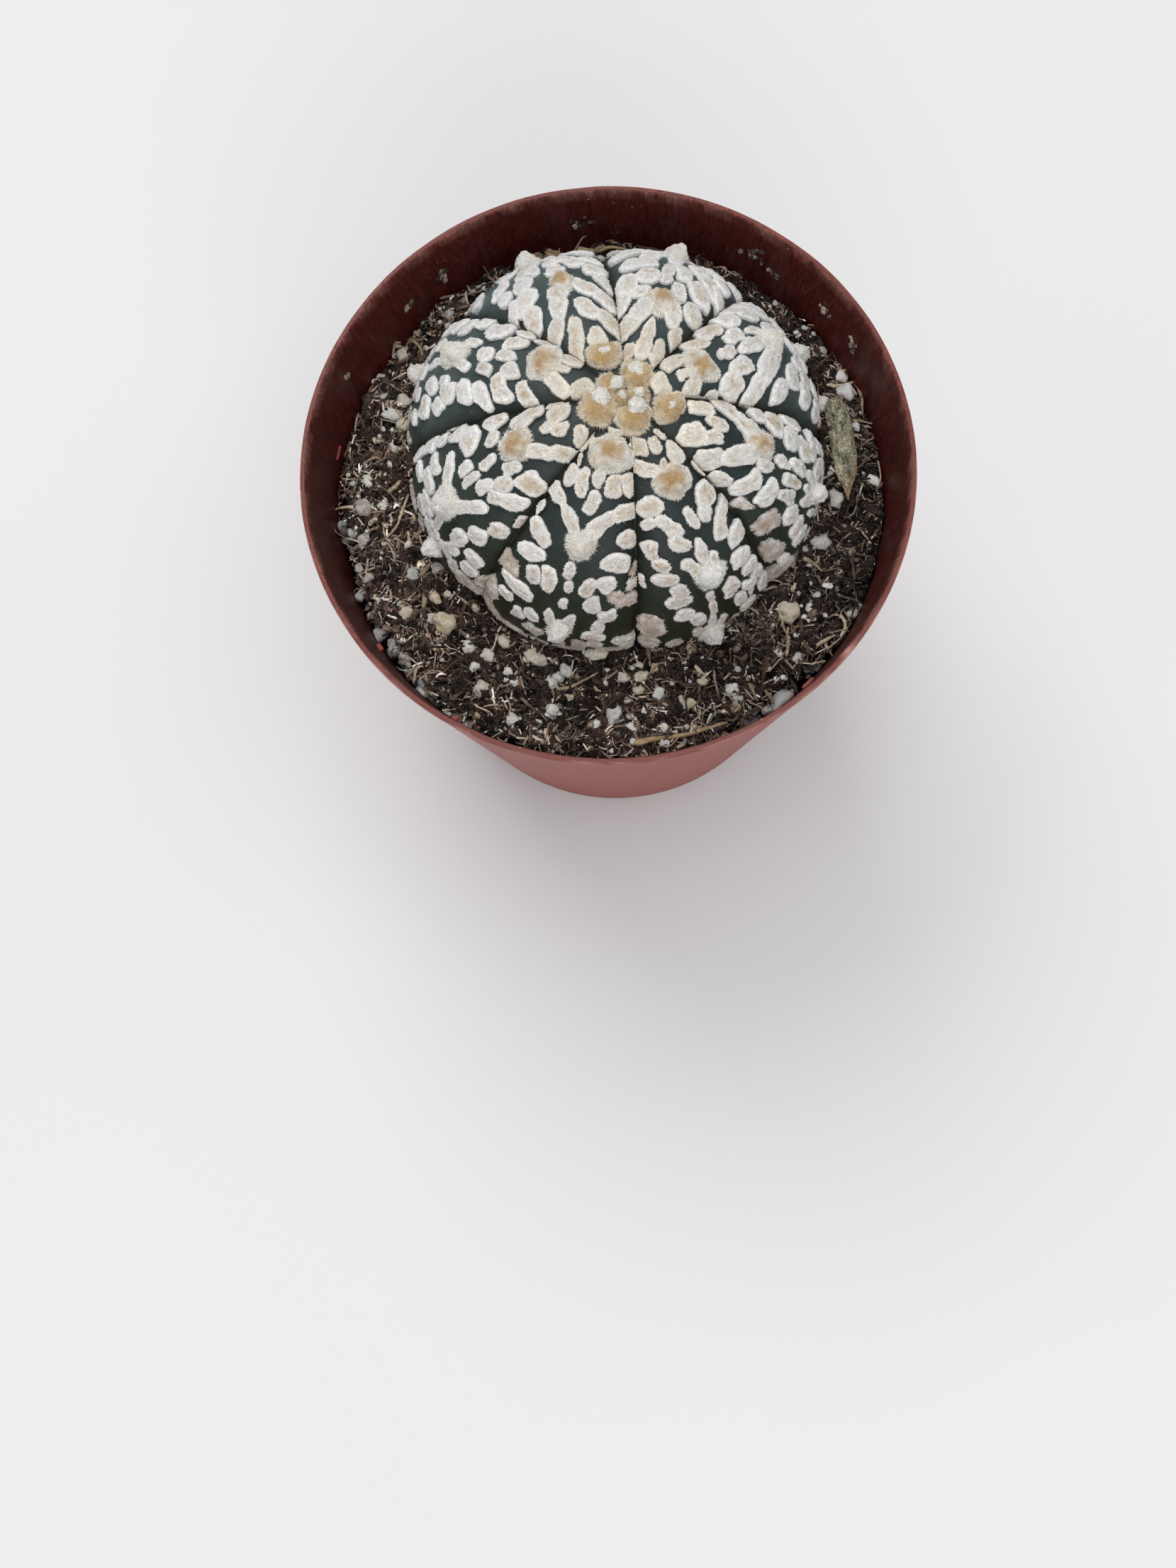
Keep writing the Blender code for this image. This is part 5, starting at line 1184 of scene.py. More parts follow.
@dataclass
class Flecks:
    """The felted flecks of one rib, with their fringe of fibres."""

    skin: Skin
    pad: Stamp
    fibre: Stamp
    finish: Material
    fibre_finish: Material
    shrink: float = 0.94
    rise: float = 0.86
    root: float = 0.7
    follow: float = 0.62
    keep_off: float = 0.1
    teeth_per_mm: float = 1.6
    fringe_per_mm: float = 7.8
    nap_per_mm2: float = 4.0
    fibre_width: float = 0.046
    ragged: float = 0.17
    stains: tuple[float, float] = (0.16, 0.62)
    cream: Array = shade("#ece3d0")
    white: Array = shade("#f5f6f7")
    # Pinkish white painted onto the wool in front: a painted reflection of warm light bouncing from the
    # front.
    painted_bounce: Array = shade("#f4f0ec")
    tan: Array = shade("#b99b6c")
    dusty: Array = shade("#b39d86")
    browned: Array = shade("#73563a")

    def build(self, rib: str, flecks: list[Fleck]) -> None:
        """Makes the pads and the fibres of one rib.

        Args:
            rib: the rib's letter.
            flecks: its flecks.
        """
        pads, fibres = Heap(), Heap()
        for index, read in enumerate(flecks):
            fleck = replace(read, length=read.length * self.shrink, width=read.width * self.shrink)
            rng = np.random.default_rng((ord(rib), index))
            shape = PadShape.drawn(rng, read.torn)
            self.add_pad(pads, fleck, shape)
            self.add_fibres(fibres, fleck, shape, rng)
        fitted(pads.piece(f"flecks_rib_{rib}", self.finish), "cactus_flesh")
        fitted(fibres.piece(f"fleck_fibres_rib_{rib}", self.fibre_finish), "cactus_flesh")

    def laid(self, fleck: Fleck, shape: "PadShape", theta: Array, reach: Array,
             rise: Array) -> tuple[Array, Array, Array]:
        """Lays places of a pad on the skin.

        Args:
            fleck: the fleck.
            shape: its outline.
            theta: direction in the pad, in radians.
            reach: share of the outline's distance.
            rise: height above the skin, negative below it.

        Returns:
            Points, the skin's outward directions there, and the distance to the furrow.
        """
        across, along = fleck.on_rib(*shape.plan(theta, reach, fleck))
        place = self.skin.on_rib(fleck.rib, across, along, self.keep_off)
        sunk = self.skin.furrow(*place)
        points = self.skin.point(*place, rise - np.where(rise < 0, sunk, sunk * self.follow))
        return points, self.skin.normal(*place), self.skin.across_furrows(*place)

    def add_pad(self, heap: Heap, fleck: Fleck, shape: "PadShape") -> None:
        """Adds one pad: a felt mat with creases along it and a lobed edge.

        Args:
            heap: what is added to.
            fleck: the fleck.
            shape: its outline.
        """
        start = self.pad.points
        wide, theta = around(start)
        angle = np.arccos(np.clip(start[:, 2], -1.0, 1.0))
        top = angle <= math.pi / 2 + 1e-6
        under = np.clip((angle - math.pi / 2) / (angle.max() - math.pi / 2), 0.0, 1.0)
        reach = np.where(top, np.sin(np.minimum(angle, math.pi / 2)) ** 0.8, 1.0 - 0.2 * under)
        reach = np.where(wide < 1e-4, 0.0, reach)
        dome = np.maximum(np.cos(np.minimum(angle, math.pi / 2)), 0.0) ** 0.36
        fold, groove = shape.folds(theta, reach, fleck)
        height = self.rise * fleck.small * fleck.thin * dome * shape.plump - fold * fleck.small
        rise = np.where(top, np.maximum(height, 0.02 * dome), -self.root * under - 0.02)
        points, normals, near = self.laid(fleck, shape, theta, reach, rise)
        ragged = Relief(31).layered(points, 0.8, 3, 0.65)
        points = points + normals * (ragged * self.ragged * fleck.small * dome * top)[:, None]
        heap.add(points, self.pad.faces, self.tint(fleck, shape, points, reach, groove, near))

    def wool(self, fleck: Fleck, points: Array, painted_bounce: float, least: float, crown: float) -> Array:
        """Gives the bare wool's colour: white, with painted pink bounce light in front, and creamy at the
        crown.
        """
        colour = mix(self.white, self.painted_bounce, smooth((2.0 - points[:, 1]) / 26.0) * painted_bounce)
        return mix(colour, self.cream, least + crown * math.exp(-((fleck.along / 17.0) ** 2)))

    def tint(self, fleck: Fleck, shape: "PadShape", points: Array, reach: Array,
             groove: Array, near: Array) -> Array:
        """Colours a pad: creamy at the crown, tan in its folds and by the furrow, with its middle painted a
        little darker so that its rim stands out as a painted highlight.

        Args:
            fleck: the fleck.
            shape: its outline.
            points: rows of X, Y and Z.
            reach: share of the way to the edge.
            groove: how deep in a crease.
            near: distance to the furrow.

        Returns:
            A colour for each point.
        """
        colour = self.wool(fleck, points, 0.85, 0.12, 0.88)
        mottle = 0.5 + 0.5 * Relief(41).layered(points, 1.3, 3)
        colour = mix(colour, self.tan, np.clip(groove * (0.35 + 0.9 * mottle) * shape.stain, 0.0, 0.8))
        patch = np.exp(-((reach / 0.55) ** 2)) * smooth(mottle * 1.6 - 0.3)
        colour = mix(colour, self.tan, patch * self.stains[fleck.stained] * shape.stain)
        colour = mix(colour, self.tan, smooth((1.1 - near) / 1.1) * 0.3)
        inside = smooth((0.86 - reach) / 0.35)
        colour = mix(colour, self.tan, inside * smooth(mottle * 1.8 - 0.5) * 0.3 * (0.4 + shape.stain))
        colour = mix(colour, self.dusty, shape.torn * np.clip(1.5 * mottle - 0.25, 0.1, 0.85))
        colour = mix(colour, self.browned, shape.torn * mottle * smooth((reach - 0.7) / 0.3) * 0.6)
        # The middle is painted up to 9% darker than the rim: a painted highlight along the rim.
        return colour * (0.975 * shape.tone * (1.0 - 0.09 * inside) * (0.93 + 0.13 * mottle))[:, None]

    def add_fibres(self, heap: Heap, fleck: Fleck, shape: "PadShape", rng: Chance) -> None:
        """Adds the teeth and the short fringe round a pad and the combed nap on top of it.

        Args:
            heap: what is added to.
            fleck: the fleck.
            shape: its outline.
            rng: the source of chance.
        """
        girth = math.pi * (fleck.length + fleck.width) / 2
        teeth, fringe = int(girth * self.teeth_per_mm), int(girth * self.fringe_per_mm)
        nap = int(fleck.length * fleck.width * 0.8 * self.nap_per_mm2)
        total = teeth + fringe + nap
        tooth = np.arange(total) < teeth
        edge = np.arange(total) < teeth + fringe
        theta = rng.uniform(0.0, math.tau, total)
        reach = np.where(edge, rng.uniform(0.9, 1.0, total), np.sqrt(rng.uniform(0.0, 0.8, total)))
        reach = np.where(tooth, 0.93, reach)
        dome = np.sqrt(np.maximum(1.0 - reach**3.4, 0.0))
        level = np.where(edge, rng.uniform(0.05, 0.8, total), dome * 0.9)
        level = np.where(tooth, rng.uniform(0.15, 0.7, total), level)
        rise = self.rise * fleck.small * fleck.thin * shape.plump * level
        roots, normals, _ = self.laid(fleck, shape, theta, reach, rise)
        ahead, _, _ = self.laid(fleck, shape, theta, reach + 0.1, rise)
        outward = unit(ahead - roots)
        loose = unit(rng.normal(size=(total, 3))) * np.where(tooth, 0.28, 0.5)[:, None]
        lift = np.where(edge, rng.uniform(-0.35, 0.5, total), rng.uniform(0.05, 0.45, total))
        lift = np.where(tooth, rng.uniform(-0.35, 0.2, total), lift)
        direction = unit(outward + lift[:, None] * normals + loose)
        length = np.where(edge, rng.uniform(0.12, 0.34, total), rng.uniform(0.2, 0.4, total))
        length = np.where(tooth, rng.uniform(0.2, 0.44, total), length) * (1.0 + 0.8 * shape.torn * edge)
        width = self.fibre_width * rng.uniform(0.7, 1.4, total) * np.where(tooth, 1.4, 1.0)
        side = unit(np.cross(normals, direction))
        over = np.cross(direction, side) * width[:, None]
        side = side * (width * np.where(tooth, 1.7, 1.0))[:, None]
        tints = mix(self.wool(fleck, roots, 0.7, 0.1, 0.6), self.dusty, 0.45 * shape.torn)
        uneven = rng.uniform(np.where(edge, 0.9, 0.74), np.where(edge, 1.06, 1.14))
        axes = (roots, side, over, direction * length[:, None])
        heap.add_copies(self.fibre, axes, tints * (shape.tone * uneven)[:, None])


@dataclass(frozen=True)
class PadShape:
    """The outline, folds and tone of one pad."""

    seed: int
    squareness: float
    bow: float
    taper: float
    plump: float
    crease_depth: float
    crease_shift: float
    crease_phase: float
    stain: float
    tone: float
    torn: float

    @classmethod
    def drawn(cls, rng: Chance, torn: float) -> "PadShape":
        """Draws a shape by chance, the more ragged the more it is torn.

        Args:
            rng: the source of chance.
            torn: how ragged, from 0 to 1.

        Returns:
            The shape.
        """
        spans = {
            "squareness": (2.1, 3.4), "bow": (-0.3, 0.3), "taper": (-0.22, 0.22), "plump": (0.86, 1.14),
            "crease_depth": (0.1, 0.32), "crease_shift": (-0.2, 0.2), "crease_phase": (0.0, math.tau),
            "stain": (0.3, 1.0), "tone": (0.93, 1.05),
        }
        seed = int(rng.integers(0, 90000))
        drawn = {key: rng.uniform(*span) for key, span in spans.items()}
        drawn["plump"] *= 1.0 - 0.4 * torn
        return cls(seed=seed, torn=torn, **drawn)

    def plan(self, theta: Array, reach: Array, fleck: Fleck) -> tuple[Array, Array]:
        """Gives places in the pad's own plane.

        Args:
            theta: direction from the middle, in radians.
            reach: share of the way to the edge.
            fleck: the pad's sizes.

        Returns:
            Distance to the side and along the pad, in millimetres.
        """
        power = self.squareness
        wide, long = fleck.width / 2, fleck.length / 2
        edge = (np.abs(np.cos(theta)) ** power + np.abs(np.sin(theta)) ** power) ** (-1.0 / power)
        side, forward = edge * np.cos(theta) * wide, edge * np.sin(theta) * long
        outward = unit(np.stack([side / wide**2, forward / long**2], axis=-1))
        spots = np.stack([side, forward, np.full_like(side, self.seed * 0.37)], axis=-1)
        size = max(min(1.0, fleck.width / 2.6), 0.8 * self.torn)
        push = Relief(self.seed).at(spots, 1.3 * size) * (0.34 + 0.28 * self.torn) * size
        push = push + Relief(self.seed + 1).at(spots, 0.55) * (0.17 + 0.14 * self.torn) * size
        side = (side + outward[..., 0] * push) * reach
        forward = (forward + outward[..., 1] * push) * reach
        side = side * (1.0 + self.taper * forward / long)
        return side + self.bow * (forward / long) ** 2 * wide, forward

    def folds(self, theta: Array, reach: Array, fleck: Fleck) -> tuple[Array, Array]:
        """Gives the depth of the creases along a pad, and where they are.

        Args:
            theta: direction from the middle, in radians.
            reach: share of the way to the edge.
            fleck: the fleck.

        Returns:
            The depths, and how deep in a crease each place lies.
        """
        side = reach * np.cos(theta)
        along = reach * np.sin(theta) * fleck.length
        fade = np.clip(1.2 - reach**2.6, 0.0, 1.0)
        total = np.zeros_like(side)
        for number, (shift, weight) in enumerate(((0.0, 1.0), (0.5, 0.5), (-0.5, 0.4))):
            line = self.crease_shift + shift + 0.15 * np.sin(along * (1.2 + 0.4 * number) + self.crease_phase)
            broken = 0.55 + 0.45 * np.sin(along * (1.7 + number) + self.crease_phase * (2.0 + number))
            total = total + weight * broken * np.exp(-(((side - line) / 0.13) ** 2))
        groove = np.minimum(total, 1.0) * fade
        return groove * self.crease_depth, groove


class WoolTone(Enum):
    """The colour of a tuft's heart."""

    WHITE = "#f8f6f3"
    LIGHT = "#f3ebdd"
    TAN = "#c79f63"
    OCHRE = "#c8a05e"


def tone_of(kind: type[Enum], letter: str) -> Array:
    """Gives the colour of the tone whose name starts with a letter."""
    return linear(next(tone.value for tone in kind if tone.name[0] == letter))


@dataclass(frozen=True)
class Tuft:
    """One woolly tuft: its foot on the skin, its size and the colours of its heart and rim."""

    azimuth: float
    polar: float
    width: float
    length: float
    heart: Array
    rim: Array
    heart_at: tuple[float, float] = (0.0, 0.0)
    heart_size: float = 0.5
    height: float = 2.0
    raised: float = 0.0


@dataclass
class Tufts:
    """All the woolly tufts: a soft heart and the hairs that stand out of it."""

    skin: Skin
    dome: Stamp
    fibre: Stamp
    finish: Material
    hair_finish: Material
    hairs_each: int = 1000
    hair_width: float = 0.043
    skirt_share: float = 0.55
    foot_tone: Array = shade("#f6f1e6")
    tip_tone: Array = shade("#fffaf0")

    def listed(self) -> list[Tuft]:
        """Gives the tufts of the ribs and the crown.

        Returns:
            The tufts.
        """
        tufts = []
        white, cream, ochre = shades(f"#f8f4ea #e8d3a8 {WoolTone.OCHRE.value}")
        for rib, rows in TUFTS.items():
            for (across, along, width, length), tone in zip(rows, TUFT_TONES[rib]):
                azimuth, polar = (float(v) for v in self.skin.on_rib(rib, across, along))
                young = tone == "O"
                rim, shift, heart = (cream, 0.0, 1.0) if young else (white, -0.2, 0.8)
                height = 2.0 + 0.6 * float(smooth((along - 18.0) / 14.0))
                tufts.append(Tuft(
                    azimuth, polar, width, length, tone_of(WoolTone, tone), rim, (0.0, shift), heart, height,
                ))
                if young:
                    tufts.append(Tuft(azimuth, polar, 2.0, 1.6, white, white, height=0.7, raised=1.5))
        for x, y, width, white_x, white_y in CROWN_TUFTS:
            place, tip = self.skin.near_crown(x, y), self.skin.near_crown(white_x, white_y)
            wide, size = width * 1.1, 0.46 * width
            tufts.append(Tuft(*place, wide, wide, ochre, cream, (0.0, 0.0), 1.0, 2.1))
            tufts.append(Tuft(*tip, size * 1.2, size, white, white, height=0.75, raised=1.75))
        return tufts

    def build(self) -> None:
        """Makes the hearts and the hairs."""
        hearts, hairs = Heap(), [Heap(), Heap()]
        for index, tuft in enumerate(self.listed()):
            rng = np.random.default_rng((77, index))
            sunk = float(self.skin.furrow(tuft.azimuth, tuft.polar))
            foot = self.skin.point(tuft.azimuth, tuft.polar, tuft.raised - sunk * 0.5)
            axes = self.axes(tuft)
            self.add_heart(hearts, tuft, foot, axes)
            self.add_hairs(hairs[index % 2], tuft, foot, axes, rng)
        fitted(hearts.piece("tuft_hearts", self.finish), "cactus_flesh")
        for number, heap in enumerate(hairs, 1):
            fitted(heap.piece(f"tuft_hairs_{number}", self.hair_finish), "cactus_flesh")

    def axes(self, tuft: Tuft) -> Array:
        """Gives a tuft's own axes as rows: across the rib, away from the crown, outwards.

        Args:
            tuft: the tuft.

        Returns:
            Three rows of length one.
        """
        out = self.skin.normal(tuft.azimuth, tuft.polar)
        step = self.skin.point(tuft.azimuth, tuft.polar + 0.01, 0.0)
        step = step - self.skin.point(tuft.azimuth, tuft.polar, 0.0)
        away = unit(step - out * (step @ out))
        return np.stack([np.cross(away, out), away, out])

    def tint(self, tuft: Tuft, offset: Array) -> Array:
        """Colours wool by how far it lies from the heart, seen from above.

        Args:
            tuft: the tuft.
            offset: places in its own axes.

        Returns:
            A colour for each place.
        """
        middle = np.array([*tuft.heart_at, 0.0])
        near = np.linalg.norm((offset - middle)[:, :2], axis=1) / (tuft.width / 2)
        blotch = Relief(55).layered(offset + 9.0 * tuft.azimuth, 1.1, 3, 0.6)
        share = 1.0 - smooth((near + 0.38 * blotch - 0.08) / (tuft.heart_size * 1.3))
        colour = mix(tuft.rim, tuft.heart, share)
        foot = smooth((near - 0.72) / 0.4)
        return mix(colour, self.foot_tone, foot * 0.6)

    def add_heart(self, heap: Heap, tuft: Tuft, foot: Array, axes: Array) -> None:
        """Adds the soft heart of a tuft and the low skirt round its foot, with painted shade between its
        lumps.

        Args:
            heap: what is added to.
            tuft: the tuft.
            foot: the middle of its foot.
            axes: its own axes as rows.
        """
        small = min(1.0, tuft.width / 3.6)
        local = self.shaped(tuft, self.dome.points)
        points = local @ axes + foot
        lumps = np.abs(Relief(53).layered(points, 1.15, 3, 0.6))
        points = points + (self.dome.points @ axes) * ((lumps - 0.3) * 0.55 * small)[:, None]
        # Wool is painted up to 16% darker where the lumps sink in: painted shade in the hollows between
        # lumps.
        depth = (0.84 + 0.16 * smooth(lumps / 0.16)) * (0.96 + 0.07 * Relief(54).layered(points, 0.7, 3))
        heap.add(points, self.dome.faces, self.tint(tuft, local) * depth[:, None])

    @staticmethod
    def shaped(tuft: Tuft, ball: Array) -> Array:
        """Turns places on a ball of size one into the tuft's own uneven bell shape.

        Args:
            tuft: the tuft.
            ball: places on the ball.

        Returns:
            Places in its own axes.
        """
        turn = around(ball)[1]
        ring = ringed(1.0, turn, 7.0 * tuft.azimuth)
        uneven = 1.0 + 0.3 * Relief(57).layered(ring + 3.0 * tuft.polar, 0.9, 2)
        spread = uneven * (1.0 + 0.16 * np.clip(1.0 - ball[:, 2], 0.0, 1.0) ** 2)
        wide = 0.46 * np.array([tuft.width, tuft.length]) * spread[:, None]
        return np.column_stack([ball[:, :2] * wide, ball[:, 2] * tuft.height])

    def add_hairs(self, heap: Heap, tuft: Tuft, foot: Array, axes: Array, rng: Chance) -> None:
        """Adds the short hairs of a tuft, combed outwards all over it and its skirt.

        Args:
            heap: what is added to.
            tuft: the tuft.
            foot: the middle of its foot.
            axes: its own axes as rows.
            rng: the source of chance.
        """
        count = int(self.hairs_each * min(1.5, tuft.width * tuft.length / 22.0) + 25)
        skirt = rng.random(count) < self.skirt_share
        height = np.where(skirt, rng.uniform(-0.15, 0.3, count), rng.uniform(0.1, 1.0, count))
        turn = rng.uniform(0.0, math.tau, count)
        flat = np.sqrt(np.maximum(1.0 - height**2, 0.0))
        ball = ringed(flat, turn, height)
        local = self.shaped(tuft, ball)
        lean = unit(ball / np.array([tuft.width / 2, tuft.length / 2, tuft.height]))
        down = unit(np.stack([ball[:, 0], ball[:, 1], -0.35 * flat], axis=1))
        lying = unit(np.cross(lean, unit(rng.normal(size=(count, 3)))))
        direction = 0.22 * lean + 0.3 * down + lying
        low = down * 1.1 + lean * 0.5 + unit(rng.normal(size=(count, 3)))
        direction = unit(np.where(skirt[:, None], low, direction)) @ axes
        length = rng.uniform(0.22, 0.55, count) * min(1.0, 0.45 + tuft.width / 8.0)
        length = length * np.where(skirt & (tuft.height > 2.0), rng.uniform(0.9, 2.0, count), 1.0)
        width = self.hair_width * rng.uniform(0.7, 1.6, count)
        first, second = frames(direction, rng.uniform(0.0, math.tau, count))
        tints = self.tint(tuft, local) * rng.uniform(0.97, 1.16, (count, 1))
        tips = mix(tints, self.tip_tone, 0.45)
        share = self.fibre.points[None, :, 2, None]
        width = width[:, None]
        placed = (local @ axes + foot, first * width, second * width, direction * length[:, None])
        heap.add_copies(self.fibre, placed, tints[:, None] * (1 - share) + tips[:, None] * share)


@dataclass
class StarCactus:
    """The whole plant."""

    skin: Skin = field(default_factory=Skin)

    def flecks(self) -> dict[str, list[Fleck]]:
        """Gives the flecks of each rib: those listed, then the rule for the rest.

        Returns:
            A list for each rib.
        """
        rng = random.Random(SEED + 1)
        flecks = {
            rib: [self.joined(Fleck(rib, *row)) for row in (*rows, *self.out_of_view(rib, rng))]
            for rib, rows in FLECKS.items()
        }
        return {rib: self.grown(listed, GROWTH[rib]) for rib, listed in flecks.items()}

    @staticmethod
    def grown(flecks: list[Fleck], most: float, gap: float = 0.32, step: float = 1.05,
              near: float = 8.0, rounds: int = 9) -> list[Fleck]:
        """Lets the flecks of a rib grow until they nearly touch.

        Args:
            flecks: the flecks as read.
            most: greatest growth of each length and width.
            gap: what is left between two flecks.
            step: growth at a time.
            near: how far off another fleck is looked at.
            rounds: how often all are tried.

        Returns:
            The flecks, larger where there is room.
        """
        first, made = list(flecks), list(flecks)
        for _ in range(rounds):
            for index, fleck in enumerate(made):
                others = [f for f in made if f is not fleck and abs(f.across - fleck.across) < near
                          and abs(f.along - fleck.along) < near]
                for side in ("width", "length"):
                    larger = replace(fleck, **{side: getattr(fleck, side) * step})
                    if getattr(larger, side) > getattr(first[index], side) * most:
                        continue
                    now, then = fleck.rim(gap), larger.rim(gap)
                    if all(other.covers(then) <= other.covers(now) for other in others):
                        fleck = larger
                made[index] = fleck
        return made

    @staticmethod
    def joined(fleck: Fleck, gap: float = 2.1, aim_deg: float = 34.0) -> Fleck:
        """Runs a fleck on under a tuft that its end points at.

        Args:
            fleck: the fleck as read.
            gap: greatest distance from its end to the tuft's edge.
            aim_deg: how far off the tuft's middle it may point.

        Returns:
            The fleck, longer where it is the arm of a tuft.
        """
        turn = math.radians(fleck.turn)
        way = np.array([math.sin(turn), math.cos(turn)])
        middle = np.array([fleck.across, fleck.along])
        for across, along, width, length in TUFTS[fleck.rib]:
            towards = np.array([across, along]) - middle
            distance = float(np.linalg.norm(towards))
            sense = math.copysign(1.0, float(towards @ way))
            aim = float(towards @ way) * sense / max(distance, 1e-6)
            short = distance - fleck.length / 2 - min(width, length) / 2
            if fleck.along > along - 0.4:
                continue
            if aim > math.cos(math.radians(aim_deg)) and -1.0 < short < gap:
                extra = max(0.0, short + 0.9)
                middle = middle + way * sense * extra / 2
                return replace(fleck, across=float(middle[0]), along=float(middle[1]),
                               length=fleck.length + extra)
        return fleck

    @staticmethod
    def out_of_view(rib: str, rng: random.Random, gap: float = 0.35, last: float = 47.2) -> list[tuple]:
        """Spaces flecks over the part of a rib that is out of view, as the CAD does.

        Args:
            rib: the rib's letter.
            rng: the source of chance.
            gap: distance that is kept.
            last: farthest from the crown.

        Returns:
            Rows like those of FLECKS.
        """
        taken = [(f[0], f[1], max(f[2], f[3]) / 2) for f in FLECKS[rib]]
        taken += [(t[0], t[1], t[3] / 2) for t in TUFTS[rib]]
        made: list[tuple] = []
        for _ in range(600):
            along = rng.uniform(SEEN_TO[rib], last)
            across, size = rng.uniform(-11.0, 11.0), rng.uniform(1.3, 2.2)
            if any(math.hypot(across - a, along - b) < size + c + gap for a, b, c in taken):
                continue
            taken.append((across, along, size))
            turn = math.copysign(62.0, -across) + rng.uniform(-15, 15)
            made.append((across, along, 2 * size, 1.35 * size, turn))
        return made

    @staticmethod
    def cut_ball(segments: int, rings: int, height: float) -> Stamp:
        """Models a ball that is cut off flat below a height.

        Args:
            segments: faces round it.
            rings: faces from top to bottom.
            height: where it is cut.

        Returns:
            The stamp.
        """
        ball = Workpiece("uv_sphere", segments=segments, ring_count=rings, radius=1.0)
        ball.cut_below(height)
        return Stamp.taken_from(ball.done())

    def build(self) -> None:
        """Builds the body, the flecks and the tufts."""
        Body(self.skin, SkinFinish().material()).build()
        pad, dome = self.cut_ball(34, 14, -0.3), self.cut_ball(28, 16, -0.35)
        cone = Workpiece("cone", vertices=3, radius1=1.0, depth=1.0, location=(0.0, 0.0, 0.5))
        fibre = Stamp.taken_from(cone.done())
        wool = WoolFinish().material()
        fibre_wool = WoolFinish("wool fibre", 0.9, 0.05, 0.02, 0.25, 0.04).material()
        maker = Flecks(self.skin, pad, fibre, wool, fibre_wool)
        for rib, flecks in self.flecks().items():
            maker.build(rib, flecks)
        soft = WoolFinish("tuft wool", 0.5, 0.1, 0.3, 0.5).material()
        hair = WoolFinish("tuft hair", 0.9, 0.04, 0.01, 0.5, 0.04).material()
        Tufts(self.skin, dome, fibre, soft, hair).build()


# The pot


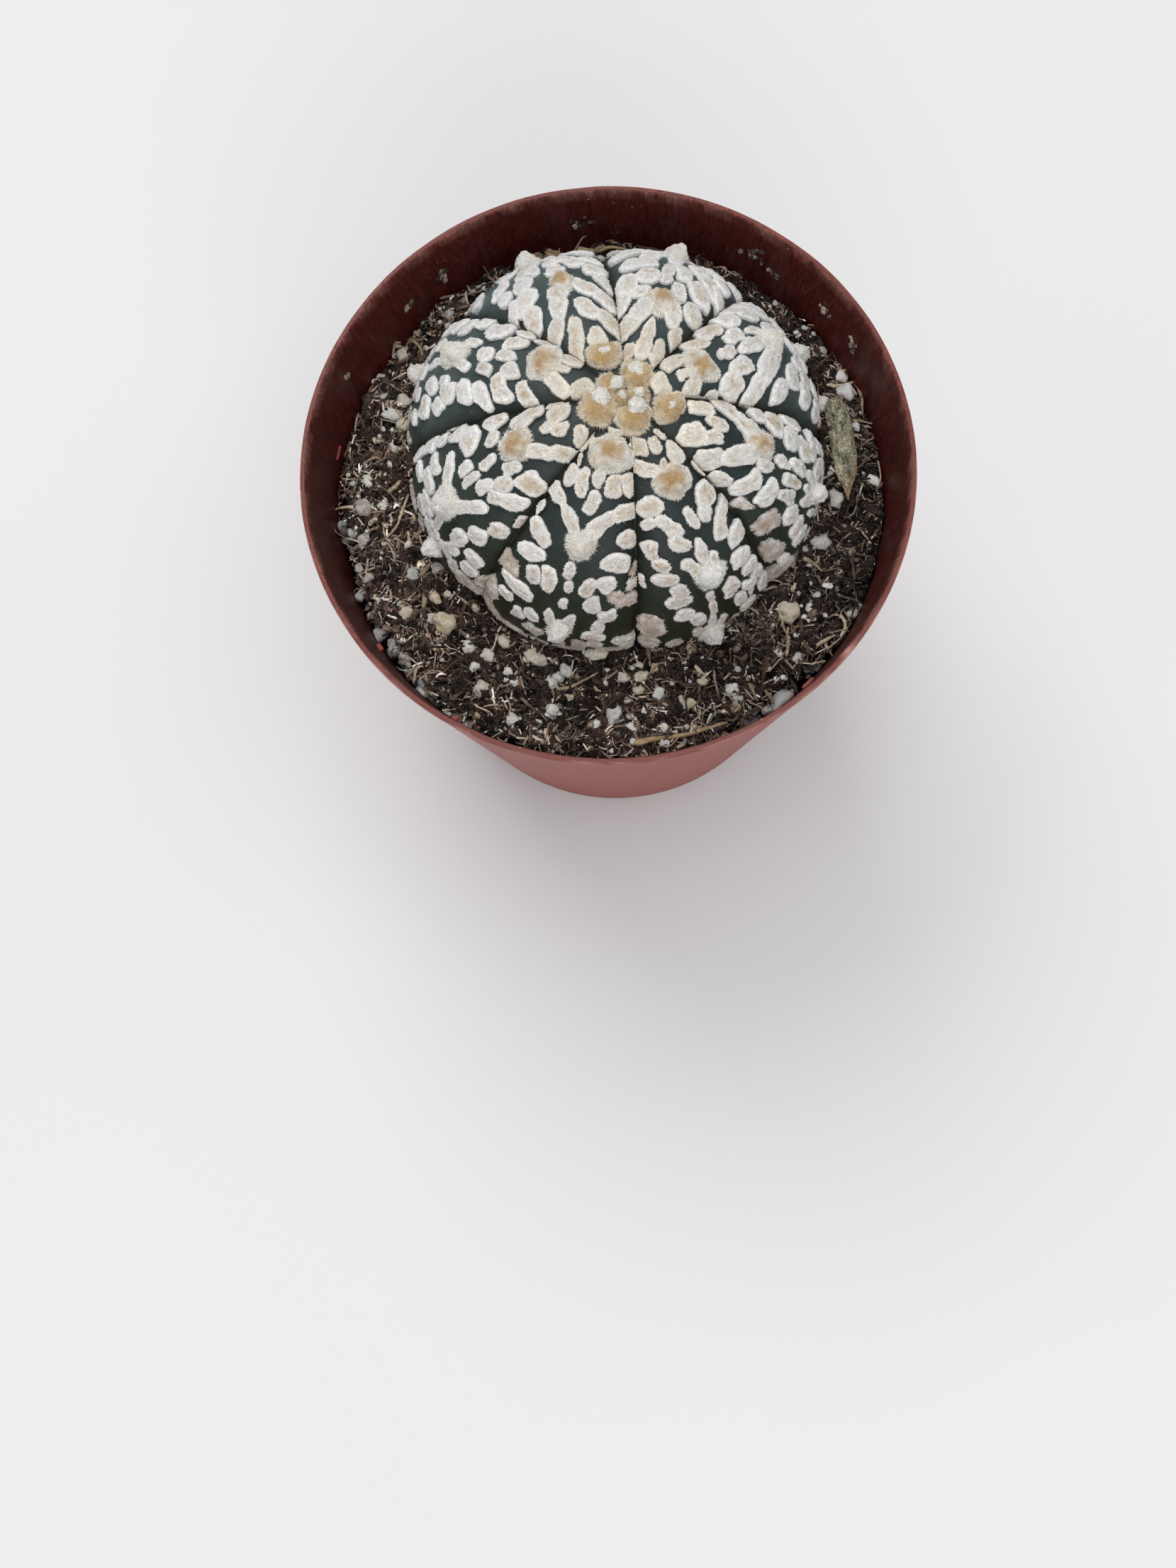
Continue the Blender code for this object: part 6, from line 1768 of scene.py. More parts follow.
@dataclass
class NurseryPot:
    """The thin-walled plastic pot."""

    height: float = 88.0
    rim: float = 51.0
    foot: float = 34.0
    foot_inner: float = 28.0
    low_wall: float = 33.4
    wall: float = 1.0
    base_top: float = 2.4
    recess: float = 1.2
    sides: int = 180
    drain_count: int = 6
    drain_radius: float = 4.0
    drain_circle: float = 18.0
    nick_deg: float = -39.5
    nick_depth: float = 0.55
    wear_depth: float = 0.14
    smooth_deg: float = 40.0
    nub_tone: Array = shade("#8c3a30")
    inside: Array = shade("#451611")
    # The inside is the same plastic as the outside, painted darker: painted shade inside the pot's mouth.
    outside: Array = shade("#8a2a1b")
    lip: Array = shade("#642f29")
    scuffed: Array = shade("#a8776c")
    worn: Array = shade("#b58477")

    def inner(self, height: Array) -> Array:
        """Gives the radius of the inner wall at a height."""
        share = (height - self.base_top) / (self.height - self.base_top)
        return self.low_wall + (self.rim - self.wall - self.low_wall) * share

    def outline(self) -> list[tuple[float, float]]:
        """Gives radius and height from the inside of the base, over the lip, to the recess.

        Returns:
            Pairs of radius and height.
        """
        top, rim = self.height, self.rim
        rows = [(self.foot - 2.2, self.base_top), (self.inner(4.0), 4.0)]
        rows += [(self.inner(z), z) for z in np.linspace(9.0, 85.5, 26)]
        rows += [(rim - self.wall, top - 0.5), (rim - self.wall + 0.08, top - 0.18)]
        rows += [(rim - self.wall + 0.25, top), (rim - 0.3, top), (rim - 0.06, top - 0.15)]
        rows += [(rim, top - 0.4), (rim - 0.05, top - 1.2), (rim - 0.3, top - 1.7)]
        low = self.foot + 0.3
        rows += [(low + (rim - 0.3 - low) * (z - 0.6) / (top - 2.3), z) for z in np.linspace(82, 4, 24)]
        rows += [(low, 0.6), (self.foot - 0.4, 0.0), (self.foot_inner, 0.0)]
        rows += [(self.foot_inner - 0.6, self.recess)]
        return rows

    def build(self) -> None:
        """Draws the wall up ring by ring, drills the base and paints the pot."""
        rows = self.outline()
        work = Workpiece("circle", vertices=self.sides, radius=rows[0][0], fill_type="NGON",
                         location=(0.0, 0.0, rows[0][1]))
        for (radius, height), (wider, higher) in zip(rows[:-1], rows[1:]):
            work.extruded(higher - height, wider / radius)
        pot = work.done("nursery_pot")
        self.drill(pot)
        bpy.ops.object.transform_apply(location=True, rotation=False, scale=False)
        points = points_of(pot)
        radius, azimuth = around(points)
        ring = ringed(30.0, azimuth, points[:, 2] * 0.2)
        high = smooth((points[:, 2] - 60.0) / 28.0)
        moved = radius - 0.12 * high * np.abs(Relief(5).layered(ring, 16.0, 2))
        lip = smooth((points[:, 2] - self.height + 1.0) / 1.0)
        wear = np.clip(Relief(6).layered(ring, 3.0, 3), 0.0, 1.0)
        drop = self.wear_depth * lip * wear
        nick = np.exp(-((wrapped(azimuth - math.radians(self.nick_deg)) * 50 / 0.9) ** 2)) * lip
        points[:, 0], points[:, 1] = moved * np.cos(azimuth), moved * np.sin(azimuth)
        points[:, 2] -= drop + nick * self.nick_depth
        reshape(pot, points)
        finish = PlasticFinish("pot inside", 1.0).material()
        paint(pot, self.tint(points, radius, ring, lip, nick), finish, rounded=False)
        self.two_sided(pot)
        choose(pot)
        bpy.ops.object.shade_smooth_by_angle(angle=math.radians(self.smooth_deg))
        fitted(pot, "pot_plastic", "pot")
        self.nubs(finish)

    def tint(self, points: Array, radius: Array, ring: Array, lip: Array, nick: Array) -> Array:
        """Colours the pot: painted shade makes it darker inside, and it is rubbed pale along the edges of its
        lip.

        Args:
            points: rows of X, Y and Z.
            radius: distance of each from Z before the pot was worn.
            ring: places where the noise is read.
            lip: how near to the lip.
            nick: how near to the nick.

        Returns:
            A colour for each point.
        """
        within = radius < self.inner(points[:, 2]) + 0.45
        # Faces of the inner wall take the darker inside colour, which is painted shade.
        colour = np.where(within[:, None], self.inside, self.outside)
        colour = mix(colour, self.lip, lip * 0.9)
        edges = np.exp(-(((radius - self.rim) / 0.14) ** 2))
        edges = edges + 0.7 * np.exp(-(((radius - self.rim + self.wall) / 0.14) ** 2))
        rubbed = lip * edges * smooth(0.55 + Relief(8).layered(ring, 1.6, 4, 0.7))
        colour = mix(colour, self.worn, np.clip(rubbed * 0.75 + nick, 0.0, 0.9))
        return mix(colour, self.scuffed, np.where(within, 0.0, 0.12))

    def two_sided(self, pot: Piece) -> None:
        """Gives the faces outside their own material.

        Args:
            pot: the pot.
        """
        pot.data.materials.append(PlasticFinish("pot outside", 0.16).material())
        for face in pot.data.polygons:
            middle = np.array(face.center) / MM
            outer = math.hypot(middle[0], middle[1]) > self.inner(middle[2]) + 0.4
            face.material_index = int(outer or middle[2] < self.base_top - 0.1)

    def nubs(self, finish: Material) -> None:
        """Sets the moulding nubs on the inner wall.

        Args:
            finish: its material.
        """
        work = Workpiece("cube", size=1.0)
        bpy.ops.mesh.bevel(offset=0.22, segments=2, affect="EDGES")
        stamp = Stamp.taken_from(work.done()).roughened(9, 0.5, 0.12, 2)
        heap = Heap()
        for x, y, height, wide, tall, deep in NUBS:
            out = unit(np.array([[x, y, 0.0]]))
            at = out * (self.inner(height) - deep * 0.3) + UP * height
            axes = (at, np.cross(UP, out) * wide, UP[None] * tall, out * deep)
            heap.add_copies(stamp, axes, self.nub_tone[None])
        fitted(heap.piece("moulding_nubs", finish), "pot_plastic")

    def drill(self, pot: Piece) -> None:
        """Cuts the drain holes.

        Args:
            pot: the pot.
        """
        for index in range(self.drain_count):
            angle = math.tau * (index + 0.5) / self.drain_count
            spot = (self.drain_circle * math.cos(angle), self.drain_circle * math.sin(angle), 1.8)
            drill = Workpiece("cylinder", vertices=36, radius=self.drain_radius, depth=8.0,
                              location=spot).done()
            cut = pot.modifiers.new("drain", "BOOLEAN")
            cut.operation, cut.object, cut.solver = "DIFFERENCE", drill, "EXACT"
            choose(pot)
            bpy.ops.object.modifier_apply(modifier=cut.name)
            bpy.data.objects.remove(drill)


# The soil and what lies on it


class GritTone(Enum):
    """The tones of the puffed grains."""

    MUD = "#837b73"
    HONEY = "#ae9563"
    LEAD = "#8e908e"
    ASH = "#9f9c95"
    FAWN = "#b8a882"
    GREY = "#a8a8a6"
    STRAW = "#bbb39b"
    PEARL = "#b7b8b8"
    OAT = "#c7c0ad"
    BONE = "#cac9c4"
    CHALK = "#d4d3cd"
    WHITE = "#dddddb"


class StickTone(Enum):
    """The tones of the sticks, roots and threads."""

    BARK = "#644f3c"
    UMBER = "#74644a"
    HAY = "#917e60"
    RUSH = "#a08f73"
    STRAW = "#ae9a7a"
    CHAFF = "#cab99a"
    PALE = "#cdc7ba"


@dataclass
class Ground:
    """The lie of the soil's skin."""

    skin: Skin
    pot: NurseryPot
    at_plant: float = 76.0
    at_wall: float = 72.6
    margin: float = 0.14
    least_gap: float = 0.8
    nearest: float = 27.0
    farthest: float = 47.4

    @property
    def wall(self) -> float:
        """Gives the radius of the inner wall where the soil meets it."""
        return self.pot.inner(self.at_wall)

    def from_plant(self, x: Array, y: Array) -> Array:
        """Gives the distance from the plant's greatest girth, seen from above."""
        return np.hypot(x - self.skin.centre[0], y - self.skin.centre[1]) - self.skin.radius

    def height(self, x: Array, y: Array) -> Array:
        """Gives the height of the soil.

        Args:
            x: X of each.
            y: Y of each.

        Returns:
            The heights.
        """
        x, y = np.asarray(x, float), np.asarray(y, float)
        level = self.at_plant + (self.at_wall - self.at_plant) * smooth(self.from_plant(x, y) / 11.0)
        waves = 0.55 * np.sin(0.47 * x + 1.3) * np.cos(0.41 * y - 0.6)
        waves = waves + 0.35 * np.sin(0.93 * x - 0.5 * y + 2.1) + 0.25 * np.cos(1.21 * y + 0.37 * x)
        spots = np.stack([x, y, np.zeros_like(x)], axis=-1).reshape(-1, 3)
        rough = Relief(61).layered(spots, 5.2, 4, 0.6).reshape(x.shape)
        return level + waves + 0.95 * rough

    def drawn_back(self, azimuth: Array) -> Array:
        """Gives how far the soil has drawn back from the wall.

        Args:
            azimuth: direction seen from above, in radians.

        Returns:
            The distances.
        """
        back = np.full(np.shape(azimuth), self.least_gap)
        for middle_deg, width_deg, depth in GAPS:
            off = wrapped(azimuth - math.radians(middle_deg)) / math.radians(width_deg)
            back = back + depth * np.exp(-(off**2))
        return back

    def edge(self, azimuth: Array) -> Array:
        """Gives the radius where the soil's skin ends."""
        ragged = Relief(63).layered(ringed(46.0, azimuth, 0.0), 4.0, 4, 0.6) * 0.9
        return self.wall - self.drawn_back(azimuth) + np.minimum(ragged, 0.4)

    def settle(self, heap: Heap, name: str, finish: Material, rounded: bool = True) -> None:
        """Presses a heap flat where it would stand in the wall, and fixes it to the object.

        Args:
            heap: the heap.
            name: its name.
            finish: its material.
            rounded: smooth shading.
        """
        for points in heap.points:
            reach = np.maximum(around(points)[0], 1e-6)
            share = np.minimum(1.0, (self.pot.inner(points[:, 2]) - self.margin) / reach)
            points[:, :2] *= share[:, None]
        fitted(heap.piece(name, finish, rounded), "potting_soil")

    def scattered(self, rng: Chance, count: int, inset: float = 0.3, under: float = 1.0) -> Array:
        """Scatters places over the open soil.

        Args:
            rng: the source of chance.
            count: how many places.
            inset: least distance from the wall.
            under: how far they may lie below the body's side.

        Returns:
            Rows of X, Y and Z.
        """
        found = np.empty((0, 3))
        while len(found) < count:
            azimuth = rng.uniform(-math.pi, math.pi, count * 2)
            radius = np.sqrt(rng.uniform(self.nearest**2, self.farthest**2, count * 2))
            x, y = radius * np.cos(azimuth), radius * np.sin(azimuth)
            over = radius - self.edge(azimuth)
            z = self.height(x, y) - np.maximum(over, 0.0) * 2.2
            keep = (self.from_plant(x, y) > -under) & (radius < self.pot.inner(z) - inset) & (over < 1.2)
            found = np.concatenate([found, np.stack([x, y, z], axis=1)[keep]])
        return found[:count]


@dataclass(frozen=True)
class Rod:
    """A straight rod that is laid along a path as a stick, root or thread."""

    stamp: Stamp

    @classmethod
    def turned(cls, sides: int, steps: int) -> "Rod":
        """Models the rod, one unit long and two wide.

        Args:
            sides: sides round it.
            steps: steps along it.

        Returns:
            The rod.
        """
        work = Workpiece("circle", vertices=sides, radius=1.0, fill_type="NGON")
        for _ in range(steps):
            work.extruded(1.0 / steps)
        return cls(Stamp.taken_from(work.done()))

    def along(self, path: Array, radius: float, seed: int, knots: float = 0.25,
              taper: float = 0.45) -> Array:
        """Lays the rod along a path.

        Args:
            path: rows of X, Y and Z that it passes through.
            radius: half its width at the thick end.
            seed: chance of its knots.
            knots: how uneven it is.
            taper: share of the width lost towards its end.

        Returns:
            The rod's points.
        """
        start = self.stamp.points
        share = np.clip(start[:, 2], 0.0, 1.0)
        centre, ahead = self.curve(path, share), self.curve(path, share + 0.02)
        way = unit(ahead - centre)
        side = unit(np.cross(way, UP))
        over = np.cross(side, way)
        rim = side * start[:, :1] + over * start[:, 1:2]
        spots = np.stack([start[:, 0], start[:, 1], share * 9.0], axis=1) + seed * 3.1
        swell = 1.0 + knots * Relief(seed).layered(spots, 1.3, 2) if knots else np.ones(len(start))
        thick = radius * swell * (1.0 - taper * share)
        closing = np.minimum(1.0, 0.25 + 12.0 * np.minimum(share, 1.0 - share))
        return centre + rim * (thick * closing)[:, None]

    @staticmethod
    def curve(path: Array, share: Array) -> Array:
        """Gives points of a smooth curve through a path.

        Args:
            path: the points on its way.
            share: how far along, from 0 to 1.

        Returns:
            Rows of X, Y and Z.
        """
        ends = np.concatenate([[2 * path[0] - path[1]], path, [2 * path[-1] - path[-2]]])
        place = share * (len(path) - 1)
        step = np.clip(np.floor(place).astype(int), 0, len(path) - 2)
        t = (place - step)[:, None]
        a, b, c, d = (ends[step + k] for k in range(4))
        return 0.5 * (2 * b + (c - a) * t + (2 * a - 5 * b + 4 * c - d) * t**2
                      + (3 * b - a - 3 * c + d) * t**3)


@dataclass
class Soil:
    """The root ball with its crumbs, shreds, rootlets and puffed grit."""

    ground: Ground
    sides: int = 400
    inner: float = 26.0
    outer: float = 46.5
    rings: int = 50
    made_at: float = 100.0
    clearance: float = 0.45
    threads: int = 2300
    shreds: int = 2500
    curls: int = 640
    crumbs: int = 1200
    clods: int = 260
    grit: int = 300
    hidden_grit: int = 120
    gap_spans_deg: tuple = ((-178.0, -118.0), (-64.0, -30.0))
    left_share: float = 0.68
    dark: Array = shade("#070404")
    pale: Array = shade("#43342e")
    stick_dust: Array = shade("#a39a8c")
    grain_dust: Array = shade("#c9c2b4")

    def build(self) -> None:
        """Builds every part of the soil."""
        earth = PeatFinish("potting soil").material()
        litter = EarthFinish("peat shreds", 0.4, 0.5, 1.5, 0.06).material()
        self.bed(earth)
        rng = np.random.default_rng(101)
        self.crumbled(earth, rng)
        self.shredded(litter, rng)
        self.threaded(litter, rng)
        self.sticks(litter)
        self.gritted(rng)

    def ball(self) -> Piece:
        """Models the root ball as a round cake with a fine net of rings on top.

        Returns:
            The ball, flat on top and higher than it will be.
        """
        work = Workpiece("circle", vertices=self.sides, radius=self.inner, fill_type="NGON",
                         location=(0.0, 0.0, self.made_at))
        radii = np.linspace(self.inner, self.outer, self.rings)
        for first, second in zip(radii[:-1], radii[1:]):
            work.extruded(0.0, second / first)
        levels = [self.made_at, 99.2, 98.2, 96.8, 94.5, 91.0, 60.0, 30.0, 4.8, 2.75]
        for first, second in zip(levels[:-1], levels[1:]):
            work.extruded(second - first, 0.93 if second == levels[-1] else 1.0)
        ball = work.done("root_ball")
        bpy.ops.object.transform_apply(location=True, rotation=False, scale=False)
        return ball

    def bed(self, finish: Material) -> None:
        """Brings the root ball to its height, with lumps on it and gaps at the wall.

        Args:
            finish: its material.
        """
        ball = self.ball()
        points = points_of(ball)
        radius, azimuth = around(points)
        edge = self.ground.edge(azimuth)
        below = self.made_at - points[:, 2]
        share = np.clip((radius - self.inner) / (self.outer - self.inner), 0.0, 1.0)
        flat = self.inner + (edge - self.inner) * share
        x, y = flat * np.cos(azimuth), flat * np.sin(azimuth)
        height = self.ground.height(x, y)
        side = (below > 0.4) & (below < 10.0)
        deep = below >= 10.0
        z = np.where(deep, points[:, 2], height - below)
        wall = self.ground.pot.inner(z) - self.clearance
        flat = np.where(side, flat + (wall - flat) * smooth(below / 9.0), flat)
        last = points[:, 2] < 3.0
        flat = np.where(deep, np.where(last, wall - 2.4, wall), flat)
        placed = ringed(flat, azimuth, z)
        lumps = np.abs(Relief(65).layered(placed, 2.6, 3, 0.6))
        placed[:, 2] += np.where(side | deep, 0.0, lumps * 2.1 - 0.75)
        placed[:, :2] *= (1.0 - np.where(side, (0.5 - lumps) * 0.035, 0.0))[:, None]
        reshape(ball, placed)
        paint(ball, self.tint(placed, lumps), finish)
        fitted(ball, "potting_soil", "soil")

    def tint(self, points: Array, lumps: Array) -> Array:
        """Colours the root ball: pale where it has dried, and dark between its lumps as painted shade.

        Args:
            points: rows of X, Y and Z.
            lumps: how high on a lump each lies.

        Returns:
            A colour for each point.
        """
        tone = smooth(0.45 + 0.8 * Relief(66).layered(points, 2.2, 4, 0.65))
        patch = np.maximum(self.dried(points) * 1.2 - 0.35, 0.15)
        colour = mix(self.dark, self.pale, tone) * patch
        # Down to 12% of the colour where the lumps sink in: painted shade in the crevices between lumps.
        return colour * (0.12 + 0.88 * smooth(lumps / 0.3))[:, None]

    @staticmethod
    def dried(points: Array) -> Array:
        """Gives how much paler the soil is where it has dried, at the left and in front.

        Args:
            points: rows of X, Y and Z.

        Returns:
            A factor for each.
        """
        left = smooth((-24.0 - points[:, 0]) / 12.0) * smooth((points[:, 1] + 34.0) / 10.0)
        front = smooth((-24.0 - points[:, 1]) / 8.0)
        patchy = 0.5 * Relief(68).layered(points, 6.0, 3)
        return (1.0 + 0.55 * left + 0.25 * front + patchy)[:, None]

    def matted(self, rng: Chance, count: int) -> Array:
        """Gives places for litter, more of them where the soil has dried.

        Args:
            rng: the source of chance.
            count: how many.

        Returns:
            Rows of X, Y and Z.
        """
        more = self.ground.scattered(rng, count)
        more = more[self.dried(more)[:, 0] > 1.2 + 0.4 * rng.random(count)]
        return np.concatenate([self.ground.scattered(rng, count), more])

    def crumbled(self, finish: Material, rng: Chance) -> None:
        """Scatters crumbs and clods.

        Args:
            finish: its material.
            rng: the source of chance.
        """
        heap = Heap()
        browns = shades("#0c0807 #281f1b #5c4a3c #8f7e6c #c9bba8")
        smalls = Stamp.pebbles(1, range(4), 0.8, 0.35)
        larges = Stamp.pebbles(2, range(6), 0.55, 0.4)
        for stamps, count, low, high in ((smalls, self.crumbs, 0.14, 0.45), (larges, self.clods, 0.45, 0.95)):
            places = self.ground.scattered(rng, count)
            sizes = rng.uniform(low, high, count)
            tints = browns[rng.choice(5, count, p=(0.26, 0.26, 0.22, 0.16, 0.1))]
            self.strewn(heap, stamps, places, sizes, tints * self.dried(places), rng, 0.15)
        self.ground.settle(heap, "soil_crumbs", finish)

    @staticmethod
    def strewn(heap: Heap, stamps: list[Stamp], places: Array, sizes: Array,
               tints: Array, rng: Chance, lift: float) -> None:
        """Puts lumps down at places, each turned its own way.

        Args:
            heap: what they are added to.
            stamps: lump shapes to pick from.
            places: rows of X, Y and Z on the ground.
            sizes: half width of each.
            tints: colour of each.
            rng: the source of chance.
            lift: share of the half width that the middle lies above the ground.
        """
        count = len(places)
        direction = unit(rng.normal(size=(count, 3)))
        first, second = frames(direction, rng.uniform(0.0, math.tau, count))
        places = places + UP * (sizes * lift)[:, None]
        stretch = rng.uniform(0.7, 1.25, (3, count, 1)) * sizes[:, None]
        axes = (places, first * stretch[0], second * stretch[1], direction * stretch[2])
        heap.add_mixed(stamps, axes, tints, rng)

    @staticmethod
    def shred(bend: float, twist: float, steps: int = 3) -> Stamp:
        """Models a curled shred one unit long.

        Args:
            bend: how far it bends.
            twist: its turn at each step, in radians.
            steps: steps along it.

        Returns:
            The stamp.
        """
        work = Workpiece("circle", vertices=3, radius=1.0, fill_type="NGON")
        for step, swell in zip(range(steps), (1.1, 1.0, 0.6, 0.9)):
            turn = math.sin(2.4 * (step + 1) / steps)
            work.extruded(1.0 / steps, swell, (bend * turn, bend * math.cos(twist * (step + 1))))
            bpy.ops.transform.rotate(value=twist, orient_axis="Z", center_override=(0.0, 0.0, 0.0))
        return Stamp.taken_from(work.done())

    def shredded(self, finish: Material, rng: Chance) -> None:
        """Scatters short peat shreds.

        Args:
            finish: its material.
            rng: the source of chance.
        """
        tones = shades("#2c221e #4a3a31 #705d4f #918070 #b3a594 #d6ccbf")
        heap, places = Heap(), self.matted(rng, self.shreds)
        count = len(places)
        stamps = [self.shred(b, t) for b, t in ((0.5, 0.3), (1.2, 0.5), (0.2, 0.9), (1.8, -0.4))]
        turn = rng.uniform(0.0, math.tau, count)
        length = rng.lognormal(0.4, 0.45, count).clip(0.6, 3.6)
        width = (rng.uniform(0.06, 0.2, count) * length**0.3).clip(0.06, 0.3)
        tints = tones[rng.choice(6, count, p=(0.32, 0.22, 0.16, 0.14, 0.1, 0.06))]
        self.laid(heap, stamps, places, turn, length, width, 0.45, tints * self.dried(places), rng)
        places = self.ground.scattered(rng, self.curls)
        count = len(places)
        turn = rng.uniform(0.0, math.tau, count)
        length, width = rng.uniform(1.2, 4.0, count), rng.uniform(0.2, 0.46, count)
        stamps = [self.shred(b, t, 4) for b, t in ((1.6, 0.5), (2.4, -0.6), (1.1, 0.9), (3.0, 0.4))]
        tints = tones[rng.choice(6, count, p=(0.26, 0.3, 0.22, 0.13, 0.06, 0.03))]
        self.laid(heap, stamps, places, turn, length, width, 0.35, tints * self.dried(places), rng)
        self.ground.settle(heap, "peat_shreds", finish, rounded=False)

    def threaded(self, finish: Material, rng: Chance) -> None:
        """Lays fine curled fibres over the soil.

        Args:
            finish: its material.
            rng: the source of chance.
        """
        heap, rod = Heap(), Rod.turned(3, 4)
        tones = shades("#382d27 #54473f #75675d #988a7c #bbad9e #dcd3c5")
        places = [self.matted(rng, self.threads)]
        for x, y, spread, number in FIBRE_CLUMPS:
            spots = np.array([x, y]) + rng.normal(0.0, spread, (number, 2))
            places.append(np.column_stack([spots, self.ground.height(spots[:, 0], spots[:, 1])]))
        clumped = len(places[0])
        places = np.concatenate(places)
        count, paths = len(places), self.curled(rng, places)
        tints = tones[rng.choice(6, count, p=(0.3, 0.22, 0.18, 0.14, 0.1, 0.06))] * self.dried(places)
        tints[clumped:] = mix(tints[clumped:], tones[4], 0.6)
        radius = rng.lognormal(-2.6, 0.4, count).clip(0.04, 0.16)
        for number, path in enumerate(paths):
            heap.add(rod.along(path, radius[number], number, 0.0, 0.5), rod.stamp.faces, tints[number])
        self.ground.settle(heap, "peat_fibres", finish)

    def curled(self, rng: Chance, places: Array, bends: int = 4) -> Array:
        """Lets a fibre wander over the soil from each place.

        Args:
            rng: the source of chance.
            places: rows of X, Y and Z.
            bends: number of points of each fibre.

        Returns:
            For each place its rows of X, Y and Z.
        """
        count = len(places)
        length = rng.lognormal(0.75, 0.5, count).clip(0.8, 7.0)
        heading = rng.uniform(0.0, math.tau, (count, 1)) + np.cumsum(rng.normal(0.0, 0.8, (count, bends)), 1)
        step = np.stack([np.cos(heading), np.sin(heading)], axis=-1) * (length / bends)[:, None, None]
        flat = places[:, None, :2] + np.cumsum(step, axis=1)
        reach = np.linalg.norm(flat, axis=-1)
        azimuth = np.arctan2(flat[..., 1], flat[..., 0])
        flat = flat * np.minimum(1.0, (self.ground.wall - 0.6) / reach)[..., None]
        over = np.maximum(reach - self.ground.edge(azimuth.ravel()).reshape(reach.shape), 0.0)
        lift = 0.25 + np.abs(rng.normal(0.0, 0.3, (count, bends)))
        lift[:, 0] = lift[:, -1] = 0.05
        height = self.ground.height(flat[..., 0], flat[..., 1]) + lift - over * 0.7
        return np.concatenate([flat, height[..., None]], axis=2)

    def laid(self, heap: Heap, stamps: list[Stamp], places: Array, turn: Array, length: Array,
             width: Array, flat: float, tints: Array, rng: Chance) -> None:
        """Lays long thin shapes over the ground, from end to end of each.

        Args:
            heap: what they are added to.
            stamps: shapes to pick from.
            places: rows of X, Y and Z, the middles.
            turn: the way each points, seen from above, in radians.
            length: length of each.
            width: half width of each.
            flat: thickness as a share of the width.
            tints: colour of each.
            rng: the source of chance.
        """
        way = np.stack([np.cos(turn), np.sin(turn)], axis=1)
        ends = [places[:, :2] + way * (length * half)[:, None] for half in (-0.5, 0.5)]
        placed = []
        for end in ends:
            reach, azimuth = around(end)
            end = end * np.minimum(1.0, (self.ground.wall - 0.5) / reach)[:, None]
            over = np.maximum(around(end)[0] - self.ground.edge(azimuth), 0.0)
            height = self.ground.height(end[:, 0], end[:, 1]) - over * 0.5
            placed.append(np.column_stack([end, height + rng.uniform(-0.1, 0.55, len(end))]))
        along = placed[1] - placed[0]
        direction = unit(along)
        side = unit(np.cross(UP, direction))
        over = np.cross(direction, side)
        spin = rng.uniform(-0.9, 0.9, len(places))[:, None]
        side, over = side * np.cos(spin) + over * np.sin(spin), over * np.cos(spin) - side * np.sin(spin)
        axes = (placed[0], side * width[:, None], over * (width * flat)[:, None], along)
        heap.add_mixed(stamps, axes, tints, rng)

    def sticks(self, finish: Material) -> None:
        """Lays the sticks, roots and threads that show.

        Args:
            finish: its material.
        """
        heap, rod = Heap(), Rod.turned(8, 16)
        for seed, (radius, tone, *spots) in enumerate(STICKS, 200):
            flat = np.reshape(spots, (-1, 2))
            path = np.column_stack([flat, self.ground.height(flat[:, 0], flat[:, 1]) + 0.4 + radius * 0.6])
            points = rod.along(path, radius * 0.8, seed, 0.4)
            grain = 1.0 + 0.35 * Relief(seed).layered(points, 0.9, 2)
            dry = mix(tone_of(StickTone, tone), self.stick_dust, 0.3)
            heap.add(points, rod.stamp.faces, dry * grain[:, None])
        self.ground.settle(heap, "dry_sticks", finish)

    def gritted(self, rng: Chance) -> None:
        """Scatters the pale puffed grit, the large grains where they show.

        Args:
            rng: the source of chance.
        """
        heap = Heap()
        pale = shades("#d9d7d0 #c6c5bf #e8e6df #d2c8ae #adaea8")
        # Darker grey-lilac tones for the grit in the gap between soil and wall: painted shade on the same
        # white grit.
        gap_shade_tones = shades("#6f6a6c #86848a #5b5453 #7a706a #9a9a9c")
        stamps, count = Stamp.pebbles(2, range(20, 26), 0.8, 0.24), self.grit
        places = self.ground.scattered(rng, count)
        sizes = rng.lognormal(-1.25, 0.45, count).clip(0.12, 0.75)
        tints = pale[rng.choice(5, count, p=(0.3, 0.25, 0.15, 0.14, 0.16))]
        self.strewn(heap, stamps, places, sizes, tints, rng, 0.35)
        places = self.in_the_gap(rng)
        sizes = rng.lognormal(-0.55, 0.4, len(places)).clip(0.2, 1.3)
        tints = gap_shade_tones[rng.integers(0, 5, len(places))]
        self.strewn(heap, stamps, places, sizes, tints, rng, 0.0)
        stamps = Stamp.pebbles(3, range(30, 38), 0.62, 0.32, 3)
        for x, y, long, wide, turn_deg, tone in GRAINS:
            edge = float(self.ground.edge(np.array([math.atan2(y, x)]))[0])
            sunk = max(0.0, math.hypot(x, y) + wide * 0.3 - edge) * 1.1
            at = np.array([[x, y, float(self.ground.height(x, y)) + wide * 0.2 - sunk]])
            turn = math.radians(turn_deg)
            first = np.array([[math.cos(turn), math.sin(turn), 0.0]]) * long / 2
            second = np.array([[-math.sin(turn), math.cos(turn), 0.0]]) * wide / 2
            stamp = stamps[rng.integers(0, len(stamps))]
            tint = mix(tone_of(GritTone, tone), self.grain_dust, 0.25)
            heap.add_copies(stamp, (at, first, second, UP[None] * wide * 0.42), tint[None])
        self.ground.settle(heap, "puffed_grit", GritFinish().material())

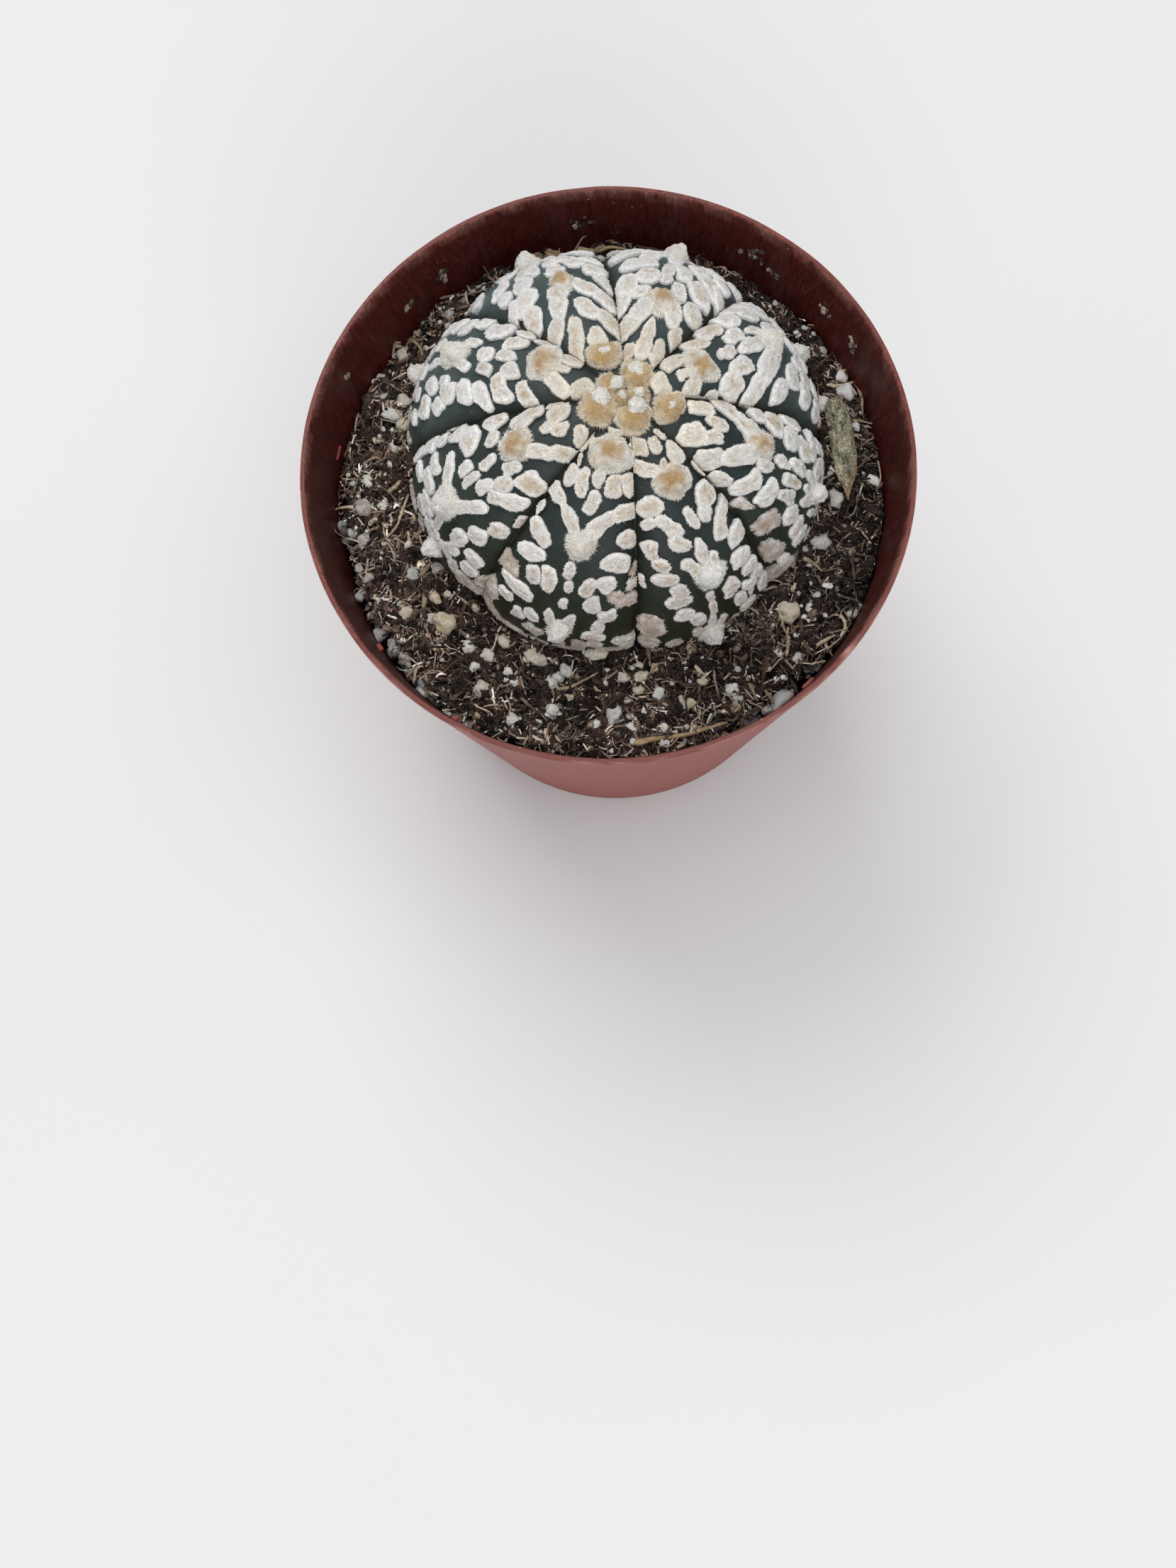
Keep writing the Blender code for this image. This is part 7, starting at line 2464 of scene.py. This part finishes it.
    def in_the_gap(self, rng: Chance) -> Array:
        """Gives places of the grains that have fallen between soil and wall.

        Args:
            rng: the source of chance.

        Returns:
            Rows of X, Y and Z.
        """
        count = self.hidden_grit
        left, right = (rng.uniform(*span, count) for span in self.gap_spans_deg)
        azimuth = np.radians(np.where(np.arange(count) < count * self.left_share, left, right))
        edge = self.ground.edge(azimuth)
        top = self.ground.height(edge * np.cos(azimuth), edge * np.sin(azimuth))
        z = top - rng.uniform(1.6, 4.6, count)
        wall = self.ground.pot.inner(z) - 0.6
        radius = edge + (wall - edge) * rng.uniform(0.05, 0.95, count)
        return ringed(radius, azimuth, z)


@dataclass
class LooseBits:
    """The husk, chips, twig and rootlet on the soil, and the crumbs stuck to the wall."""

    ground: Ground
    husk_width: float = 4.2
    husk_thick: float = 1.5
    husk_ends: tuple = ((38.5, 16.2), (40.6, -2.4))
    husk_seam: float = 1.3
    husk_green: Array = shade("#283022")
    husk_flake: Array = shade("#b9b398")
    husk_tip: Array = shade("#a88a6e")

    def build(self) -> None:
        """Builds each of them."""
        self.husk()
        self.chip("bark_chip_1", (-13.6, 42.0), (4.4, 2.6), 35.0, "#8a6f58")
        self.chip("bark_chip_2", (-9.0, 43.0), (4.0, 2.3), -20.0, "#937a62")
        self.strand("front_twig", "twig", ((3.9, -43.9), (7.7, -42.9), (12.5, -42.4), (19.6, -40.4)),
                    0.55, "#9a8263")
        self.strand("back_rootlet", "rootlet", ((-5.6, 45.6), (-2.4, 44.6), (0.9, 45.3), (4.8, 44.4)),
                    0.4, "#a3906f")
        self.stuck(np.random.default_rng(303))

    def strand(self, node: str, slot: str, spots: tuple, radius: float, tone: str) -> None:
        """Makes a twig or rootlet that lies where its CAD node does.

        Args:
            node: its CAD node.
            slot: the word in the names of its material and its piece.
            spots: points of X and Y.
            radius: half its thickness.
            tone: its colour code.
        """
        low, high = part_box(node)
        middle = (low[2] + high[2]) / 2 / MM
        flat = np.array(spots)
        lie = self.ground.height(flat[:, 0], flat[:, 1]) + radius + 0.3
        path = np.column_stack([flat, np.clip(lie, middle - 0.6, middle + 0.6)])
        rod = Rod.turned(14, 48)
        points = rod.along(path, radius, 91, 0.3, 0.35)
        bark = 1.0 + 0.35 * Relief(92).layered(points * np.array([0.35, 1.0, 1.0]), 0.5, 3)
        heap = Heap()
        heap.add(points, rod.stamp.faces, linear(tone) * bark[:, None])
        finish = EarthFinish(f"dry {slot}", 0.4, 0.6, 1.35, 0.1).material()
        fitted(heap.piece(f"dry_{slot}", finish), slot, node)

    def chip(self, node: str, place: tuple[float, float], size: tuple[float, float], turn_deg: float,
             tone: str) -> None:
        """Splits a chip of bark out of a slab, with torn ends and layers.

        Args:
            node: its CAD node.
            place: X and Y of its middle.
            size: length and width.
            turn_deg: its turn, in degrees.
            tone: its colour code.
        """
        low, high = (np.array(c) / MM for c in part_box(node))
        work = Workpiece("cube", size=1.0)
        bpy.ops.mesh.subdivide(number_cuts=11)
        slab = work.done(f"{node}_bark")
        points = points_of(slab)
        seed = len(node) + int(size[0] * 10)
        torn = Relief(seed).layered(points * np.array([0.0, 9.0, 2.0]) + seed, 1.2, 3)
        wavy = Relief(seed + 1).layered(points * np.array([5.0, 9.0, 0.0]) + seed, 1.6, 3)
        layer = Relief(seed + 2).layered(points * np.array([3.0, 14.0, 6.0]) + seed, 1.0, 2)
        along = points[:, 0] * (size[0] + torn * 1.1)
        across = points[:, 1] * (size[1] + 0.35 * wavy) * (1.0 - 0.25 * points[:, 0])
        thick = points[:, 2] * 0.8 + 0.22 * wavy + 0.14 * layer
        cos, sin = math.cos(math.radians(turn_deg)), math.sin(math.radians(turn_deg))
        x, y = place[0] + along * cos - across * sin, place[1] + along * sin + across * cos
        z = (low[2] + high[2]) / 2 + thick + 0.5 * points[:, 1] * size[1]
        reshape(slab, np.stack([x, y, z], axis=1))
        colour = linear(tone) * (1.0 + 0.5 * layer)[:, None]
        finish = EarthFinish(f"bark {node[-1]}", 0.5, 0.55, 1.4, 0.15).material()
        paint(slab, colour, finish, rounded=False)
        fitted(slab, "bark", node)

    def husk(self) -> None:
        """Shapes the spindle-shaped husk with its seam and its tan tip."""
        low, high = (np.array(c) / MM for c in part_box("dry_husk"))
        middle = (low + high) / 2
        start, end = np.array(self.husk_ends)
        length = float(np.linalg.norm(end - start))
        ball = Workpiece("uv_sphere", segments=48, ring_count=60, radius=1.0).done("dry_husk_shell")
        first = points_of(ball)
        along = -first[:, 2]
        turn = around(first)[1]
        tip = smooth((along - 0.45) / 0.5)
        blunt = np.maximum(0.0, 1.0 - np.abs(along) ** 6) ** 0.5
        keen = np.maximum(0.0, 1.0 - np.abs(along) ** 2.2) ** 0.75 * (1.0 - 0.55 * tip)
        taper = np.where(along < 0.0, blunt, keen)
        seam = 0.12 * np.exp(-((wrapped(turn - self.husk_seam) / 0.22) ** 2))
        across = np.cos(turn) * taper * self.husk_width / 2
        thick = np.sin(turn) * taper * (self.husk_thick / 2 + seam)
        way = np.array([*(end - start) / length, 0.0])
        side = np.array([-way[1], way[0], 0.0])
        bow = 0.5 * (1.0 - along**2) - 0.25
        middle = np.array([*(start + end) / 2, middle[2] + 1.5])
        points = middle + way * (along * length / 2)[:, None] + side * (across + bow)[:, None]
        points = points + UP * thick[:, None]
        push = Relief(71).layered(points, 1.4, 3) * 0.16 * np.minimum(taper * 2, 1.0)
        points = points + UP * push[:, None]
        reshape(ball, points)
        finish = PeatFinish("dry husk", 0.4, 0.5, 1.5, (0.42, 0.38, 0.27), 0.7).material()
        paint(ball, self.husk_tint(points, along, turn), finish)
        fitted(ball, "dry_husk", "dry_husk")

    def husk_tint(self, points: Array, along: Array, turn: Array) -> Array:
        """Colours the husk: green with pale flakes, and tan towards its tip.

        Args:
            points: rows of X, Y and Z.
            along: place along it, from -1 to 1 at the tip.
            turn: place round it, in radians.

        Returns:
            A colour for each point.
        """
        mottle = smooth(0.45 + 0.8 * Relief(72).layered(points * np.array([1.0, 0.5, 1.0]), 0.8, 4, 0.7))
        flaked = smooth(3.0 * np.abs(Relief(73).layered(points * np.array([1.0, 0.25, 1.0]), 1.0, 3, 0.7)))
        flaked = np.clip(flaked * (0.55 + 0.6 * mottle), 0.0, 1.0)
        colour = mix(self.husk_green, self.husk_flake, flaked)
        bare = smooth((along - 0.62 + 0.5 * np.maximum(0.0, np.cos(turn))) / 0.25)
        bare = bare * smooth((along - 0.1) / 0.2)
        return mix(colour, self.husk_tip, bare * (0.7 + 0.3 * mottle))

    def stuck(self, rng: Chance) -> None:
        """Sticks small clumps of peat to the inner wall.

        Args:
            rng: the source of chance.
        """
        heap = Heap()
        stamps = Stamp.pebbles(2, range(40, 44), 0.7, 0.5)
        greys = shades("#5c5146 #7a6d5f #94897a #3d342c")
        for x, y, below, spread, count in WALL_CLUMPS:
            azimuth = math.atan2(y, x) + rng.normal(0.0, spread / 50.0, count)
            height = self.ground.pot.height - below + rng.normal(0.0, spread * 0.6, count)
            radius = self.ground.pot.inner(height) - rng.uniform(0.0, 0.35, count)
            places = ringed(radius, azimuth, height)
            sizes = rng.uniform(0.18, 0.62, count)
            tints = greys[rng.integers(0, 4, count)]
            Soil.strewn(heap, stamps, places, sizes, tints, rng, 0.0)
        self.ground.settle(heap, "wall_crumbs", EarthFinish("stuck peat", 0.6).material(), rounded=False)


# The studio


@dataclass
class Studio:
    """Pale floor, soft light and the camera."""

    eye: Triple = (7.28, -154.66, 470.53)
    right: Triple = (0.9996, 0.0, -0.0274)
    up: Triple = (0.0069, 0.9673, 0.2535)
    back: Triple = (0.0265, -0.2536, 0.967)
    lens: float = 56.96
    sensor: float = 36.0
    clip: tuple[float, float] = (0.01, 50.0)
    floor_size: float = 6.0
    sky: Triple = (0.94, 0.96, 1.0)
    sky_strength: float = 0.4
    aim: Triple = (0.0, 0.0, 0.08)

    def build(self) -> None:
        """Sets up the view, the floor and the light."""
        scene = bpy.context.scene
        scene.view_settings.view_transform = "Standard"
        camera = added("camera", bpy.data.cameras.new("camera"))
        camera.data.lens, camera.data.sensor_width = self.lens, self.sensor
        camera.data.clip_start, camera.data.clip_end = self.clip
        turn = Matrix((self.right, self.up, self.back)).transposed().to_4x4()
        camera.matrix_world = Matrix.Translation(Vector(self.eye) * MM) @ turn
        scene.camera = camera
        self.floor()
        world = bpy.data.worlds.new("studio")
        world.use_nodes = True
        background = world.node_tree.nodes["Background"]
        background.inputs["Color"].default_value = (*self.sky, 1.0)
        background.inputs["Strength"].default_value = self.sky_strength
        scene.world = world
        for lamp in LAMPS:
            self.lamp(*lamp)

    def floor(self) -> None:
        """Lays the pale floor."""
        bpy.ops.object.select_all(action="DESELECT")
        bpy.ops.mesh.primitive_plane_add(size=self.floor_size)
        floor = bpy.context.object
        floor.name = "floor"
        recipe = Recipe("pale floor")
        cloud = recipe.ranged(recipe.noise(300.0), 0.3, 0.7)
        colour = recipe.blend(cloud, (0.745, 0.75, 0.75), (0.765, 0.77, 0.77))
        floor.data.materials.append(recipe.finished(colour, 0.9, 0.1))

    def lamp(self, name: str, place: Triple, size: float, power: float, colour: Triple) -> None:
        """Adds one soft square light that faces the plant.

        Args:
            name: its name.
            place: where it hangs, in metres.
            size: its width, in metres.
            power: in watts.
            colour: red, green and blue.
        """
        light = bpy.data.lights.new(name, "AREA")
        light.size, light.energy, light.color = size, power, colour
        made = added(name, light)
        made.location = place
        made.rotation_mode = "QUATERNION"
        made.rotation_quaternion = (Vector(self.aim) - Vector(place)).to_track_quat("-Z", "Y")


def main() -> None:
    """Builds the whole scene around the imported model."""
    logging.basicConfig(level=logging.INFO, format="%(name)s: %(message)s")
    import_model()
    Studio().build()
    plant = StarCactus()
    plant.build()
    pot = NurseryPot()
    pot.build()
    ground = Ground(plant.skin, pot)
    Soil(ground).build()
    LooseBits(ground).build()


if __name__ == "__main__":
    main()
